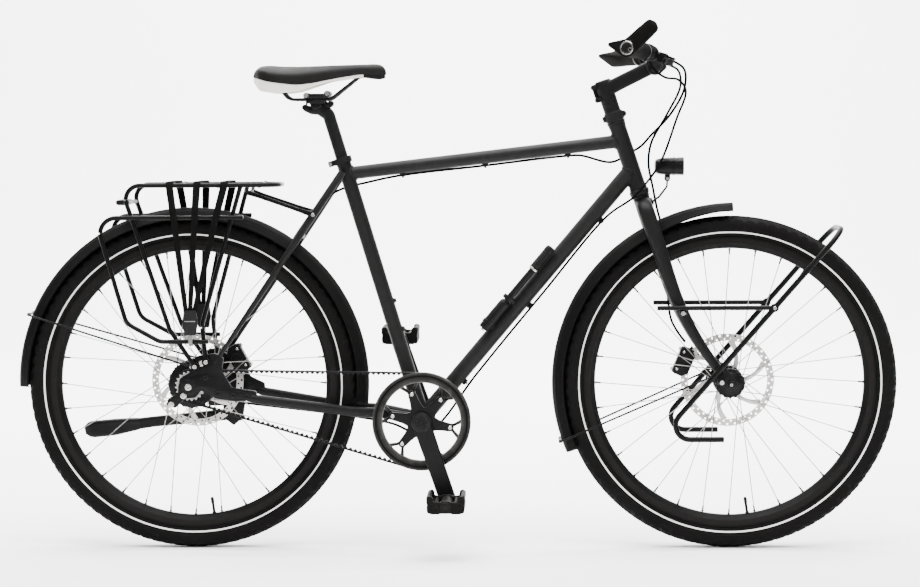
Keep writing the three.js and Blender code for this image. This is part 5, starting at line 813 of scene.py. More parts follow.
def tire_surface(center):
    """A round-backed casing turned about the axle. On the crown the radius drops by the groove depth
    where the block pattern, a function of angle and distance from the middle, leaves a channel."""
    bead = [(311.6, 12.2), (316.4, 12.3), (320.5, 15.2), (324, 18.6), (327.5, 21.1), (332, 23.4), (337, 24.7),
            (342, 24.6), (346, 23.6), (349, 22.4)]
    crown_y = np.array([21.6, 21.0, 18.6, 16.2, 15.6, 13.0, 10.0, 9.4, 6.4, 3.4, 2.8, 0.0])
    crown_r = 361.0 - 8.6 * (np.abs(crown_y) / 21.6) ** 2.2
    half = bead + list(zip(crown_r, crown_y))
    profile = np.array(half + [(r, -y) for r, y in half[-2::-1]])
    angles = 2 * np.pi * np.arange(TREAD_STEPS) / TREAD_STEPS
    pitch = (angles[:, None] * TREAD_PITCHES / (2 * np.pi)) % 1.0
    y = profile[None, :, 1]
    side = np.sign(y)
    reach = np.abs(y)
    skew = 0.018 * reach + 0.5 * (side < 0)
    phase = (pitch + skew) % 1.0
    crossing = phase < 0.24
    middle = reach < 3.0
    ring_groove = ((reach > 9.2) & (reach < 10.2)) | ((reach > 2.7) & (reach < 3.5))
    shoulder = (reach > 15.4) & (reach < 22.0)
    crown = reach < 22.0
    groove = (crossing & crown & ~middle) | ring_groove | (shoulder & (phase < 0.36))
    rim_side = profile[None, :, 0] > 350.0
    drop = np.where(groove & crown & rim_side, TREAD_DEPTH, 0.0)
    ribs = np.where((profile[None, :, 0] > 341) & (profile[None, :, 0] < 350.5) & (pitch % 0.5 < 0.2),
                    0.5, 0.0)
    radius = profile[None, :, 0] - drop
    aside = y + side * ribs
    inner = np.array([(311.6, -8.4), (316.0, -9.5), (330.0, -19.0), (345.0, -18.0), (349.0, -10.0),
                      (349.0, 10.0), (345.0, 18.0), (330.0, 19.0), (316.0, 9.5), (311.6, 8.4)])
    radius = np.concatenate([radius, np.broadcast_to(inner[:, 0], (TREAD_STEPS, len(inner)))], 1)
    aside = np.concatenate([aside, np.broadcast_to(inner[:, 1], (TREAD_STEPS, len(inner)))], 1)
    points = np.stack([radius * np.cos(angles)[:, None], aside, radius * np.sin(angles)[:, None]], -1)
    return part(points + center, along=True)


def band_group():
    """1 between two radii round an axis along Y, given by its X and Z, with soft borders."""
    group, given, result = node_group(
        "radius_band", [("X", 0.0), ("Z", 0.0), ("Inner", 0.3), ("Outer", 0.31)], ["Mask", "Radius"])
    link = group.links.new

    def math_node(operation, *values):
        node = group.nodes.new("ShaderNodeMath")
        node.operation = operation
        for i, value in enumerate(values):
            if isinstance(value, float):
                node.inputs[i].default_value = value
            else:
                link(value, node.inputs[i])
        return node.outputs["Value"]

    place = group.nodes.new("ShaderNodeTexCoord")
    split = group.nodes.new("ShaderNodeSeparateXYZ")
    link(place.outputs["Object"], split.inputs["Vector"])
    x = math_node("SUBTRACT", split.outputs["X"], given.outputs["X"])
    z = math_node("SUBTRACT", split.outputs["Z"], given.outputs["Z"])
    square = math_node("ADD", math_node("MULTIPLY", x, x), math_node("MULTIPLY", z, z))
    radius = math_node("SQRT", square)
    above = math_node("MULTIPLY", math_node("SUBTRACT", radius, given.outputs["Inner"]), 4000.0)
    below = math_node("MULTIPLY", math_node("SUBTRACT", given.outputs["Outer"], radius), 4000.0)
    both = math_node("MINIMUM", above, below)
    clamp = group.nodes.new("ShaderNodeClamp")
    link(both, clamp.inputs["Value"])
    link(clamp.outputs["Result"], result.inputs["Mask"])
    link(radius, result.inputs["Radius"])
    return group


radius_band = band_group()


def banded(material, center, inner, outer, base, color):
    """Paint a ring of another colour on a wheel's material, by its distance from the axle."""
    tree = material.node_tree
    shader = tree.nodes["Principled BSDF"]
    band = tree.nodes.new("ShaderNodeGroup")
    band.node_tree = radius_band
    band.inputs["X"].default_value = (center[0] + shift_x) / 1000.0
    band.inputs["Z"].default_value = center[2] / 1000.0
    band.inputs["Inner"].default_value = inner / 1000.0
    band.inputs["Outer"].default_value = outer / 1000.0
    mix = tree.nodes.new("ShaderNodeMix")
    mix.data_type = "RGBA"
    mix.inputs["A"].default_value = (*base, 1)
    mix.inputs["B"].default_value = (*color, 1)
    old = shader.inputs["Base Color"].links
    if old:
        tree.links.new(old[0].from_socket, mix.inputs["A"])
    tree.links.new(band.outputs["Mask"], mix.inputs["Factor"])
    tree.links.new(mix.outputs["Result"], shader.inputs["Base Color"])


def tires():
    """Front and rear tire with their own rubber, because each line is drawn about its own axle."""
    rubber = (0.0045, 0.0042, 0.0042)
    for word, center in (("front", front_axle), ("rear", rear_axle)):
        material = coat("tire_rubber_%s" % word, rubber, 0.8, 0.0, 600.0, 0.12, 0.1, gloss=0.04)
        banded(material, center, STRIPE_RADIUS - STRIPE_WIDTH / 2, STRIPE_RADIUS + STRIPE_WIDTH / 2, rubber,
               (0.75, 0.75, 0.73))
        make("%s_tire_fine" % word, [tire_surface(center)], material, "%s_wheel" % word, "%s_tire" % word,
             slot="tire_rubber", crisp=28)


tires()


# The rims: black anodised double-wall alloy with a turned, slightly lighter flank. Straight steel spokes
# cross to both flanges of the hub, and a black valve stem stands in each rim.
VALVE_ANGLE = 278.0


def rim_parts(center):
    """Rim turned from its section, and the valve with its nut and cap."""
    side = [(290.2, 0.0), (290.4, 3.6), (292.4, 6.6), (298.6, 10.8), (300.0, 12.6), (301.0, 13.5),
            (312.4, 13.9),
            (315.4, 13.9), (316.0, 13.3), (315.4, 12.5), (311.0, 12.4), (306.0, 9.0), (304.0, 0.0)]
    profile = np.array(side + [(r, -y) for r, y in side[-2:0:-1]])
    rim = turned(profile, center, left, 240, closed=True)
    foot = center + spins(VALVE_ANGLE)[0][0] * 292.0
    way = -spins(VALVE_ANGLE)[0][0]
    valve = turned([(3.9, 0), (4.6, 1.0), (4.6, 3.6), (3.2, 4.4), (3.0, 5.0), (3.0, 24.0), (3.4, 24.4),
                    (3.7, 25.4), (3.7, 34.0), (2.6, 37.0), (1.0, 37.8)], foot, way, 24)
    return [rim, valve]


SPOKE_COUNT = 32
SPOKE_CROSS = 45.0
NIPPLE_RADIUS = 2.6


def spoke_ends(center, hole_radius, flange_y):
    """Start and end of each spoke: both flanges, leaning forward and back by turns."""
    number = np.arange(SPOKE_COUNT)
    side = np.where(number < SPOKE_COUNT // 2, -1, 1)
    place = number % (SPOKE_COUNT // 2)
    lean = np.where(place % 2, 1, -1)
    at = np.radians(22.5 * place + np.where(side > 0, 11.25, 0.0))
    to = at + np.radians(lean * SPOKE_CROSS)
    start = np.stack([hole_radius * np.cos(at), side * (flange_y + lean * 1.6), hole_radius * np.sin(at)], -1)
    end = np.stack([289.0 * np.cos(to), side * 3.0, 289.0 * np.sin(to)], -1)
    return start + center, end + center, side, lean


def spoke_parts(center, hole_radius, flange_y):
    """Straight round wires with a bent head in the flange, and a nipple at the rim end."""
    start, end, side, lean = spoke_ends(center, hole_radius, flange_y)
    along = end - start
    length = np.linalg.norm(along, axis=1, keepdims=True)
    along /= length
    wide = np.cross(along, left)
    wide /= np.linalg.norm(wide, axis=1, keepdims=True)
    high = np.cross(along, wide)
    ring = circle(10)

    def drum(places, radii, copies_start):
        base = copies_start[:, None, None] + np.asarray(places)[None, :, None, None] * along[:, None, None]
        offset = ring[:, :1] * wide[:, None] + ring[:, 1:] * high[:, None]
        return part(base + np.asarray(radii)[None, :, None, None] * offset[:, None])

    wires = drum([0.0, 1.0, 2.0, 274.0], [0.9, 1.0, 1.0, 1.0], start)
    wires["points"][:, -1] += (end - along * 8.0 - (start + along * 274.0))[:, None]
    heads = []
    for i in range(SPOKE_COUNT):
        outward = side[i] * lean[i]
        elbow = rounded([start[i] - outward * left * 4.2, start[i] + outward * left * 0.2,
                         start[i] + along[i] * 3],
                        2.0, 30)
        heads.append(carried(elbow, 2.1, section=circle(8), across=wide[i]))
        heads.append(turned([(2.0, 0), (2.1, 0.7), (1.2, 1.6)], start[i] - outward * left * 5.2,
                            outward * left, 10))
    tips = drum([0.0, 1.0, 2.0, 9.5, 10.5, 13.0], [1.2, 1.5, 1.8, 1.8, NIPPLE_RADIUS, NIPPLE_RADIUS],
                end - along * 12.0)
    return wires, heads, tips


def wheel_metal():
    """Rims, valves, spokes and nipples of both wheels."""
    wire = coat("spoke_steel", (0.2, 0.19, 0.185), 0.3, 1.0, 700.0, 0.005, 0.05)
    dark = (0.0045, 0.0044, 0.0044)
    for word, center, hole, flange in (("front", front_axle, 27.5, 28.0), ("rear", rear_axle, 47.5, 29.0)):
        anodised = coat("rim_anodised_%s" % word, dark, 0.42, 0.0, 1200.0, 0.01, 0.06, gloss=0.05)
        banded(anodised, center, 300.4, 311.6, dark, (0.0075, 0.0068, 0.0066))
        make("%s_rim_fine" % word, rim_parts(center), anodised, "%s_wheel" % word, "%s_rim" % word,
             slot="rim_alloy")
        wires, heads, tips = spoke_parts(center, hole, flange)
        make("%s_spokes_fine" % word, [wires, *heads], wire, "%s_wheel" % word, slot="silver_steel")
        make("%s_nipples_fine" % word, [tips], dark_alloy, "%s_wheel" % word, slot="black_alloy")


wheel_metal()


# The hubs: a black dynamo hub in front with a stud for each spoke on its flanges and a bright bolt in its
# end cap, and at the back a large black gear hub with a ring of small bright studs on its right side.
def flange_studs(center, reach, profile):
    """Sixteen studs round each flange; those of the left flange stand half a step on."""
    return [placed(turned([(radius, side * y) for radius, y in profile], (reach, 0, 0), left, 16), center,
                   spins(lag + 22.5 * np.arange(16))) for side, lag in ((-1, 0.0), (1, 11.25))]


def front_hub():
    """Shell and flanges turned about the axle, the flanges' studs, a lock ring and the axle's ends."""
    shell = turned([(5.3, -49.6), (9.6, -49.6), (10, -49), (10, -41), (13, -38.5), (24.5, -33.5), (26, -31.6),
                    (30.4, -31), (31, -30), (31, -26.2), (30.2, -25.6), (27.6, -25), (26.6, -22), (26.2, -8),
                    (26.8, -4), (26.8, 4), (26.2, 8), (26.6, 22), (27.6, 25), (30.2, 25.6), (31, 26.2),
                    (31, 30),
                    (30.4, 31), (26.0, 31.8), (22, 33), (21.5, 37.7), (16.9, 37.8), (16.9, 41.4), (16, 42.4),
                    (10, 42.6), (10, 49), (9.6, 49.6), (5.3, 49.6)], front_axle, left, 80, closed=True)
    studs = flange_studs(front_axle, 28.2, [(2.6, 33.0), (4.4, 32.2), (4.4, 24.4), (2.6, 23.8)])
    lock = turned([(10.4, 40), (17.4, 40), (17.8, 40.6), (17.8, 43.4), (17.2, 44), (10.4, 44)], front_axle,
                  left, 60, closed=True)
    make("front_hub_fine", [shell, *studs, lock], dark_alloy, "front_wheel", "front_hub", slot="black_alloy")
    axle = turned([(4.6, -64), (4.6, 64)], front_axle, left, 24)
    nut = [turned([(8.4, 57.3), (8.4, 62.4), (7.4, 64), (3.2, 64.3), (3.0, 60)], front_axle, left, 6)]
    cap = turned([(8.4, -57.4), (8.5, -62.4), (7.6, -63.6), (6.4, -64.2), (4.6, -64.3), (4.3, -61.5),
                  (0.8, -61.2)],
                 front_axle, left, 40)
    make("front_axle_fine", [axle, *nut, cap], dark_alloy, "steering", "front_axle", slot="silver_steel")
    make("front_axle_bolt", [turned([(3.4, -62), (3.4, -63.6), (2.9, -64.1), (1.6, -64.1), (1.4, -62.6)],
                                    front_axle, left, 24)], steel, "steering", slot="silver_steel")


def rear_hub():
    """The gear hub's broad shell, its end shields and the studs round them."""
    right = -48.4
    shell = turned([(6.8, right), (25.4, right), (26, right + 0.6), (29.6, -39.5), (30, -38.6), (38, -37.6),
                    (47, -33.6), (50.4, -32.2), (51, -31.2), (51, -26.8), (50.2, -26.2), (47.4, -25.4),
                    (46, -21),
                    (45.4, -12), (46, -6), (46, 6), (45.4, 12), (46, 21), (47.4, 25.4), (50.2, 26.2),
                    (51, 26.8),
                    (51, 31.2), (50.4, 32.2), (44, 34.4), (31, 39.0), (30, 40.4), (30, 50.2), (20.0, 50.4),
                    (20.0, 54.0), (19.0, 54.9), (6.8, 54.9)], rear_axle, left, 96, closed=True)
    ears = flange_studs(rear_axle, 48.0, [(2.4, 33.6), (4.6, 32.6), (4.6, 25.0), (2.4, 24.2)])
    make("rear_hub_fine", [shell, *ears], dark_alloy, "rear_wheel", "rear_hub", slot="black_alloy")
    studs = placed(turned([(1.5, -37.4), (1.5, -39.6), (1.0, -40.1)], (31.0, 0, 0), left, 12), rear_axle,
                   spins(18.0 * np.arange(20)))
    line = turned([(25.6, -38.4), (26.8, -38.4), (26.8, -39.6), (25.6, -39.6)], rear_axle, left, 80,
                  closed=True)
    make("rear_hub_studs", [studs, line], steel, "rear_wheel", slot="silver_steel")


front_hub()
rear_hub()


# The brake rotors: 203 mm stainless discs 1.8 mm thick, with two rows of cooling holes in the track, six
# raked arms and six bolts at the hub.
ROTOR_CELLS = 36
ROTOR_HOLE = 2.5


def plate_cells(inner, outer, cells, hole, middle, thickness, center_y, start=0.0):
    """A ring cut in equal cells with a round hole in each: every ring of points runs from the cell's
    border on one face in to the hole, through it, and out on the other face."""
    count = 32
    share = np.arange(count) / count
    step = 2 * np.pi / cells
    corner = np.array([(-1, -1), (1, -1), (1, 1), (-1, 1), (-1, -1)], float)
    edge = np.stack([np.interp(share * 4, np.arange(5), corner[:, i]) for i in (0, 1)], -1)
    angle = edge[:, 0] * step / 2
    half = (outer - inner) / 2
    reach = (outer + inner) / 2 + edge[:, 1] * half
    hole_angle = np.arctan2(edge[:, 1] * half, edge[:, 0] * step / 2 * middle)
    hole_x = hole * np.cos(hole_angle)
    hole_r = middle + hole * np.sin(hole_angle)
    border = np.stack([reach * np.sin(angle), reach * np.cos(angle)], -1)
    opening = np.stack([hole_r * np.sin(hole_x / middle), hole_r * np.cos(hole_x / middle)], -1)
    top, low = center_y + thickness / 2, center_y - thickness / 2
    rings = [(border, top), (opening, top), (opening, low), (border, low)]
    base = np.array([np.stack([flat[:, 0], np.full(count, y), flat[:, 1]], -1) for flat, y in rings])
    cell = part(base, along=True)
    return placed(cell, (0, 0, 0), spins(start + 360.0 / cells * np.arange(cells)))


def rotor(center, middle_y):
    """Track with two rows of holes, six raked arms and a hub ring."""
    outer_row = plate_cells(93.8, 101.5, ROTOR_CELLS, ROTOR_HOLE, 97.4, 1.8, middle_y)
    inner_row = plate_cells(86.5, 93.8, ROTOR_CELLS, ROTOR_HOLE * 0.9, 90.2, 1.8, middle_y, 5.0)
    arms = []
    for i in range(6):
        at = 60.0 * i
        points = np.array([np.array(spins(at + 26 * s ** 1.2)[0][0]) * (31.0 + 56.5 * s)
                           for s in np.linspace(0, 1, 9)])
        path = points + (0, middle_y, 0)
        width = np.interp(np.linspace(0, 1, 9), [0, 0.5, 1], [12, 8, 13])
        arms.append(carried(path, 1.8, width, oblong(16, 10), across=(0, 1, 0)))
    hub = turned([(20.4, middle_y - 0.9), (33.0, middle_y - 0.9), (33.0, middle_y + 0.9),
                  (20.4, middle_y + 0.9)],
                 (0, 0, 0), left, 72, closed=True)
    return [placed(shape, center) for shape in (outer_row, inner_row, *arms, hub)]


def rotors():
    """Both rotors and the bolts that hold them."""
    disc = coat("rotor_stainless", (0.52, 0.49, 0.475), 0.36, 1.0, 400.0, 0.008, 0.1)
    for word, center, y, body in (("front", front_axle, 39.0, "front_wheel"),
                                  ("rear", rear_axle, 51.5, "rear_wheel")):
        make("%s_rotor_fine" % word, rotor(center, y), disc, body, "%s_rotor" % word, slot="rotor_steel")
        screws = placed(bolt_head((26.0, y + 0.8, 0), left, 6.4, 2.4), center, spins(60.0 * np.arange(6)))
        make("%s_rotor_bolts" % word, [screws], dark_alloy, body, slot="black_alloy")


rotors()


# Belt drive: a reinforced rubber belt with moulded teeth runs between a ring of cast and machined alloy
# on the right crank and a turned steel sprocket on the gear hub. A lip on the ring keeps the belt on.
BELT_PITCH = 11.0
RING_TEETH = 60
SPROCKET_TEETH = 20
BELT_Y = -55.0
BELT_HALF = 6.0
BELT_BACK = 1.0
TOOTH_BASE = 1.8
TOOTH_HEIGHT = 4.0
TOOTH_GAP = 0.5
STEPS_PER_TOOTH = 8
RING_INNER = 86.0
RING_BOLTS = 63.0
CRANK_LENGTH = 175.0
CRANK_AT = -71.4
ring_pitch = RING_TEETH * BELT_PITCH / (2 * math.pi)
sprocket_pitch = SPROCKET_TEETH * BELT_PITCH / (2 * math.pi)
center_line = (bracket - rear_axle)[[0, 2]]
stay_length = float(np.hypot(*center_line))
center_angle = math.degrees(math.atan2(center_line[1], center_line[0]))
wrap_angle = math.degrees(math.asin((ring_pitch - sprocket_pitch) / stay_length))
free_run = stay_length * math.cos(math.radians(wrap_angle))
ring_wrap = ring_pitch * math.radians(180 + 2 * wrap_angle)
sprocket_wrap = sprocket_pitch * math.radians(180 - 2 * wrap_angle)
belt_length = 2 * free_run + ring_wrap + sprocket_wrap
belt_teeth = round(belt_length / BELT_PITCH)
top_tangent = center_angle + 90 + wrap_angle
low_tangent = top_tangent - (180 + 2 * wrap_angle)


def toward(degrees):
    """Unit directions in the side view, [x, z], for angles that grow from +X towards +Z."""
    angles = np.radians(degrees)
    return np.stack([np.cos(angles), np.sin(angles)], -1)


def belt_line(length, inside):
    """Points of the belt about the rear axle: an arc on the ring's pitch circle from its top tangent
    point, the lower straight run, an arc on the sprocket's pitch circle, and the upper straight run."""
    length = np.mod(length, belt_length)
    big = (ring_pitch - inside)[:, None]
    small = (sprocket_pitch - inside)[:, None]
    on_ring = center_line + big * toward(top_tangent - np.degrees(length / ring_pitch))
    share = ((length - ring_wrap) / free_run)[:, None]
    low_ring = center_line + big * toward(low_tangent)
    low_run = low_ring + (small * toward(low_tangent) - low_ring) * share
    on_sprocket = small * toward(low_tangent - np.degrees((length - ring_wrap - free_run) / sprocket_pitch))
    share = ((length - ring_wrap - free_run - sprocket_wrap) / free_run)[:, None]
    top_sprocket = small * toward(top_tangent)
    top_run = top_sprocket + (center_line + big * toward(top_tangent) - top_sprocket) * share
    part_of = np.digitize(length, np.cumsum([ring_wrap, free_run, sprocket_wrap]))[:, None]
    return np.choose(part_of, [on_ring, low_run, on_sprocket, top_run])


def tooth_depth(share):
    """How deep a tooth stands at a share of the pitch: a smooth step up, a short flat tip, a step down."""
    rise = np.clip((1.0 - np.abs(2 * np.mod(share, 1.0) - 1.0)) * 1.35 - 0.12, 0, 1)
    return rise * rise * (3 - 2 * rise)


def annulus(inner, outer, angles, near, far, edge=0.5):
    """A ring whose inner and outer radius follow the angle: an eased section at each angle."""
    inner = np.broadcast_to(np.asarray(inner, float), angles.shape)
    outer = np.broadcast_to(np.asarray(outer, float), angles.shape)
    way = toward(angles)
    rings = []
    for side_radius, inward, y in ((inner, edge, near), (outer, -edge, near), (outer, 0, near + edge),
                                   (outer, 0, far - edge), (outer, -edge, far), (inner, edge, far),
                                   (inner, 0, far - edge), (inner, 0, near + edge)):
        flat = way * (side_radius + inward)[:, None]
        rings.append(np.stack([flat[:, 0], np.full(len(flat), y), flat[:, 1]], -1))
    return part(np.array(rings).transpose(1, 0, 2), along=True)


def toothed(teeth, inner, phase, near, far):
    """A toothed wheel: its outer radius drops by the tooth's depth once in each pitch."""
    count = teeth * STEPS_PER_TOOTH
    place = np.arange(count) / STEPS_PER_TOOTH
    outer = teeth * BELT_PITCH / (2 * math.pi) - TOOTH_BASE - (TOOTH_HEIGHT + TOOTH_GAP) * tooth_depth(place)
    return annulus(inner, outer, phase + 360.0 * place / teeth, near, far, 0.35)


def drive_belt():
    """The belt's section at each step: teeth inside, a plain back outside, eased edges."""
    count = belt_teeth * STEPS_PER_TOOTH
    place = np.arange(count) / STEPS_PER_TOOTH
    length = place * belt_length / belt_teeth
    deep = TOOTH_BASE + TOOTH_HEIGHT * tooth_depth(place) - 0.3
    rings = []
    for inside, y in ((deep - 0.4, -BELT_HALF), (deep, 0.4 - BELT_HALF), (deep, BELT_HALF - 0.4),
                      (deep - 0.4, BELT_HALF), (-BELT_BACK + 0.5, BELT_HALF), (-BELT_BACK, BELT_HALF - 0.6),
                      (-BELT_BACK, 0.6 - BELT_HALF), (-BELT_BACK + 0.5, -BELT_HALF)):
        flat = belt_line(length, np.broadcast_to(inside, (count,)).astype(float))
        rings.append(np.stack([flat[:, 0], np.full(count, BELT_Y + y), flat[:, 1]], -1))
    shape = placed(part(np.array(rings).transpose(1, 0, 2), along=True), rear_axle)
    rubber = coat("moulded_belt_rubber", (0.004, 0.004, 0.0042), 0.62, 0.0, 1600.0, 0.08, 0.06)
    make("drive_belt_fine", [shape], rubber, "frame", "drive_belt", slot="belt")


def belt_ring():
    """Toothed rim, its lip, and six pairs of prongs that reach in to the spider's bolts."""
    rim = toothed(RING_TEETH, RING_INNER, top_tangent, BELT_Y - 5.0, BELT_Y + 5.0)
    lip = turned([(RING_INNER, -59.5), (RING_INNER + 0.2, -62.4), (RING_INNER + 1.2, -63.2), (96.5, -63.2),
                  (97.2, -62.6), (99.6, -62.3), (100.2, -63.1), (105.4, -63.1), (106.4, -62.5),
                  (106.5, -61.7),
                  (106.0, -61.3), (97.6, -61.3), (97.4, -59.5)], (0, 0, 0), left, 180, closed=True)
    collar = turned([(RING_INNER - 1.6, -61.6), (RING_INNER + 1.4, -61.6), (RING_INNER + 1.4, -55.6),
                     (RING_INNER - 1.6, -55.6)], (0, 0, 0), left, 144, closed=True)
    pieces = [rim, lip, collar]
    for side in (-1, 1):
        prong = rounded([(RING_BOLTS - 5.0, -58.9, side * 3.2), (RING_BOLTS + 7.0, -58.9, side * 6.4),
                         (RING_INNER + 1.5, -58.4, side * 20.5)], 10.0, 12)
        pieces.append(placed(carried(prong, 5.6, [8.2] + [6.2] * (len(prong) - 2) + [8.5], oblong(20, 6.0)),
                             (0, 0, 0), spins(CRANK_AT + 60.0 * np.arange(6))))
    boss = turned([(4.0, -61.9), (7.6, -61.9), (8.0, -61.2), (8.0, -56.4), (7.6, -55.9), (4.0, -55.9)],
                  (RING_BOLTS, 0, 0), left, 32, closed=True)
    pieces.append(placed(boss, (0, 0, 0), spins(CRANK_AT + 60.0 * np.arange(6))))
    alloy = coat("ring_black_alloy", (0.0042, 0.004, 0.004), 0.42, 0.0, 1200.0, 0.02, 0.08,
                 (0.25, 0.24, 0.23), 0.8, gloss=0.03)
    make("belt_ring_fine", all_placed(pieces, bracket), alloy, "crankset", "belt_ring",
         slot="black_alloy")


def rear_sprocket():
    """Twenty teeth on a thin web with five round openings and a splined middle."""
    phase = low_tangent + 360 * (((ring_wrap + free_run) * belt_teeth / belt_length) % 1) / SPROCKET_TEETH
    rim = toothed(SPROCKET_TEETH, 25.8, phase, BELT_Y - 5.0, BELT_Y + 5.0)
    web = plate_cells(19.0, 26.2, 10, 2.4, 22.6, 4.0, BELT_Y)
    splines = np.arange(18 * 8) / 8.0
    inner = 12.9 + 0.9 * np.clip(np.sin(2 * math.pi * splines) * 2 + 0.5, 0, 1)
    middle = annulus(inner, 19.4, 20.0 * splines, BELT_Y - 4.2, BELT_Y + 4.2)
    shine = coat("machined_sprocket_steel", (0.36, 0.35, 0.34), 0.3, 1.0, 900.0, 0.015, 0.1)
    make("rear_sprocket_fine", all_placed((rim, web, middle), rear_axle), shine,
         "rear_sprocket", "rear_sprocket", slot="silver_steel")


drive_belt()
belt_ring()
rear_sprocket()


# Cranks: forged and black anodised arms on a steel spindle. A six-armed spider is one with the right arm,
# the ring's bolts show bright, and a dust cap covers each spindle end.
CRANK_OUTER = 81.0
CRANK_INNER = 68.0


def crank_arm():
    """An arm along +X on the left side: a rounded oblong section, waisted, with rounded ends."""
    reach = np.concatenate([-19.5 + np.array([0.1, 0.8, 2.2, 4.5, 8.0, 12.0, 15.0]), np.linspace(0, 170, 18),
                            189.0 - np.array([15.0, 12.0, 8.0, 4.5, 2.2, 0.8, 0.1])])
    nearest = np.minimum(reach + 19.5, 189.0 - reach)
    ends = np.sqrt(1 - (1 - np.clip(nearest / 15.0, 0.012, 1)) ** 2)
    path = np.stack([reach, np.full(len(reach), (CRANK_INNER + CRANK_OUTER) / 2), np.zeros(len(reach))], -1)
    width = np.interp(reach, (0.0, 60.0, 120.0, 175.0), (40.0, 38.0, 36.5, 36.0)) * ends
    return carried(path, (CRANK_OUTER - CRANK_INNER) * np.minimum(1, 0.5 + ends), width, oblong(40, 7.0))


def spider_arm():
    """One arm of the spider along +X: wide at the hub, narrow behind its bolt."""
    reach = np.array([8.0, 24.0, 27.0, 30.0, 34.0, 39.0, 46.0, 54.0, 60.0, 65.0, 68.5, 71.0])
    width = np.array([33.0, 33.0, 31.5, 28.5, 25.0, 22.5, 20.5, 19.0, 18.0, 16.0, 12.0, 6.0])
    path = np.stack([reach, np.full(12, -65.1), np.zeros(12)], -1)
    return carried(path, 6.2, width, oblong(24, 8.0))


def cranks():
    """Both arms, spider, spindle, ring bolts and dust caps."""
    turn_right = spins(CRANK_AT)
    turn_left = spins(CRANK_AT + 180)
    arm = crank_arm()
    spindle = turned([(10.6, -81.0), (12.0, -80.0), (12.0, 80.0), (10.6, 81.0)], bracket, left, 40)
    hub = turned([(12.0, -82.2), (19.0, -82.2), (20.6, -81.4), (21.0, -80.0), (21.0, -62.0), (20.0, -61.9),
                  (12.0, -61.9)], bracket, left, 72, closed=True)
    right = [placed(mirrored(arm), bracket, turn_right), spindle, hub]
    right.append(placed(spider_arm(), bracket, spins(CRANK_AT + 60.0 * np.arange(6))))
    hub_left = turned([(12.2, 67.0), (20.4, 67.0), (21.0, 67.6), (21.0, 80.4), (20.4, 81.4), (12.2, 81.6)],
                      bracket, left, 72, closed=True)
    satin = coat("crank_anodised_alloy", (0.0038, 0.0037, 0.0038), 0.42, 0.0, 1100.0, 0.02, 0.07,
                 (0.04, 0.04, 0.04), 0.6)
    make("crank_right_fine", right, satin, "crankset", "crank_right", slot="black_alloy")
    make("crank_left_fine", [placed(arm, bracket, turn_left), hub_left], satin, "crankset", "crank_left",
         slot="black_alloy")
    caps = []
    for way in (-1, 1):
        caps.append(turned([(1.0, way * 81.9), (5.6, way * 81.9), (6.2, way * 82.5), (12.8, way * 82.6),
                            (13.4, way * 82.0), (15.0, way * 81.6), (15.6, way * 83.0), (17.2, way * 83.0),
                            (17.8, way * 82.2), (17.8, way * 80.0), (1.0, way * 80.0)], bracket, left, 72,
                           closed=True))
        studs = turned([(1.6, way * 82.2), (1.6, way * 83.2), (1.0, way * 83.6)], (10.0, 0, 0), left, 12)
        caps.append(placed(studs, bracket, spins(22.5 + 45.0 * np.arange(8))))
    make("crank_dust_caps", caps, dark_alloy, "crankset", slot="black_alloy")
    heads = placed(bolt_head((RING_BOLTS, -68.2, 0), -left, 8.6, 2.6), bracket,
                   spins(CRANK_AT + 60.0 * np.arange(1, 6)))
    nuts = placed(bolt_head((RING_BOLTS, -55.9, 0), left, 8.6, 1.4), bracket,
                  spins(CRANK_AT + 60.0 * np.arange(6)))
    make("ring_bolts", [heads, nuts], steel, "crankset", slot="silver_steel")


cranks()


# Pedals: moulded glass-filled nylon cages with raised hooks front and back and a ribbed top, screwed to
# the crank with a steel axle whose end is closed by a black cap.
PEDAL_OUTLINE = [(-39.6, -6.0), (-36.0, -11.5), (-30.0, -13.8), (-14.5, -13.8), (-11.0, -12.4), (11.0, -12.4),
                 (14.5, -13.8), (30.0, -13.8), (36.0, -11.5), (39.6, -6.0), (39.8, 2.0), (37.4, 5.2),
                 (40.2, 10.0), (40.4, 18.0), (37.0, 23.4), (31.5, 24.4), (27.2, 21.0), (26.8, 13.6),
                 (23.0, 11.4), (12.0, 11.0), (8.0, 13.4), (-8.0, 13.4), (-12.0, 11.0), (-23.0, 11.4),
                 (-26.8, 13.6), (-27.2, 21.0), (-31.5, 24.4), (-37.0, 23.4), (-40.4, 18.0), (-40.2, 10.0),
                 (-37.4, 5.2), (-39.8, 2.0)]


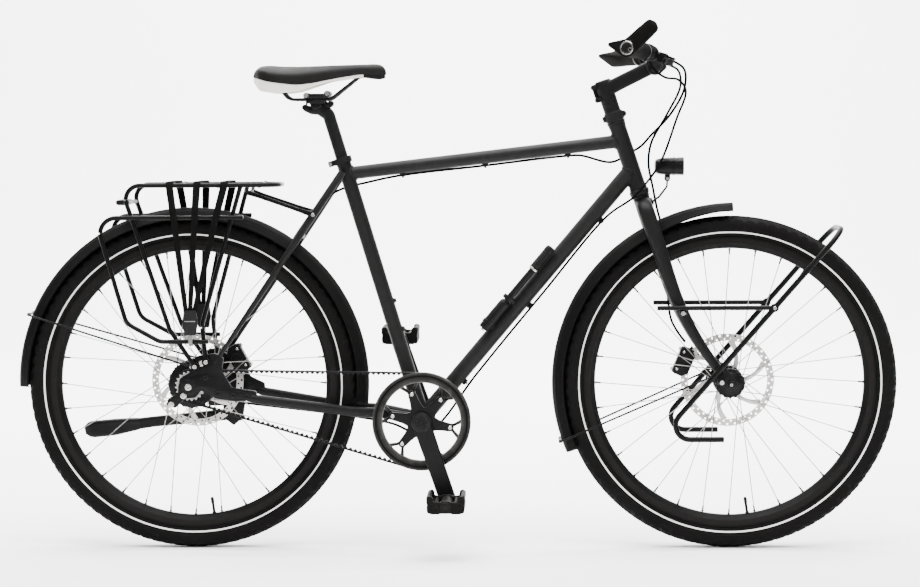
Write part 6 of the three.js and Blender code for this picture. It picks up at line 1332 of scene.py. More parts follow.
def pedal_parts(side):
    """Two side plates with hooks, bars along the axle between them, ribs, core, axle and end cap."""
    first = 95.3
    cage = [slab(PEDAL_OUTLINE, first + place, first + place + 12.5, 1.0, 1.3) for place in (0.2, 83.3)]
    between = []
    for x in (-34.5, 34.5):
        bar_line = np.array([(x, first + 8, 0.0), (x, first + 88, 0.0)])
        between.append(carried(bar_line + (0, 0, -1.5), 10.5, 23.0, oblong(24, 4.0), across=(1, 0, 0)))
        between.append(carried(bar_line + (np.sign(x) * 1.5, 0, 17.5), 9.5, 12.6, oblong(24, 3.0),
                               across=(1, 0, 0)))
    for x in (-20.5, 20.5):
        between.append(carried(np.array([(x, first + 8, -1.0), (x, first + 88, -1.0)]), 6.0, 22.0,
                               oblong(20, 5.0), across=(1, 0, 0)))
    core = turned([(6.8, first + 6.0), (12.2, first + 6.5), (13.0, first + 12.0), (11.8, first + 30.0),
                   (11.8, first + 66.0), (13.0, first + 84.0), (13.0, first + 90.0), (6.8, first + 90.5)],
                  (0, 0, 0), left, 40, closed=True)
    ribs = [box((x, first + 22.0 + 13.0 * i, 0.5), (13.0, 2.4, 17.0), 0.6)
            for x in (-27.5, 27.5) for i in range(5)]
    axle = turned([(4.4, 68.4), (6.5, 68.9), (6.5, 81.6), (8.6, 81.9), (8.6, 84.4), (6.6, 84.9),
                   (6.6, first + 8.0), (4.4, first + 8.4)], (0, 0, 0), left, 32)
    cap = turned([(7.0, first + 88.0), (7.0, first + 95.9), (5.4, first + 96.1), (2.0, first + 96.2)],
                 (0, 0, 0), left, 32)
    ring = turned([(7.2, first + 90.2), (11.6, first + 90.4), (12.4, first + 91.4), (12.4, first + 96.8),
                   (11.4, first + 97.8), (7.8, first + 97.6), (7.2, first + 96.8)], (0, 0, 0), left, 40,
                  closed=True)
    windows = []
    for x in (-25.0, 25.0):
        corners = [(x + dx, first + 96.0, dz)
                   for dx, dz in ((-8.5, -9.5), (8.5, -9.5), (8.5, 8.5), (-8.5, 8.5))]
        windows.append(carried(rounded(corners, 3.0, 20, closed=True), 2.6, 2.4, oblong(12, 4.0),
                               closed=True))
    turn = mirrored if side < 0 else (lambda shape: shape)
    return [[turn(shape) for shape in shapes]
            for shapes in ([*cage, *between, core, *ribs, ring, *windows], [axle], [cap])]


def pedals():
    """Both pedals hang level from the crank ends, hooks up."""
    nylon = coat("pedal_black_nylon", (0.0045, 0.0042, 0.004), 0.62, 0.0, 800.0, 0.08, 0.1,
                 (0.02, 0.019, 0.018), 0.8, gloss=0.05)
    for word, side, angle in (("right", -1, CRANK_AT), ("left", 1, CRANK_AT + 180)):
        at = bracket + np.array(spins(angle)[0][0]) * CRANK_LENGTH
        cage, axle, cap = pedal_parts(side)
        body = "pedal_%s" % word
        make("%s_fine" % body, all_placed(cage, at), nylon, body, body, slot="plastic")
        make("%s_axle" % body, all_placed(axle, at), dark_alloy, body, slot="black_alloy")
        make("%s_cap" % body, all_placed(cap, at), frame_plastic, body, slot="plastic")


pedals()


# Fork: a welded steel unicrown fork in the frame's paint. The two legs leave the steerer in a shoulder,
# taper, and sweep forward to flat plates with mudguard eyelets; threaded bosses carry the low-rider.
FORK_RAKE = 54.0
RACK_BOSS_HEIGHT = 181.0
steer_rows = np.array([head_forward, left, head_up])


def steered(shape):
    """A part drawn in the steering frame, X forward of the steering axis and Z along it."""
    return placed(shape, steer_foot, steer_rows[None])


def rake_at(height):
    """How far forward the leg's middle line stands at a height: a parabola below the bend."""
    return FORK_RAKE * np.where(height < 250.0, (1 - height / 250.0) ** 2, 0.0)


def leg_y(height):
    """Half the distance between the legs' middle lines at a height."""
    return 56.0 - 9.0 * np.clip(height / 376.0, 0, 1)


def hulled(circles):
    """The outline of a string pulled round some circles, each [x, z, radius]."""
    turn = circle(80)
    points = np.concatenate([np.array(c[:2]) + c[2] * turn for c in circles])
    points = points[np.lexsort((points[:, 1], points[:, 0]))]
    chains = []
    for ordered in (points, points[::-1]):
        chain = []
        for point in ordered:
            while len(chain) > 1 and np.cross(chain[-1] - chain[-2], point - chain[-1]) <= 1e-9:
                chain.pop()
            chain.append(point)
        chains += chain[:-1]
    return np.array(chains)


def resampled(path, step):
    """Points at even steps along a line of points."""
    path = np.asarray(path, float)
    lengths = np.concatenate([[0.0], np.cumsum(np.linalg.norm(np.diff(path, axis=0), axis=1))])
    places = np.linspace(0, lengths[-1], max(2, round(lengths[-1] / step) + 1))
    return np.stack([np.interp(places, lengths, path[:, i]) for i in range(3)], -1)


def fork_leg(side):
    """A leg from inside the steerer to its flattened foot: an oval that tapers along a bent line."""
    heights = np.linspace(355, 24, 34)
    shoulder = rounded([(0, side * 10, 429.0), (0, side * 38, 418.0), (0, side * 47.6, 350.0)], 24.0, 8)
    line = np.stack([rake_at(heights), side * leg_y(heights), heights], -1)
    path = np.concatenate([shoulder[:-1], line])
    place = path[:, 2]
    across = np.interp(place, (24, 75, 125, 180, 250, 376), (18.6, 20.9, 23.0, 25.1, 27.0, 28.0))
    along = np.interp(place, (24, 75, 125, 180, 250, 376), (18.6, 21.9, 24.3, 27.0, 29.7, 34.0))
    return steered(carried(path, across, along, circle(36)))


def fork():
    """Steerer, crown race seat, legs, tip plates with eyelets, and the bosses with their collars."""
    pieces = [
        steered(turned([(14.3, 380.0), (14.3, 640.0), (12.6, 640.0), (12.6, 380.0)], (0, 0, 0), (0, 0, 1), 36,
                       closed=True)),
        steered(turned([(13.0, 394.0), (16.6, 392.4), (18.0, 394.5), (18.0, 441.0), (20.6, 441.6),
                        (20.8, 443.4), (14.6, 443.6)], (0, 0, 0), (0, 0, 1), 56)),
    ]
    foot = on_steering(float(rake_at(24.0)), 0.0, 40.0) - front_axle
    for side in (-1, 1):
        pieces.append(fork_leg(side))
        near = 50.2 if side > 0 else -57.0
        blade = slab(hulled([(0, 0, 13.8), (foot[0], foot[2], 8.8)]), near, near + 6.8, 1.0)
        tail = slab(hulled([(0, 0, 8.5), (-49.0, 15.0, 6.2)]), near + 0.4, near + 6.4, 1.0)
        face = turned([(5.4, near - 0.1), (11.6, near - 0.1), (12.4, near + 0.6), (12.4, near + 6.3),
                       (11.6, near + 6.9), (5.4, near + 6.9)], (0, 0, 0), left, 40, closed=True)
        low = sorted((side * 50.0, side * 73.0))
        boss = turned([(5.4, low[0]), (6.0, low[0] + 0.5), (6.0, low[1] - 0.5), (5.4, low[1]), (3.0, low[1])],
                      (-22.0, 0, 7.0), left, 28)
        pieces += all_placed((blade, tail, face, boss), front_axle)
        upper = on_steering(float(rake_at(RACK_BOSS_HEIGHT)), side * 45.0, RACK_BOSS_HEIGHT)
        pieces.append(turned([(6.0, 0), (6.0, 26.4), (7.4, 26.8), (7.4, 27.6), (5.2, 28.0), (3.0, 28.0)],
                             upper, side * left, 28))
    make("fork_fine", pieces, frame_paint, "steering", "fork", slot="frame_paint")
    eyelets = [placed(bolt_head((-49.0, side * 57.2, 15.0), side * left, 8.0, 2.2), front_axle)
               for side in (-1, 1)]
    make("fork_eyelet_bolts", eyelets, steel, "steering", slot="silver_steel")


fork()


# Stem: a forged black alloy column clamps the steerer with two bolts behind; its square-sided arm ends in
# a face plate with four bolts. A split collar with one bolt holds the spacer tube below.
def stem():
    """Column with spacer joints, collar and lugs, arm, bar clamp, and the bolts."""
    column = steered(turned([(17.0, 614.0), (18.0, 614.6), (18.0, 641.4), (17.2, 642.0), (18.0, 642.6),
                             (18.0, 652.4), (17.2, 653.0), (18.0, 653.6), (18.0, 661.4), (17.4, 662.0),
                             (18.0, 662.6), (18.2, 664.0), (18.2, 700.0), (17.6, 703.2), (15.6, 705.6),
                             (9.0, 706.0), (7.0, 705.2), (3.6, 705.2)], (0, 0, 0), (0, 0, 1), 64))
    collar = steered(turned([(18.2, 614.4), (19.8, 614.4), (20.6, 615.4), (20.6, 633.0), (19.8, 634.0),
                             (18.2, 634.0)], (0, 0, 0), (0, 0, 1), 64, closed=True))
    shares = np.linspace(0, 1, 9)
    arm_line = np.stack([3.0 + 103.0 * shares, 0 * shares, 684.4 + 14.4 * shares], -1)
    arm = steered(carried(arm_line, np.interp(shares, (0, 0.15, 1), (34.0, 31.0, 34.0)),
                          np.interp(shares, (0, 0.2, 1), (33.0, 30.5, 30.0)), oblong(40, 5.0)))
    clamp = steered(turned([(16.2, -22.6), (20.0, -22.9), (20.8, -22.0), (20.8, 22.0), (20.0, 22.9),
                            (16.2, 22.6)],
                           (118.0, 0, 700.0), left, 64, closed=True))
    plate = steered(box((132.0, 0, 701.8), (9.0, 42.0, 36.0), 3.0))
    lug_parts = [steered(box((x, 0, 624.2), (12.5, 14.0, 13.0), 2.4)) for x in (-19.2, 19.2)]
    ears = []
    for height in (669.0, 697.0):
        ears.append(steered(box((-19.6, 0, height), (12.0, 17.6, 9.4), 2.4)))
        ears.append(steered(turned([(3.2, -11.4), (5.2, -11.8), (6.0, -10.8), (6.0, 10.8), (5.2, 11.8),
                                    (3.2, 11.4)],
                                   (-22.6, 0, height), left, 28)))
    make("stem_fine", [column, collar, arm, clamp, plate, *lug_parts, *ears], dark_alloy, "steering", "stem",
         slot="black_alloy")
    slots = [steered(box((-22.0, 0, 683.0), (9.0, 1.4, 40.0), 0.3)),
             steered(box((123.4, 0, 700.4), (1.6, 46.2, 41.8), 0.3)),
             steered(box((-25.2, 0, 624.2), (1.2, 2.0, 13.2), 0.3))]
    make("stem_slots", slots, frame_plastic, "steering", slot="plastic")
    heads = [steered(bolt_head((136.2, y, 701.8 + z), (1, 0, 0), 6.6, 3.4))
             for y in (-14.5, 14.5) for z in (-12, 12)]
    heads += [steered(bolt_head((-22.6, -11.6, height), -left, 7.4, 1.6)) for height in (669.0, 697.0)]
    heads += [steered(bolt_head((25.0, 0, 624.2), (1, 0, 0), 8.4, 2.2))]
    make("stem_bolts", heads, dark_alloy, "steering", slot="black_alloy")


stem()


# Handlebar: a butted black alloy tube, thick in the stem clamp, that rises and sweeps back to the grips.
# Grips, shifter, brake masters and levers are drawn on its left end and mirrored for the right one.
BAR_CORNER = (118.0, 100.0, 722.0)
BAR_END = (55.0, 330.0, 747.0)
bar_length = float(np.linalg.norm(np.array(BAR_END) - np.array(BAR_CORNER)))
bar_finish = coat("bar_blasted_black", (0.0045, 0.0044, 0.0044), 0.62, 0.0, 1300.0, 0.05, 0.06, gloss=0.006)


def handlebar():
    """One tube from end to end: its middle line is bent four times, its diameter follows the side."""
    half = [(118.0, 48.0, 700.0), BAR_CORNER, BAR_END]
    corners = [(x, -y, z) for x, y, z in half[::-1]] + half
    path = resampled(rounded(corners, 40.0, 5), 5.0)
    thick = np.interp(np.abs(path[:, 1]), (30.0, 62.0), (31.8, 22.2))
    make("handlebar_fine", [steered(carried(path, thick, thick, circle(40), across=(1, 0, 0.2)))], bar_finish,
         "steering", "handlebar", slot="black_alloy")


def bar_rows(tilt):
    """The frame of the bar's left straight end in the world: X forward, Y outwards, Z up, tilted about Y."""
    out = (np.array(BAR_END) - np.array(BAR_CORNER)) / bar_length
    up = np.array([0.0, 0.0, 1.0]) - out[2] * out
    up /= np.linalg.norm(up)
    forward = np.cross(out, up)
    angle = math.radians(tilt)
    turned_rows = np.array([forward * math.cos(angle) - up * math.sin(angle), out,
                            forward * math.sin(angle) + up * math.cos(angle)])
    return turned_rows @ steer_rows


def on_bar(shape, side, tilt=0.0):
    """A part drawn on the left bar end, or its mirror image on the right."""
    made = placed(shape, on_steering(*BAR_CORNER), bar_rows(tilt)[None])
    return made if side > 0 else mirrored(made)


handlebar()


# Grips: soft moulded rubber with a wing that carries the palm, fine ribs round the barrel and a bar end
# with a pale strip along its top. A clamp ring locks each one; a bright ring closes the outer end.
GRIP_RADIUS = 16.5
WING_REACH = 23.0
WING_TIP = 4.5
WING_ANGLE = 150.0
WING_START = 150.0
HORN_ANGLE = 24.0
HORN_LENGTH = 76.0


def grip_surface(start):
    """Radius over angle and length: barrel + ribs. Towards the wing it is a string pulled round the barrel
    and a small circle: barrel / cos(opening - angle) along the string, then the small circle itself."""
    end = bar_length + 3.0
    length = np.concatenate([[start + 4.0], np.linspace(start + 5.0, end - 1.2, 92), [end - 0.4, end]])
    angle = np.linspace(0, 2 * math.pi, 96, endpoint=False)
    rise = np.clip((length - WING_START + 22.0) / (end - 13.0 - WING_START + 22.0), 0, 1)
    wing = (rise * rise * (3 - 2 * rise))[:, None]
    ribs = 0.28 * np.sin(2 * math.pi * length / 5.2)[:, None] * (1 - wing)
    barrel = GRIP_RADIUS + 1.6 * wing
    center = GRIP_RADIUS + wing * WING_REACH - WING_TIP
    away = np.abs((angle[None, :] - math.radians(WING_ANGLE) + math.pi) % (2 * math.pi) - math.pi)
    opening = np.arccos(np.clip((barrel - WING_TIP) / np.maximum(center, 1.0), -1, 1))
    turn = np.arctan2(WING_TIP * np.sin(opening), center + WING_TIP * np.cos(opening))
    side = barrel / np.cos(np.clip(opening - away, 0, 1.4))
    nose = center * np.cos(away) + np.sqrt(np.maximum(WING_TIP ** 2 - (center * np.sin(away)) ** 2, 0))
    radius = np.where(away < turn, nose, np.where(away < opening, side, barrel)) + ribs
    radius[0] -= 1.0
    radius[-1] -= 1.6
    radius[-2] -= 0.5
    points = np.stack([radius * np.cos(angle), np.broadcast_to(length[:, None], radius.shape),
                       radius * np.sin(angle)], -1)
    return part(points)


def grips():
    """Both grips with bar ends, clamp rings, end rings and end caps."""
    rubber = coat("grip_black_rubber", (0.0045, 0.0043, 0.0042), 0.85, 0.0, 700.0, 0.12, 0.08, gloss=0.015)
    pale = coat("reflective_strip", (0.72, 0.72, 0.7), 0.4, 0.0, 900.0, 0.02, 0.05)
    shares = np.linspace(0, 1, 22)
    way = np.array([math.cos(math.radians(HORN_ANGLE)), 0.0, math.sin(math.radians(HORN_ANGLE))])
    above = np.array([-way[2], 0.0, way[0]])
    end = bar_length + 3.0
    root = np.array([0.0, end - 13.0, 0.0])
    line = root + shares[:, None] * HORN_LENGTH * way
    tip = np.sqrt(1 - np.clip((shares - 0.86) / 0.142, 0, 1) ** 2)
    wide = np.interp(shares, (0, 0.15, 0.8, 1), (23.0, 22.0, 22.0, 21.0)) * tip
    high = np.interp(shares, (0, 0.2, 0.55, 0.85, 1), (35.0, 34.0, 32.0, 30.0, 28.0)) * tip
    horn = carried(line, wide, high, oblong(40, 3.0))
    strip = carried(root + np.linspace(0.36, 0.62, 6)[:, None] * HORN_LENGTH * way + above * 15.9, 7.0, 1.6,
                    oblong(16, 4.0))
    for word, side, start in (("right", -1, 98.0), ("left", 1, 56.0)):
        node = "grip_%s" % word
        lock = turned([(11.6, start), (17.4, start), (18.0, start + 0.8), (18.0, start + 6.6),
                       (17.4, start + 7.4), (11.6, start + 7.4)], (0, 0, 0), left, 56, closed=True)
        lug = box((0, start + 3.7, -18.6), (9.0, 7.0, 5.0), 1.4)
        cap = turned([(0.6, end - 2.0), (11.0, end - 2.0), (11.0, end + 0.2), (10.2, end + 0.7),
                      (0.6, end + 0.8)],
                     (0, 0, 0), left, 48)
        ring = turned([(10.8, end - 3.0), (13.8, end - 3.0), (13.9, end + 0.6), (13.4, end + 1.2),
                       (11.3, end + 1.2), (10.8, end + 0.6)], (0, 0, 0), left, 64, closed=True)
        small = turned([(2.6, end), (4.2, end), (4.2, end + 1.5), (2.6, end + 1.5)], (6.2, 0, -5.6), left, 32,
                       closed=True)
        make("%s_fine" % node, [on_bar(shape, side) for shape in (grip_surface(start), horn)], rubber,
             "steering", node, slot="grip_rubber")
        make("%s_strip" % node, [on_bar(strip, side)], pale, "steering", slot="grip_rubber")
        make("%s_clamp" % node, [on_bar(shape, side) for shape in (lock, lug, cap)], dark_alloy, "steering",
             slot="black_alloy")
        make("%s_end_ring" % node, [on_bar(shape, side) for shape in (ring, small)], steel, "steering",
             slot="silver_steel")


grips()


# Twist shifter: a ribbed rubber sleeve inboard of the right grip; it turns on the bar and pulls the two
# cables of the gear hub.
def twist_shifter():
    """A sleeve whose radius waves eight times round, between two smooth lips."""
    angles = np.linspace(0, 360, 160, endpoint=False)
    wave = 0.5 + 0.5 * np.tanh(3.0 * np.cos(np.radians(8 * angles)))
    pieces = [annulus(11.4, 17.2 + 1.2 * wave, angles, 59.0, 92.0, 0.8)]
    for near, far in ((56.0, 59.4), (91.6, 96.0)):
        pieces.append(turned([(11.4, near), (17.8, near), (18.4, near + 0.7), (18.4, far - 0.7), (17.8, far),
                              (11.4, far)], (0, 0, 0), left, 64, closed=True))
    sleeve = coat("shifter_rubber", (0.005, 0.005, 0.005), 0.8, 0.0, 900.0, 0.08, 0.08, gloss=0.02)
    make("twist_shifter_fine", [on_bar(shape, -1) for shape in pieces], sleeve, "twist_shifter",
         "twist_shifter", slot="grip_rubber")


twist_shifter()


# Brake masters and levers: a cast black body with a round fluid cylinder on a hinged bar clamp, a lidded
# reservoir, a banjo fitting for the hose, and a forged two-finger lever on a steel pin.
LEVER_TILT = 40.0


def masters():
    """Clamp, cylinder, bridge, lid, lever lugs, pin, fitting and bolts of both sides."""
    clamp = turned([(11.4, 24.2), (15.4, 24.2), (16.0, 24.9), (16.0, 36.1), (15.4, 36.8), (11.4, 36.8)],
                   (0, 0, 0), left, 56, closed=True)
    cylinder = turned([(6.0, 22.0), (8.2, 22.3), (9.0, 23.4), (9.0, 50.0), (8.4, 52.0), (8.4, 62.0),
                       (9.0, 62.6), (9.0, 65.0), (8.2, 66.0), (4.0, 66.0)], (31.0, 0, 0), left, 40)
    bridge = carried(np.array([(8.0, 30.5, 0), (18.0, 30.5, 0), (31.0, 30.5, 0)]), [12.6, 11.0, 12.6],
                     [13.0, 9.5, 12.0], oblong(28, 4.0))
    lid = box((29.0, 44.0, 9.0), (14.0, 34.0, 3.4), 1.2)
    lugs = [box((42.5, 34.0, side * 6.65), (21.0, 15.0, 4.4), 1.8) for side in (-1, 1)]
    ear = box((-15.4, 30.5, 0), (9.0, 12.4, 10.0), 1.8)
    fitting = turned([(3.0, 23.0), (5.8, 22.4), (6.2, 21.0), (6.2, 17.6), (5.4, 16.8), (3.0, 16.8)],
                     (31.0, 0, 0), left, 28)
    pin = turned([(3.0, -9.6), (3.4, -9.2), (3.4, 9.2), (3.0, 9.6)], (46.5, 34.0, 0), (0, 0, 1), 24)
    screws = [bolt_head((29.0, y, 10.6), (0, 0, 1), 4.4, 1.2) for y in (31.0, 57.0)]
    screws += [bolt_head((-15.4, 30.5, 5.2), (0, 0, 1), 6.0, 2.4)]
    for word, side in (("right", -1), ("left", 1)):
        node = "brake_master_%s" % word
        make("%s_fine" % node,
             [on_bar(shape, side, LEVER_TILT)
              for shape in (clamp, cylinder, bridge, lid, *lugs, ear, fitting)],
             bar_finish, "steering", node, slot="black_alloy")
        make("%s_screws" % node, [on_bar(shape, side, LEVER_TILT) for shape in (pin, *screws)], steel,
             "steering", slot="silver_steel")


def levers():
    """Blades: a smooth line through the pull's listed points, wider where the fingers lie."""
    reach = 12.5
    keys = np.array([(0, 0), (0.45 * reach, 0.08), (0.75 * reach, 0.18), (reach, 0.42), (0.8 * reach, 0.72),
                     (0.95 * reach, 0.92), (1.1 * reach, 1.0)])
    along = np.linspace(0, 1, 40)
    bend = np.interp(along, keys[:, 1], keys[:, 0])
    bend = np.convolve(np.pad(bend, 3, mode="edge"), np.ones(7) / 7, "valid")
    bend[0] = 0.0
    line = np.stack([46.5 + bend, 34.0 + 118.0 * along, 0 * along], -1)
    high = np.interp(along, (0, 0.12, 0.2, 0.45, 0.8, 0.95, 1), (8.0, 8.0, 9.5, 12.6, 12.8, 13.0, 7.0))
    thick = np.interp(along, (0, 0.1, 0.3, 0.9, 0.97, 1), (7.0, 7.0, 6.0, 6.4, 7.0, 4.0))
    blade = carried(line, thick, high, oblong(28, 2.8), across=(1, 0, 0))
    root = turned([(2.9, -4.0), (5.5, -4.0), (6.0, -3.4), (6.0, 3.4), (5.5, 4.0), (2.9, 4.0)],
                  (46.5, 34.0, 0), (0, 0, 1), 32, closed=True)
    for word, side in (("right", -1), ("left", 1)):
        node = "brake_lever_%s" % word
        make("%s_fine" % node, [on_bar(shape, side, LEVER_TILT) for shape in (blade, root)], bar_finish,
             node, node, slot="black_alloy")


masters()
levers()


# Headlight: a black plastic housing round a clear lens and a bright bowl reflector, on two ears that pinch
# the boss of a black bracket of two bent wires, screwed to the front of the fork crown.
LAMP_PIVOT = (66.0, 0.0, 461.0)
LAMP_PLACE = (78.0, 0.0, 485.0)


def headlight():
    """Housing, bezel, ears, bowl and lens, drawn level about the lamp's middle."""
    middle = on_steering(*LAMP_PLACE)
    shares = np.array([-1, -0.985, -0.94, -0.86, -0.72, -0.5, -0.2, 0.1, 0.5, 0.93, 0.99, 0.99, 0.86, 0.84])
    wide = np.array([24.0, 31.0, 38.0, 44.0, 49.5, 53.0, 55.5, 57.4, 58.4, 60.4, 59.6, 54.0, 52.0,
                     20.0]) * 0.93
    high = np.array([16.0, 22.0, 27.0, 31.0, 34.0, 36.2, 37.6, 38.0, 38.2, 39.8, 39.2, 34.6, 33.6, 12.0])
    section = oblong(48, 3.0)
    rings = np.array([np.stack([np.full(48, x), section[:, 0] * w / 2, section[:, 1] * h / 2], -1)
                      for x, w, h in zip(31.0 * shares, wide, high)])
    housing = placed(part(rings), middle)
    rings = [np.stack([np.full(48, x), section[:, 0] * w, section[:, 1] * h], -1)
             for x, w, h in ((8.0, 26.6, 18.6), (8.4, 28.0, 19.9), (11.2, 28.2, 20.0), (11.6, 26.8, 18.8))]
    bezel = placed(part(np.array(rings)), middle)
    arms = []
    pivot = on_steering(*LAMP_PIVOT)
    for side in (-1, 1):
        y = side * 7.3
        ear = hulled([(pivot[0], pivot[2], 6.0), (middle[0] - 3.0, middle[2] - 12.0, 5.4)])
        arms.append(slab(ear, y - 2.0, y + 2.0, 0.6))
    black = coat("lamp_black_plastic", (0.0042, 0.004, 0.004), 0.28, 0.0, 800.0, 0.02, 0.06, gloss=0.1)
    make("headlight_fine", [housing, bezel, *arms], black, "headlight", "headlight", slot="plastic")
    bowl_rings = []
    for share in np.linspace(0, 1, 10):
        x = 25.6 - 17.0 * share ** 0.7
        scale = math.sqrt(1 - 0.94 * share)
        bowl_rings.append(np.stack([np.full(48, x), section[:, 0] * 24.0 * scale,
                                    section[:, 1] * 16.8 * scale], -1))
    back = [ring * (1, 1.02, 1.02) - (1.0, 0, 0) for ring in bowl_rings[::-1]]
    mirror = coat("lamp_reflector", (0.85, 0.85, 0.86), 0.1, 1.0, 900.0, 0.01, 0.03)
    make("headlight_bowl", [placed(part(np.array(bowl_rings + back), along=True), middle)], mirror,
         "headlight", slot="silver_steel")
    glass = bpy.data.materials.new("lamp_lens")
    glass.use_nodes = True
    shader = glass.node_tree.nodes["Principled BSDF"]
    shader.inputs["Base Color"].default_value = (0.92, 0.94, 0.95, 1)
    shader.inputs["Roughness"].default_value = 0.06
    shader.inputs["Transmission Weight"].default_value = 1.0
    flutes = glass.node_tree.nodes.new("ShaderNodeTexWave")
    flutes.inputs["Scale"].default_value = 60.0
    place = glass.node_tree.nodes.new("ShaderNodeTexCoord")
    relief = glass.node_tree.nodes.new("ShaderNodeBump")
    relief.inputs["Distance"].default_value = 0.0006
    link = glass.node_tree.links.new
    link(place.outputs["Object"], flutes.inputs["Vector"])
    link(flutes.outputs["Fac"], relief.inputs["Height"])
    link(relief.outputs["Normal"], shader.inputs["Normal"])
    front = [(26.0, 0.98), (27.0, 0.98), (28.0, 0.93), (28.8, 0.8), (29.3, 0.5), (29.5, 0.12)]
    lens = [np.stack([np.full(48, x), section[:, 0] * 24.2 * s, section[:, 1] * 17.0 * s], -1)
            for x, s in front]
    make("headlight_lens", [placed(part(np.array(lens)), middle)], glass, "headlight", slot="plastic")


def headlight_bracket():
    """A screwed plate on the crown, two bent wires and the boss that the lamp's ears pinch."""
    plate = steered(box((19.8, 0, 425.0), (2.8, 26.0, 16.0), 1.0))
    boss = steered(turned([(2.0, -5.0), (5.4, -5.0), (6.0, -4.4), (6.0, 4.4), (5.4, 5.0), (2.0, 5.0)],
                          LAMP_PIVOT, left, 32))
    wires = []
    for side in (-1, 1):
        corners = [(19.8, side * 9, 425.0), (36.3, side * 9, 429.0), (60.0, side * 2.5, 445.0),
                   (66.0, side * 2.5, 461.0)]
        wires.append(steered(carried(rounded(corners, 8.0, 8), 4.0, 4.0, circle(20))))
    make("headlight_bracket_fine", [plate, boss, *wires], dark_alloy, "steering", "headlight_bracket",
         slot="black_alloy")
    bolt = [steered(bolt_head((21.2, 0, 425.0), (1, 0, 0), 9.0, 3.0)),
            steered(bolt_head((66.0, -9.3, 461.0), -left, 7.6, 2.6)),
            steered(bolt_head((66.0, 9.3, 461.0), left, 7.6, 2.6))]
    make("headlight_screws", bolt, steel, "steering", slot="silver_steel")


headlight()
headlight_bracket()


# Mudguards: moulded black plastic strips with rolled edges and two ribs, held by a clip at the fork crown
# and one at the seatstay bridge. A bent wire from both dropouts holds the free end.
GUARD_RADIUS = wheel_radius + 24.0
GUARD_HALF = 30.0
GUARD_SAG = 23.0
GUARD_WALL = 1.8
rack_paint = coat("gloss_black_tube", (0.0035, 0.0035, 0.0035), 0.3, 0.0, 1100.0, 0.015, 0.05, gloss=0.07)


def polar(radius, degrees, y=0.0):
    """A point about an axle by radius and by angle up from forward."""
    angle = math.radians(degrees)
    return np.array([radius * math.cos(angle), y, radius * math.sin(angle)])


def guard_arch(first, last, center, blade=None):
    """A strip about the axle: radius minus sag * share squared across, plus two ribs; its ends are round.
    Past the blade angle the strip is flatter and lifts off the tire towards its end."""
    angles = np.concatenate([np.linspace(first, first + 4, 9), np.linspace(first + 4, last - 4, 150)[1:-1],
                             np.linspace(last - 4, last, 9)])
    from_end = np.minimum(angles - first, last - angles)
    narrow = 1 - 0.3 * (1 - np.sqrt(1 - np.clip(1 - from_end / 4.0, 0, 1) ** 2))
    free = np.zeros(len(angles)) if blade is None else np.clip((blade - angles) / 20.0, 0, 1)
    lift = np.zeros(len(angles)) if blade is None else 5.0 * np.clip((blade - angles) / (blade - first), 0, 1)
    sag = (GUARD_SAG + (16.0 - GUARD_SAG) * free)[:, None]
    base = (GUARD_RADIUS + lift)[:, None]
    shares = np.linspace(-1, 1, 41)
    ribs = 0.9 * np.exp(-((np.abs(shares) - 0.58) / 0.05) ** 2)
    outer = base - sag * shares ** 2 - 0.9 + ribs
    inner = base - sag * shares ** 2 - GUARD_WALL + 0.6 * ribs
    curl = np.clip((np.abs(shares) - 0.93) / 0.07, 0, 1)
    radius = np.concatenate([outer + 0.9 * curl, (inner - 1.2 * curl)[:, ::-1]], 1)
    y = np.concatenate([shares * GUARD_HALF, shares[::-1] * (GUARD_HALF - 0.5)])
    turn = np.radians(angles)[:, None]
    points = np.stack([radius * np.cos(turn), y * narrow[:, None], radius * np.sin(turn)], -1)
    return placed(part(points), center)


def guard_wire(foot, foot_y, degrees, center):
    """A wire from one eyelet round the outside of the guard to the other, with a loop at each foot."""
    outer = polar(GUARD_RADIUS + 2.3, degrees)
    corners = [(foot[0], -foot_y, foot[1]), (outer[0], -35.0, outer[2]), (outer[0], 35.0, outer[2]),
               (foot[0], foot_y, foot[1])]
    pieces = [carried(rounded(corners, 10.0, 8), 4.3, 4.3, circle(20), across=(0, 0, 1))]
    for side in (-1, 1):
        pieces.append(turned([(3.0, -1.9), (6.2, -1.9), (6.4, 0), (6.2, 1.9), (3.0, 1.9)],
                             (foot[0], side * foot_y, foot[1]), left, 32, closed=True))
        pieces.append(box((outer[0], side * 24.0, outer[2]), (7.0, 12.0, 7.0), 1.5))
    return [placed(shape, center) for shape in pieces]


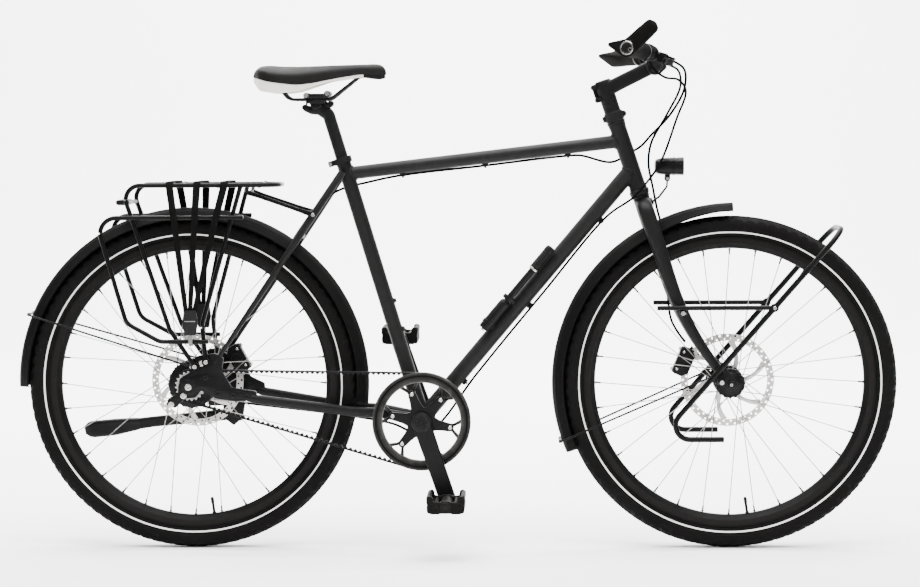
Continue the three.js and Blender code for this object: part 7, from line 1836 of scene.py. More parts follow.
def mudguards():
    """Both arches with their clips, and both wires with their bolts."""
    black = coat("mudguard_plastic", (0.0036, 0.0034, 0.0034), 0.6, 0.0, 500.0, 0.05, 0.08, gloss=0.03)
    clip_front = steered(box((0, 0, 384.6), (15.0, 11.0, 12.5), 1.6))
    make("front_mudguard_fine", [guard_arch(89.0, 203.6, front_axle, blade=114.0), clip_front], black,
         "steering", "front_mudguard", slot="guard_plastic")
    clip = carried(np.array([polar(382.0, 53.1), polar(387.0, 53.1), polar(391.6, 53.1)]), [12.0, 12.0, 11.0],
                   [16.0, 16.0, 15.0], oblong(24, 5.0))
    make("rear_mudguard_fine", [guard_arch(-7.0, 181.0, rear_axle), placed(clip, rear_axle)], black, "frame",
         "rear_mudguard", slot="guard_plastic")
    make("front_mudguard_stays_fine", guard_wire((-49.0, 15.0), 59.3, 199.0, front_axle), rack_paint,
         "steering", "front_mudguard_stays", slot="rack_paint")
    make("rear_mudguard_stays_fine", guard_wire((7.3, 43.2), 79.1, 156.7, rear_axle), rack_paint, "frame",
         "rear_mudguard_stays", slot="rack_paint")
    bolts = [placed(bolt_head((-49.0, side * 61.0, 15.0), side * left, 7.4, 3.0), front_axle)
             for side in (-1, 1)]
    bolts += [placed(bolt_head(polar(387.0, 199.0, side * 24.0), polar(1, 199.0), 5.0, 4.4), front_axle)
              for side in (-1, 1)]
    make("front_mudguard_bolts", bolts, steel, "steering", slot="silver_steel")
    bolts = [placed(bolt_head((7.3, side * 80.8, 43.2), side * left, 7.4, 3.0), rear_axle)
             for side in (-1, 1)]
    bolts += [placed(bolt_head(polar(387.0, 156.7, side * 24.0), polar(1, 156.7), 5.0, 4.4), rear_axle)
              for side in (-1, 1)]
    make("rear_mudguard_bolts", bolts, steel, "frame", slot="silver_steel")


mudguards()


# Brake calipers: two forged halves bolted together over the rotor, with a piston cap each side, and an
# adapter arm that carries them on the fork leg and on the dropout.
CALIPER_RADIUS = 103.0


def caliper_parts(center_y, degrees, center):
    """Halves, bridge, caps and bolts of one caliper; X points away from the axle."""
    rows = np.array([polar(1, degrees), left, polar(1, degrees + 90)])
    halves = []
    for side in (-1, 1):
        outline = rounded([(-17.5, -20.0), (-6.0, -31.5), (12.0, -31.5), (17.6, -24.0), (17.6, 24.0),
                           (12.0, 31.5), (-6.0, 31.5), (-17.5, 20.0)], 4.0, 15, closed=True)
        near, far = sorted((side * 2.6, side * 11.9))
        halves.append(slab(outline, near, far, 1.8))
        halves.append(turned([(13.4, side * 11.6), (13.4, side * 12.0), (12.4, side * 12.7),
                              (11.4, side * 12.7),
                              (11.0, side * 12.1), (3.0, side * 12.1)], (-3.0, 0, 0), left, 48))
    halves.append(box((14.2, 0, 0), (7.0, 9.0, 46.0), 1.4))
    halves.append(box((12.0, 0, -24.0), (10.0, 16.0, 13.0), 1.8))
    halves.append(box((12.0, 0, 24.0), (10.0, 16.0, 13.0), 1.8))
    bright = [bolt_head((17.4, 0, side * 24.0), (1, 0, 0), 8.4, 4.6) for side in (-1, 1)]
    bright += [bolt_head((9.0, side * 11.7, z), side * left, 6.0, 1.8)
               for side in (-1, 1) for z in (-20.0, 20.0)]
    bright.append(turned([(1.5, -10.0), (2.0, -9.4), (2.0, 9.4), (1.5, 10.0)], (-13.6, 0, 0), left, 20))
    place = polar(CALIPER_RADIUS, degrees, center_y)

    def moved(shape):
        return placed(placed(shape, place, rows[None]), center)

    return [moved(shape) for shape in halves], [moved(shape) for shape in bright]


def adapter(start, end, center):
    """A flat arm between two points, 30 mm high, thinner between its ends."""
    line = np.asarray(start)[None] + np.linspace(0, 1, 9)[:, None] * (np.asarray(end) - np.asarray(start))
    width = np.interp(np.linspace(0, 1, 9), (0, 0.5, 1), (6.8, 5.6, 6.8))
    height = np.interp(np.linspace(0, 1, 9), (0, 0.5, 1), (29.0, 21.0, 27.0))
    return placed(carried(line, width, height, oblong(32, 5.0)), center)


def calipers():
    """The front one on the left fork leg and the rear one inside the left dropout."""
    body, bright = caliper_parts(39.0, 157.0, front_axle)
    leg = on_steering(float(rake_at(88.6)), 0.0, 88.6) - front_axle
    start = polar(CALIPER_RADIUS, 157.0, 47.5)
    end = start + 0.72 * (np.array([leg[0], 47.5, leg[2]]) - start)
    make("front_brake_caliper_fine", body + [adapter(start, end, front_axle)], dark_alloy, "steering",
         "front_brake_caliper", slot="black_alloy")
    make("front_brake_caliper_bolts", bright, steel, "steering", slot="silver_steel")
    body, bright = caliper_parts(51.5, 28.0, rear_axle)
    start = polar(CALIPER_RADIUS, 28.0, 60.0)
    make("rear_brake_caliper_fine", body + [adapter(start, (87.6, 63.6, 14.4), rear_axle)], dark_alloy,
         "frame", "rear_brake_caliper", slot="black_alloy")
    make("rear_brake_caliper_bolts", bright, steel, "frame", slot="silver_steel")


calipers()


# Low-rider: one gloss black aluminium tube bent into a hoop over the front wheel, with a rail welded to
# each side, and tabs that bolt to the fork's bosses. Its open ends are domed like plugs.
def tube_line(corners, radii, diameter):
    """A round tube along a bent line, its open ends domed like a plug."""
    path = rounded(corners, radii, 7.0)
    first = path[1] - path[0]
    last = path[-2] - path[-1]
    first = first / np.linalg.norm(first)
    last = last / np.linalg.norm(last)
    lead = np.array([path[0] + first * diameter * share for share in (0, 0.05, 0.14, 0.16)])
    tail = np.array([path[-1] + last * diameter * share for share in (0.16, 0.14, 0.05, 0)])
    line = np.concatenate([lead, path[1:-1], tail])
    wide = np.full(len(line), diameter)
    wide[[0, 1, -1, -2]] = (0.66 * diameter, 0.9 * diameter, 0.66 * diameter, 0.9 * diameter)
    return carried(line, wide, wide, circle(28), across=(0, 0.05, 1))


def joined_rod(start, end, diameter):
    """A short cross tube whose ends flare into fillets of weld."""
    start = np.asarray(start, float)
    end = np.asarray(end, float)
    length = np.linalg.norm(end - start)
    shares = np.concatenate([np.array([0, 1.0, 2.0, 3.2, 4.6]) / length, [0.5],
                             1 - np.array([4.6, 3.2, 2.0, 1.0, 0]) / length])
    wide = diameter + np.interp(np.minimum(shares, 1 - shares) * length, (0, 1, 2, 3.2, 4.6),
                                (5, 3.6, 2, 0.8, 0))
    across = (0, 0, 1) if abs((end - start)[2]) < 0.8 * length else (1, 0, 0)
    return carried(start + shares[:, None] * (end - start), wide, wide, circle(24), across=across)


def lowrider():
    """Hoop, rails, tabs, lugs and bolts."""
    half = [(-17.0, 80.0, -115.0), (-157.0, 80.0, -115.0), (234.0, 80.0, 333.0)]
    corners = [(x, -y, z) for x, y, z in half] + half[::-1]
    pieces = [tube_line(corners, 48.0, 12.0)]
    upper = on_steering(float(rake_at(RACK_BOSS_HEIGHT)), 0.0, RACK_BOSS_HEIGHT) - front_axle
    bright = []
    for side in (-1, 1):
        rail = [(-160.0, side * 78.0, 167.0), (-20.0, side * 78.0, 167.0), (89.0, side * 78.0, 167.0)]
        pieces.append(tube_line(rail, 0.0, 10.0))
        pieces.append(joined_rod((89.1, side * 73.6, 167.0), (89.1, side * 86.4, 167.0), 12.0))
        tab = hulled([(upper[0], upper[2], 8.0), (upper[0], 164.0, 6.0)])
        low = hulled([(-22.0, 7.0, 8.0), (-31.0, 32.0, 6.0), (-24.0, 30.0, 6.0)])
        for outline in (tab, low):
            near, far = sorted((side * 73.4, side * 77.2))
            pieces.append(slab(outline, near, far, 0.7))
        bright.append(bolt_head((upper[0], side * 77.2, upper[2]), side * left, 10.0, 4.6))
        bright.append(bolt_head((-22.0, side * 77.2, 7.0), side * left, 10.0, 4.6))
        bright.append(bolt_head((89.1, side * 86.2, 167.0), side * left, 8.0, 2.6))
    make("lowrider_rack_fine", all_placed(pieces, front_axle), rack_paint, "steering",
         "lowrider_rack", slot="rack_paint")
    make("lowrider_rack_bolts", all_placed(bright, front_axle), steel, "steering",
         slot="silver_steel")


lowrider()


# Rear rack: gloss black tubes welded into a platform with a lower pannier rail each side; it stands on
# the dropouts and is braced to the seatstays by two flat strips.
RACK_RISE = 433.0
RACK_LAMP_X = -39.0 - 105.0 * (396.0 - 123.0) / 310.0


def rear_rack():
    """Main loop, struts, rails, cross tubes, braces, feet and bolts."""
    half = [(15.0, 82.5, 44.0), (-39.0, 77.0, 123.0), (-144.0, 60.0, 433.0), (196.0, 60.0, 433.0)]
    corners = [(x, -y, z) for x, y, z in half] + half[::-1]
    pieces = [tube_line(corners, [24.0, 30.0, 42.0, 42.0, 30.0, 24.0], 10.0)]
    bright = []
    for side in (-1, 1):
        strut = [(116.0, side * 60.0, 433.0), (31.0, side * 79.0, 134.0), (39.0, side * 82.5, 54.0)]
        rail = [(122.0, side * 72.0, 364.0), (-198.0, side * 72.0, 364.0), (-131.0, side * 85.0, 138.0),
                (-59.0, side * 87.0, 98.5), (46.0, side * 87.0, 98.5)]
        pieces += [tube_line(strut, 42.0, 10.0), tube_line(rail, 34.0, 10.0)]
        stay = seatstay_at(368.0, side) + (0, side * 10.0, 0)
        top = np.array([128.0, side * 46.0, 417.0])
        pieces.append(joined_rod((128.0, side * 60.0, 433.0), top, 7.6))
        strip = top + np.linspace(0, 1, 7)[:, None] * (stay - top)
        pieces.append(carried(strip, 3.6, [11.0, 8.0, 8.0, 8.0, 8.0, 9.0, 12.0], oblong(20, 4.0)))
        bright.append(bolt_head(stay + (0, side * 1.8, 0), side * left, 8.0, 3.6))
        bright.append(bolt_head(top - (0, side * 2.0, 0), -side * left, 7.0, 3.0))
        for x, z in ((15.0, 44.0), (39.0, 54.0)):
            pieces.append(turned([(3.0, side * 77.0), (5.6, side * 77.0), (5.8, side * 79.4),
                                  (8.6, side * 79.8),
                                  (8.8, side * 80.6), (8.8, side * 84.8), (8.2, side * 85.5),
                                  (3.0, side * 85.5)],
                                 (x, 0, z), left, 36, closed=True))
            bright.append(bolt_head((x, side * 85.4, z), side * left, 9.4, 4.4))
    for share in (0.36, 0.62, 0.88):
        x = -144.0 + 340.0 * share
        pieces.append(joined_rod((x, -56.5, RACK_RISE), (x, 56.5, RACK_RISE), 8.0))
    pieces.append(joined_rod((RACK_LAMP_X, -57.0, 396.0), (RACK_LAMP_X, 57.0, 396.0), 8.0))
    make("rear_rack_fine", all_placed(pieces, rear_axle), rack_paint, "frame", "rear_rack",
         slot="rack_paint")
    make("rear_rack_bolts", all_placed(bright, rear_axle), steel, "frame", slot="silver_steel")


rear_rack()


# Rear light: a flat black housing on the rack's cross tube, with a red lens that only shows from behind.
# Two small lugs hold it to the tube.
def rear_light():
    """Housing with two lugs, and lens, all blocks with round edges."""
    near = RACK_LAMP_X - 4.4
    housing = [box((near - 11.0, 0, 396.0), (21.6, 75.6, 11.8), 3.4)]
    housing += [box((near - 0.4, y, 396.0), (6.0, 9.0, 9.0), 1.4) for y in (-25.0, 25.0)]
    make("rear_light_housing", all_placed(housing, rear_axle), frame_plastic, "frame",
         "rear_light", slot="plastic")
    lens = [box((near - 20.0, 0, 396.0), (7.6, 71.0, 8.6), 2.2)]
    red = coat("red_lens", (0.14, 0.004, 0.004), 0.12, 0.0, 260.0, 0.3, 0.05)
    make("rear_light_lens", all_placed(lens, rear_axle), red, "frame", slot="red_lens")


rear_light()


# Luggage strap: three elastic webbing bands stretched over the platform and down both sides, sewn into a
# plastic buckle whose hook catches the lower rail.
def webbing():
    """Black ribbed weave: fine waves across the bands for the ribs and slanting ones for the twill."""
    material = coat("elastic_webbing", (0.0045, 0.0044, 0.0043), 0.85, 0.0, 1800.0, 0.1, 0.1, gloss=0.03)
    tree = material.node_tree
    link = tree.links.new
    place = tree.nodes.new("ShaderNodeTexCoord")
    relief = tree.nodes.new("ShaderNodeBump")
    relief.inputs["Distance"].default_value = 0.0004
    total = None
    for way, scale in (("X", 420.0), ("DIAGONAL", 300.0)):
        waves = tree.nodes.new("ShaderNodeTexWave")
        waves.bands_direction = way
        waves.inputs["Scale"].default_value = scale
        waves.inputs["Distortion"].default_value = 0.6
        link(place.outputs["Object"], waves.inputs["Vector"])
        if total is None:
            total = waves.outputs["Fac"]
        else:
            mix = tree.nodes.new("ShaderNodeMath")
            mix.operation = "ADD"
            link(total, mix.inputs[0])
            link(waves.outputs["Fac"], mix.inputs[1])
            total = mix.outputs["Value"]
    link(total, relief.inputs["Height"])
    link(relief.outputs["Normal"], tree.nodes["Principled BSDF"].inputs["Normal"])
    return material


def luggage_strap():
    """Three bands, and a buckle and a hook each side."""
    band = webbing()
    for number in range(3):
        top_x = -37.0 + 59.0 * number
        low_x = 8.0 + (number - 1) * 8.0
        rail_x = top_x + (low_x - top_x) * 0.27
        half = [(low_x, 95.3, 157.0), (rail_x, 78.6, 364.0), (top_x, 67.8, 432.0), (top_x, 62.6, 440.6)]
        corners = [(x, -y, z) for x, y, z in half] + half[::-1]
        path = resampled(rounded(corners, [18.0, 14.0, 6.0, 6.0, 14.0, 18.0], 8), 5.0)
        wide = np.interp(path[:, 2], (157.0, 200.0, 300.0, 420.0), (10.0, 11.0, 13.0, 16.0))
        shape = placed(carried(path, wide, 1.8, oblong(24, 6.0), across=(1, 0, 0)), rear_axle)
        make("strap_band_%d" % number, [shape], band, "frame", *(["luggage_strap"] if number == 0 else []),
             slot="webbing")
    dark = coat("buckle_plastic", (0.009, 0.009, 0.0095), 0.5, 0.0, 800.0, 0.04, 0.08)
    pale = coat("hook_plastic", (0.13, 0.13, 0.125), 0.5, 0.0, 800.0, 0.04, 0.08)
    buckles = []
    hooks = []
    for side in (-1, 1):
        near, far = sorted((side * 92.6, side * 98.2))
        outline = rounded([(-5.0, 166.0), (-9.0, 140.0), (-4.0, 113.0), (20.0, 113.0), (25.0, 140.0),
                           (21.0, 166.0)], 3.0, 15,
                          closed=True)
        buckles.append(slab(outline, near, far, 1.4))
        hooks.append(box((8.0, side * 98.3, 143.0), (23.0, 0.8, 2.0), 0.2))
        hook = [(8.0, side * 95.3, 114.0), (8.0, side * 95.3, 96.0), (8.0, side * 87.0, 90.0),
                (8.0, side * 80.4, 92.0)]
        hooks.append(carried(rounded(hook, 5.0, 10), 9.0, 3.0, oblong(24, 4.0), across=(1, 0, 0)))
    make("strap_buckles", all_placed(buckles, rear_axle), dark, "frame", slot="plastic")
    make("strap_hooks", all_placed(hooks, rear_axle), pale, "frame", slot="plastic")


luggage_strap()


# Seatpost: a polished-then-anodised black tube with a forged head; two upright bolts clamp the saddle's
# rails between a cradle and a cap.
saddle_foot = on_seat(733.0, -14.0)
SADDLE_TAIL = -133.0
SADDLE_LENGTH = 284.0
SADDLE_RISE = 44.0
SADDLE_STATIONS = (0, 0.04, 0.12, 0.22, 0.34, 0.46, 0.58, 0.7, 0.82, 0.92, 0.975, 1)
SADDLE_TOP = (0.045, 0.085, 0.092, 0.084, 0.083, 0.087, 0.092, 0.096, 0.099, 0.098, 0.09, 0.055)
SADDLE_EDGE = (0.0, -0.012, -0.035, -0.05, -0.062, -0.048, -0.022, 0.0, 0.018, 0.012, 0.008, 0.02)
SADDLE_LOW = (-0.02, -0.1, -0.118, -0.123, -0.11, -0.072, -0.035, -0.018, -0.004, -0.018, -0.02, 0.0)
SADDLE_HALF = (0.1, 0.2, 0.262, 0.27, 0.232, 0.175, 0.128, 0.098, 0.08, 0.07, 0.058, 0.02)
SADDLE_SOFTNESS = 0.025
RAIL_SIDE = 22.0
RAIL_LOW = -4.0


def saddle_line(values, shares):
    """A smooth value along the saddle: straight between stations, then averaged over a short window."""
    total = 0.0
    for shift in np.linspace(-1, 1, 9):
        total = total + np.interp(np.clip(shares + shift * SADDLE_SOFTNESS, 0, 1), SADDLE_STATIONS, values)
    return total / 9


def saddle_place(share, values):
    """A height along the saddle, in millimetres above its foot."""
    return SADDLE_RISE + SADDLE_LENGTH * saddle_line(values, np.asarray(share, float))


def rail_path(side):
    """A rail's middle line: under the tail, down to the clamp, and up to the nose."""
    def end(share):
        edge = saddle_place(share, SADDLE_EDGE)
        return float(edge + 0.25 * (saddle_place(share, SADDLE_TOP) - edge) - 9.0)

    place = [SADDLE_TAIL + SADDLE_LENGTH * share for share in (0.17, 0.26, 0.58, 0.8, 0.84)]
    y = side * RAIL_SIDE
    corners = [(place[0], y, end(0.17)), (place[1], y, RAIL_LOW), (place[2], y, RAIL_LOW),
               (place[3], side * 9.0, end(0.8)), (place[4], side * 9.0, end(0.84))]
    return rounded(corners, 24.0, 6)


def seatpost():
    """Post, neck with two ears, clamp barrel, cradles, caps, and the two bolts with their barrel nuts."""
    post = turned([(11.8, 419.8), (13.2, 420.0), (13.6, 421.0), (13.6, 681.0), (12.8, 684.0)], on_seat(0.0),
                  seat_up, 56)
    path = resampled(rounded([on_seat(668.0), on_seat(690.0), saddle_foot + (0, 0, -15.0)], 14.0, 8), 4.0)
    shares = np.linspace(0, 1, len(path))
    neck = carried(path, np.interp(shares, (0, 0.5, 1), (27.3, 27.4, 30)),
                   np.interp(shares, (0, 0.4, 0.7, 1), (27.3, 27.4, 31, 44)), circle(40))
    cradle = []
    for side in (-1, 1):
        cradle.append(box((0, side * RAIL_SIDE, RAIL_LOW - 5.0), (40.0, 12.0, 7.6), 2.4))
        cradle.append(box((0, side * RAIL_SIDE, RAIL_LOW + 7.4), (52.0, 12.0, 10.4), 3.6))
    barrel = [(3.0, -25.0), (9.6, -25.0), (10.4, -26.2), (12.2, -26.2), (12.8, -25.4), (12.8, 25.4),
              (12.2, 26.2), (10.4, 26.2), (9.6, 25.0), (3.0, 25.0)]
    cradle.append(turned(barrel, (0, 0, RAIL_LOW - 7.0), left, 48))
    rods = []
    heads = []
    for x, low_z, turn, rise in ((-23.0, RAIL_LOW - 18.0, -1, 8.0), (29.0, RAIL_LOW - 10.0, 1, 12.0)):
        ear = np.array([(8.0, 0.0, RAIL_LOW - 22.0), (0.5 * x, 0.0, low_z - 5.0),
                        (x + turn * 3.0, 0.0, low_z)])
        cradle.append(carried(ear, [24.0, 24.0, 22.0], [24.0, 18.0, 13.0], oblong(28, 3.0)))
        cradle.append(turned([(2.0, -12.5), (5.6, -12.5), (6.2, -11.8), (6.2, 11.8), (5.6, 12.5),
                              (2.0, 12.5)],
                             (x + turn * 2.0, 0, low_z + 1.0), left, 32))
        high = RAIL_LOW + rise
        cradle.append(turned([(2.0, -27.6), (6.0, -27.6), (6.8, -26.8), (6.8, 26.8), (6.0, 27.6),
                              (2.0, 27.6)],
                             (0.86 * x, 0, high), left, 36))
        rods.append(carried(np.array([(x, 0, low_z), (0.86 * x, 0, high + 3.0)]), 5.0, 5.0, circle(20)))
        heads += [bolt_head((0.86 * x, side * 27.4, high), side * left, 9.6, 1.6) for side in (-1, 1)]
    make("seatpost_fine", [post, neck] + all_placed(cradle, saddle_foot), dark_alloy, "seatpost",
         "seatpost", slot="black_alloy")
    make("seatpost_bolts", [placed(shape, saddle_foot) for shape in rods + heads], steel, "seatpost",
         slot="silver_steel")


def saddle_rails():
    """One rod bent into both rails, joined at the nose."""
    front = rail_path(1)[-1]
    corners = np.concatenate([rail_path(-1)[:-1], [(front[0] + 5, -6.0, front[2])],
                              [(front[0] + 5, 6.0, front[2])], rail_path(1)[::-1][1:]])
    make("saddle_rails_fine", [placed(carried(corners, 6.8, 6.8, circle(24), across=(0, 0.02, 1)),
                                      saddle_foot)],
         dark_alloy, "seatpost", "saddle_rails", slot="black_alloy")


seatpost()
saddle_rails()


# Saddle: a black synthetic leather cover over foam, welded along its edge, with a pressure channel and two
# stitched seams; it is stretched over a cream-white moulded shell that shows below it, black at the nose.
def cover_surface():
    """Height = edge + (top - edge) * sin(angle) ** 0.55 - channel - seams, over share and angle; the
    underside is a shallow arch that sits on the shell."""
    shares = np.concatenate([[0, 0.004, 0.012, 0.025], np.linspace(0.04, 0.965, 90),
                             [0.98, 0.991, 0.997, 1.0]])
    blunt = np.sqrt(1 - np.clip(1 - shares / 0.025, 0, 1) ** 2)
    nose = np.sqrt(1 - np.clip(1 - (1 - shares) / 0.02, 0, 1) ** 2)
    squeeze = (0.55 + 0.45 * blunt) * (0.35 + 0.65 * nose)
    top = saddle_place(shares, SADDLE_TOP)
    edge = saddle_place(shares, SADDLE_EDGE)
    half = SADDLE_LENGTH * saddle_line(SADDLE_HALF, shares) * (0.94 + 0.06 * blunt)
    rise = (top - edge) * squeeze
    angle = np.linspace(0, math.pi, 61)
    y = half[:, None] * np.sign(np.cos(angle)) * np.abs(np.cos(angle)) ** 0.92
    level = np.sin(angle) ** 0.5
    depth = np.clip(half / 40.0, 0.25, 1)[:, None]
    along = np.clip((shares - 0.08) / 0.1, 0, 1) * np.clip((0.9 - shares) / 0.1, 0, 1)
    channel = 2.6 * along[:, None] * np.exp(-(y / (5.0 + 5.0 * depth)) ** 2)
    seam = 0.9 * along[:, None] * np.exp(-((np.abs(y) - 0.62 * half[:, None]) / 1.3) ** 2)
    piping = 0.7 * np.exp(-((angle[None, :] % math.pi) / 0.05) ** 2)
    z = edge[:, None] + rise[:, None] * level - channel - seam
    y = y + np.sign(y) * piping
    under = np.linspace(-0.94, 0.94, 15)
    under_z = edge[:, None] + rise[:, None] * 0.22 * (1 - under ** 4)
    x = np.broadcast_to((SADDLE_TAIL + SADDLE_LENGTH * shares)[:, None], (len(shares), 76))
    points = np.stack([x, np.concatenate([y, half[:, None] * under], 1), np.concatenate([z, under_z], 1)], -1)
    return placed(part(points), saddle_foot)


def shell_surface(first, last):
    """A moulded bowl 3 mm thick from one share of the saddle to another: the outer wall falls from the
    cover's edge and tucks in at its lip."""
    count = int(90 * (last - first))
    shares = np.concatenate([[first, first + 0.006], np.linspace(first + 0.016, last - 0.007, count), [last]])
    top = saddle_place(shares, SADDLE_TOP)
    edge = saddle_place(shares, SADDLE_EDGE)
    low = saddle_place(shares, SADDLE_LOW)
    half = SADDLE_LENGTH * saddle_line(SADDLE_HALF, shares) - 0.3
    crown = edge + 0.2 * (top - edge)
    drop = np.maximum(edge - low, 1.5)
    down = np.array([0.02, 0.15, 0.35, 0.6, 0.82, 0.95, 1.0])
    tuck = np.array([0.0, 0.004, 0.012, 0.03, 0.05, 0.066, 0.085])
    outer_y = half[:, None] * (1 - tuck)
    outer_z = edge[:, None] - drop[:, None] * down
    wall = np.minimum(3.0, 0.25 * half)[:, None]
    lift = np.minimum(drop, 3.0)[:, None]
    inner_y = half[:, None] * (1 - tuck[::-1][1:-1]) - wall
    inner_z = edge[:, None] - (drop[:, None] - 0.3 * lift) * down[::-1][1:-1]
    across = np.linspace(0.9, -0.9, 13)
    below_y = half[:, None] * across * 0.95
    below_z = (crown - 1.6)[:, None] - 3.4 - 0.12 * (crown - edge)[:, None] * across ** 2
    above_y = half[:, None] * np.linspace(-0.985, 0.985, 15)
    above_z = (crown - 1.2)[:, None] - (crown - edge)[:, None] * np.linspace(-1, 1, 15) ** 4
    ring_y = np.concatenate([outer_y, inner_y, below_y, -inner_y[:, ::-1], -outer_y[:, ::-1], above_y], 1)
    ring_z = np.concatenate([outer_z, inner_z, below_z, inner_z[:, ::-1], outer_z[:, ::-1], above_z], 1)
    x = np.broadcast_to((SADDLE_TAIL + SADDLE_LENGTH * shares)[:, None], ring_y.shape)
    return placed(part(np.stack([x, ring_y, ring_z], -1)), saddle_foot)


def saddle():
    """Cover, shell, and a row of stitches along each seam."""
    skin = coat("saddle_skin", (0.0055, 0.0052, 0.005), 0.5, 0.0, 330.0, 0.35, 0.12)
    cream = coat("cream_moulding", (0.78, 0.75, 0.68), 0.42, 0.0, 420.0, 0.03, 0.06)
    cover = make("saddle_cover_fine", [cover_surface()], skin, "seatpost", "saddle_cover", slot="leather")
    make("saddle_shell_fine", [shell_surface(0.004, 0.832)], cream, "seatpost", "saddle_shell", slot="cream")
    make("saddle_nose", [shell_surface(0.833, 0.992)], frame_plastic, "seatpost", slot="plastic")
    shares = np.linspace(0.14, 0.84, 56)
    half = SADDLE_LENGTH * saddle_line(SADDLE_HALF, shares)
    top = saddle_place(shares, SADDLE_TOP)
    edge = saddle_place(shares, SADDLE_EDGE)
    stitches = []
    for side in (-1, 1):
        y = 0.62 * half + 2.4
        z = edge + (top - edge) * np.sqrt(np.sqrt(1 - np.clip(y / half, 0, 1) ** 2)) + 0.1
        points = np.stack([SADDLE_TAIL + SADDLE_LENGTH * shares, side * y, z], -1)
        for point, after in zip(points[:-1], points[1:]):
            stitches.append(carried(np.array([point + 0.2 * (after - point), point + 0.5 * (after - point),
                                              point + 0.8 * (after - point)]), [0.5, 0.9, 0.5],
                                    [0.4, 0.8, 0.4], circle(8)))
    thread = coat("saddle_thread", (0.02, 0.02, 0.02), 0.7, 0.0, 900.0, 0.05, 0.05)
    make("saddle_stitches", all_placed(stitches, saddle_foot), thread, "seatpost", slot="leather")


saddle()


# Frame pump: an anodised black barrel with a slimmer tube and a ribbed handle, clipped beside the down
# tube in two plastic saddles with rubber bands.
def frame_pump():
    """Profiles turned about the pump's own line, and two saddles that reach to the tube."""
    foot = bracket + down_normal * 25.0 + (0, -19.0, 0)
    barrel = [(8.0, 236.6), (11.6, 237.0), (12.4, 238.4), (12.4, 249.0), (11.9, 249.6), (11.9, 251.6),
              (12.4, 252.2), (12.4, 306.0), (11.8, 311.0), (9.6, 314.0), (7.6, 315.4)]
    neck = [(7.4, 315.4), (7.4, 402.0), (8.6, 403.0), (10.4, 407.2)]
    handle = [(10.8, 408.6)]
    for place in np.linspace(414, 452, 8):
        handle += [(10.9, place - 1.6), (10.1, place), (10.9, place + 1.6)]
    handle += [(10.9, 458.0), (10.2, 464.0), (7.6, 466.6), (4.0, 467.0)]
    body = turned(barrel + neck + handle, foot, down_along, 44)
    rows = np.array([down_along, left, down_normal])
    saddles = []
    for distance in (253.0, 322.0):
        reach = [np.array([distance, -19.0, 25.0]), np.array([distance, -15.0, 20.0]),
                 np.array([distance, -10.5, 14.4])]
        saddles.append(carried(np.array(reach), [15.0, 12.0, 15.0], [17.0, 13.0, 18.0], oblong(28, 4.0),
                               across=(1, 0, 0)))
        saddles.append(turned([(13.0, distance - 4.5), (13.9, distance - 4.0), (13.9, distance + 4.0),
                               (13.0, distance + 4.5), (12.0, distance + 4.5), (12.0, distance - 4.5)],
                              (0, -19.0, 25.0), (1, 0, 0), 40, closed=True))
    make("frame_pump_fine", [body] + [placed(shape, bracket, rows[None]) for shape in saddles], frame_plastic,
         "frame", "frame_pump", slot="plastic")
    tip = turned([(3.0, 232.0), (4.2, 232.4), (4.2, 237.0), (3.0, 237.2)], foot, down_along, 28)
    ring = turned([(10.8, 403.4), (11.1, 403.8), (11.1, 407.0), (10.8, 407.4), (9.0, 407.4), (9.0, 403.4)],
                  foot, down_along, 40, closed=True)
    make("frame_pump_rings", [tip, ring], steel, "frame", slot="silver_steel")


frame_pump()


# Kickstand: a forged black leg with a round head that turns on the left dropout's boss; a bright bolt
# holds it, and its end is a flat moulded foot.
kick_rows = np.array([kick_forward, kick_out, np.cross(kick_forward, kick_out)])
kick_place = kick_foot + 8.0 * kick_out


def kickstand():
    """Head, leg, foot, stop block and bolt; the folded leg runs back along X."""
    head = turned([(3.0, 0.2), (18.0, 0.2), (19.0, 1.2), (19.0, 16.6), (17.6, 18.0), (12.0, 18.0),
                   (11.4, 17.0), (3.0, 17.0)], (0, 0, 0), left, 64)
    places = np.array([0, 10, 22, 60, 120, 180, 200, 220, 240, 260, 280, 300, 320, 330.0])
    high = np.interp(places, (0, 22, 60, 180, 220, 260, 300, 320, 330), (27, 27, 26, 25, 27, 33, 34, 28, 14))
    wide = np.interp(places, (0, 22, 60, 200, 300, 320, 330), (14.6, 14.6, 13.6, 12.6, 13.6, 12.0, 8))
    line = np.stack([-places, np.full(14, 9.0), -0.4 * np.interp(places, (180, 260, 330), (0, 8, 8))], -1)
    leg = carried(line, wide, high, oblong(36, 2.6))
    shares = np.linspace(0, 1, 15)
    foot_line = np.stack([-210.0 - 126.0 * shares, np.full(15, 9.0),
                          np.interp(shares, (0, 0.5, 1), (-1, -4, -4))], -1)
    sole = carried(foot_line, np.interp(shares, (0, 0.06, 0.92, 1), (12.8, 15.4, 15.0, 9.0)),
                   np.interp(shares, (0, 0.06, 0.45, 0.85, 0.95, 1), (25.0, 28.0, 39.0, 40.0, 33.0, 20.0)),
                   oblong(36, 3.4))
    stop = box((11.0, 9.0, -13.0), (13.0, 12.0, 8.0), 2.0)
    make("kickstand_fine", [placed(shape, kick_place, kick_rows[None]) for shape in (head, leg, stop)],
         dark_alloy, "kickstand", "kickstand", slot="black_alloy")
    make("kickstand_foot", [placed(sole, kick_place, kick_rows[None])], frame_plastic, "kickstand",
         slot="plastic")
    bolt = bolt_head((0, 17.0, 0), left, 13.0, 1.2)
    make("kickstand_bolt", [placed(bolt, kick_place, kick_rows[None])], steel, "kickstand",
         slot="silver_steel")


kickstand()


# Hoses and gear cables: black nylon-jacketed lines of about 5 mm, clipped under the tubes. The brake
# hoses end in plain metal sleeves.
SLEEVE_LENGTH = 14.0
SLEEVE_RADIUS = 3.0


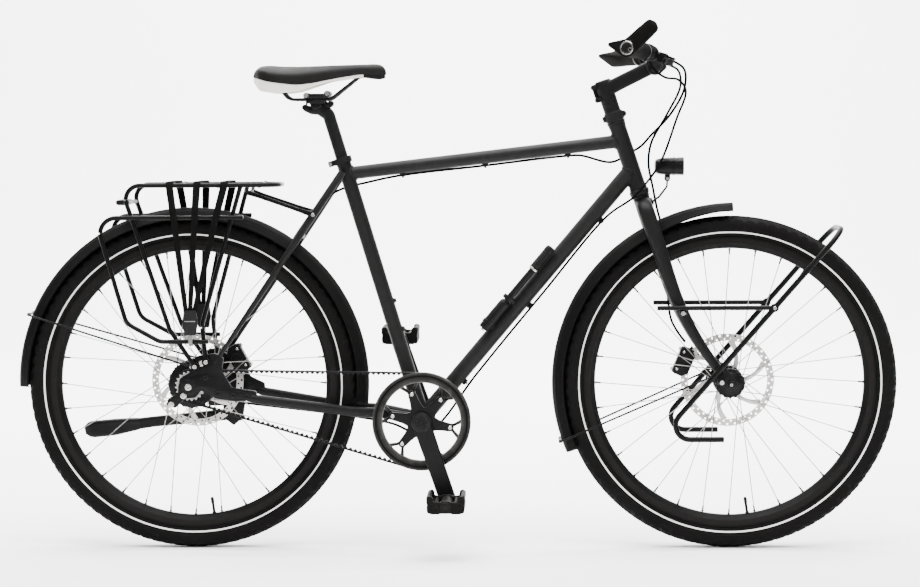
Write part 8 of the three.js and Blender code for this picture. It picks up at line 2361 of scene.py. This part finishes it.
def smooth_route(points, count):
    """A centripetal curve through the points: each span's tangents use the square roots of the spacings."""
    points = np.asarray(points, float)
    ends = np.concatenate([[2 * points[0] - points[1]], points, [2 * points[-1] - points[-2]]])
    gaps = np.sqrt(np.linalg.norm(np.diff(ends, axis=0), axis=1))[:, None]
    before, first, second, after = ends[:-3], ends[1:-2], ends[2:-1], ends[3:]
    a, b, c = gaps[:-2], gaps[1:-1], gaps[2:]
    start = ((first - before) / a - (second - before) / (a + b) + (second - first) / b) * b
    stop = ((second - first) / b - (after - first) / (b + c) + (after - second) / c) * b
    t = np.linspace(0, 1, count, endpoint=False)[None, :, None]
    first, second, start, stop = (value[:, None] for value in (first, second, start, stop))
    line = (first * (1 + 2 * t) * (1 - t) ** 2 + start * t * (1 - t) ** 2 + second * t * t * (3 - 2 * t)
            + stop * t * t * (t - 1)).reshape(-1, 3)
    return resampled(np.concatenate([line, points[-1:]]), 6.0)


def beside(foot, head, rows):
    """Points beside a tube: share of its length, side, and height above its middle line."""
    along = head - foot
    up = np.array([-along[2], 0.0, along[0]]) / np.linalg.norm(along)
    return [foot + share * along + above * up + (0, y, 0) for share, y, above in rows]


def sleeves(path):
    """A short metal sleeve over each end of a hose."""
    radius = SLEEVE_RADIUS
    length = SLEEVE_LENGTH
    made = []
    for start, then in ((path[0], path[2]), (path[-1], path[-3])):
        way = (then - start) / np.linalg.norm(then - start)
        made.append(turned([(2.7, 0), (radius - 0.3, 0), (radius, 0.4), (radius, length - 1),
                            (radius - 0.4, length), (2.6, length)], start, way, 24))
    return made


def hoses():
    """Front hose on the fork, rear hose and the pair of gear cables across the steering axis."""
    jacket = coat("hose_jacket", (0.0042, 0.0042, 0.0042), 0.5, 0.0, 1200.0, 0.02, 0.06, gloss=0.0)
    front = [(137, 118, 704), (155, 108, 691), (168, 92, 674), (160, 72, 640), (110, 50, 590), (60, 36, 545),
             (40, 34, 505),
             (32, 36, 450), (27, 48, 405), (24, 60, 350), (16, 66, 290), (-2, 66.3, 240), (-15, 65, 195),
             (-20, 56, 160), (-14, 46, 128), (-7, 41, 108)]
    path = smooth_route([on_steering(*point) for point in front], 12)
    make("front_brake_hose_fine", [carried(path, 5.4, 5.4, circle(16), across=(0.1, 1, 0.1))], jacket,
         "steering", "front_brake_hose", slot="hose")
    make("front_brake_hose_ends", sleeves(path), dark_alloy, "steering", slot="black_alloy")
    rear = [on_steering(*point) for point in
            ((137, -118, 704), (155, -106, 690), (168, -88, 670), (156, -50, 630), (112, -12, 588),
             (62, 14, 560), (36, 27, 545), (6, 30, 538))]
    rear += beside(top_from, top_to, ((0.9546, 26, -43.1), (0.8447, 10, -20.5), (0.7882, 6, -17.8),
                                      (0.4994, 5.9, -17.7), (0.1786, 5.9, -17.7)))
    rear += [from_rear(*point) for point in
             ((378, 21, 435), (335, 22, 425), (301, 24, 409), (265, 32, 377), (206, 40.5, 295),
              (149, 49, 203), (102, 53, 133), (83, 51.5, 94))]
    path = smooth_route(rear, 12)
    piece = make("rear_brake_hose_fine", [carried(path, 5.4, 5.4, circle(16), across=(0.1, 1, 0.1))], jacket,
                 None, "rear_brake_hose", slot="hose")
    make("rear_brake_hose_ends", sleeves(path)[1:], dark_alloy, "frame", slot="black_alloy")
    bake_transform(piece)
    shift = [on_steering(*point) for point in
             ((101, -152, 713), (103, -145, 694), (122, -126, 668), (148, -99, 655), (158, -62, 625),
              (124, -36, 578), (62, -31, 500), (20, -31, 468))]
    shift += beside(bracket, down_to, ((0.936, -27, -39.8), (0.8424, -8, -23.6), (0.5356, -7, -24.4),
                                       (0.2093, -7, -27.7), (0.0134, -6, -34.4)))
    shift += [from_rear(*point) for point in
              ((493, 0, -113), (433, 20, -93), (343, 42, -79), (183, 57, -61), (113, 60, -53), (68, 60, -46))]
    lines = []
    for side in (-1, 1):
        path = smooth_route(np.array(shift) + (0, side * 2.4, 0), 12)
        lines.append(carried(path, 4.9, 4.9, circle(16), across=(0.1, 1, 0.1)))
    piece = make("shift_cables_fine", lines, jacket, None, "shift_cables", slot="hose")
    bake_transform(piece)


hoses()
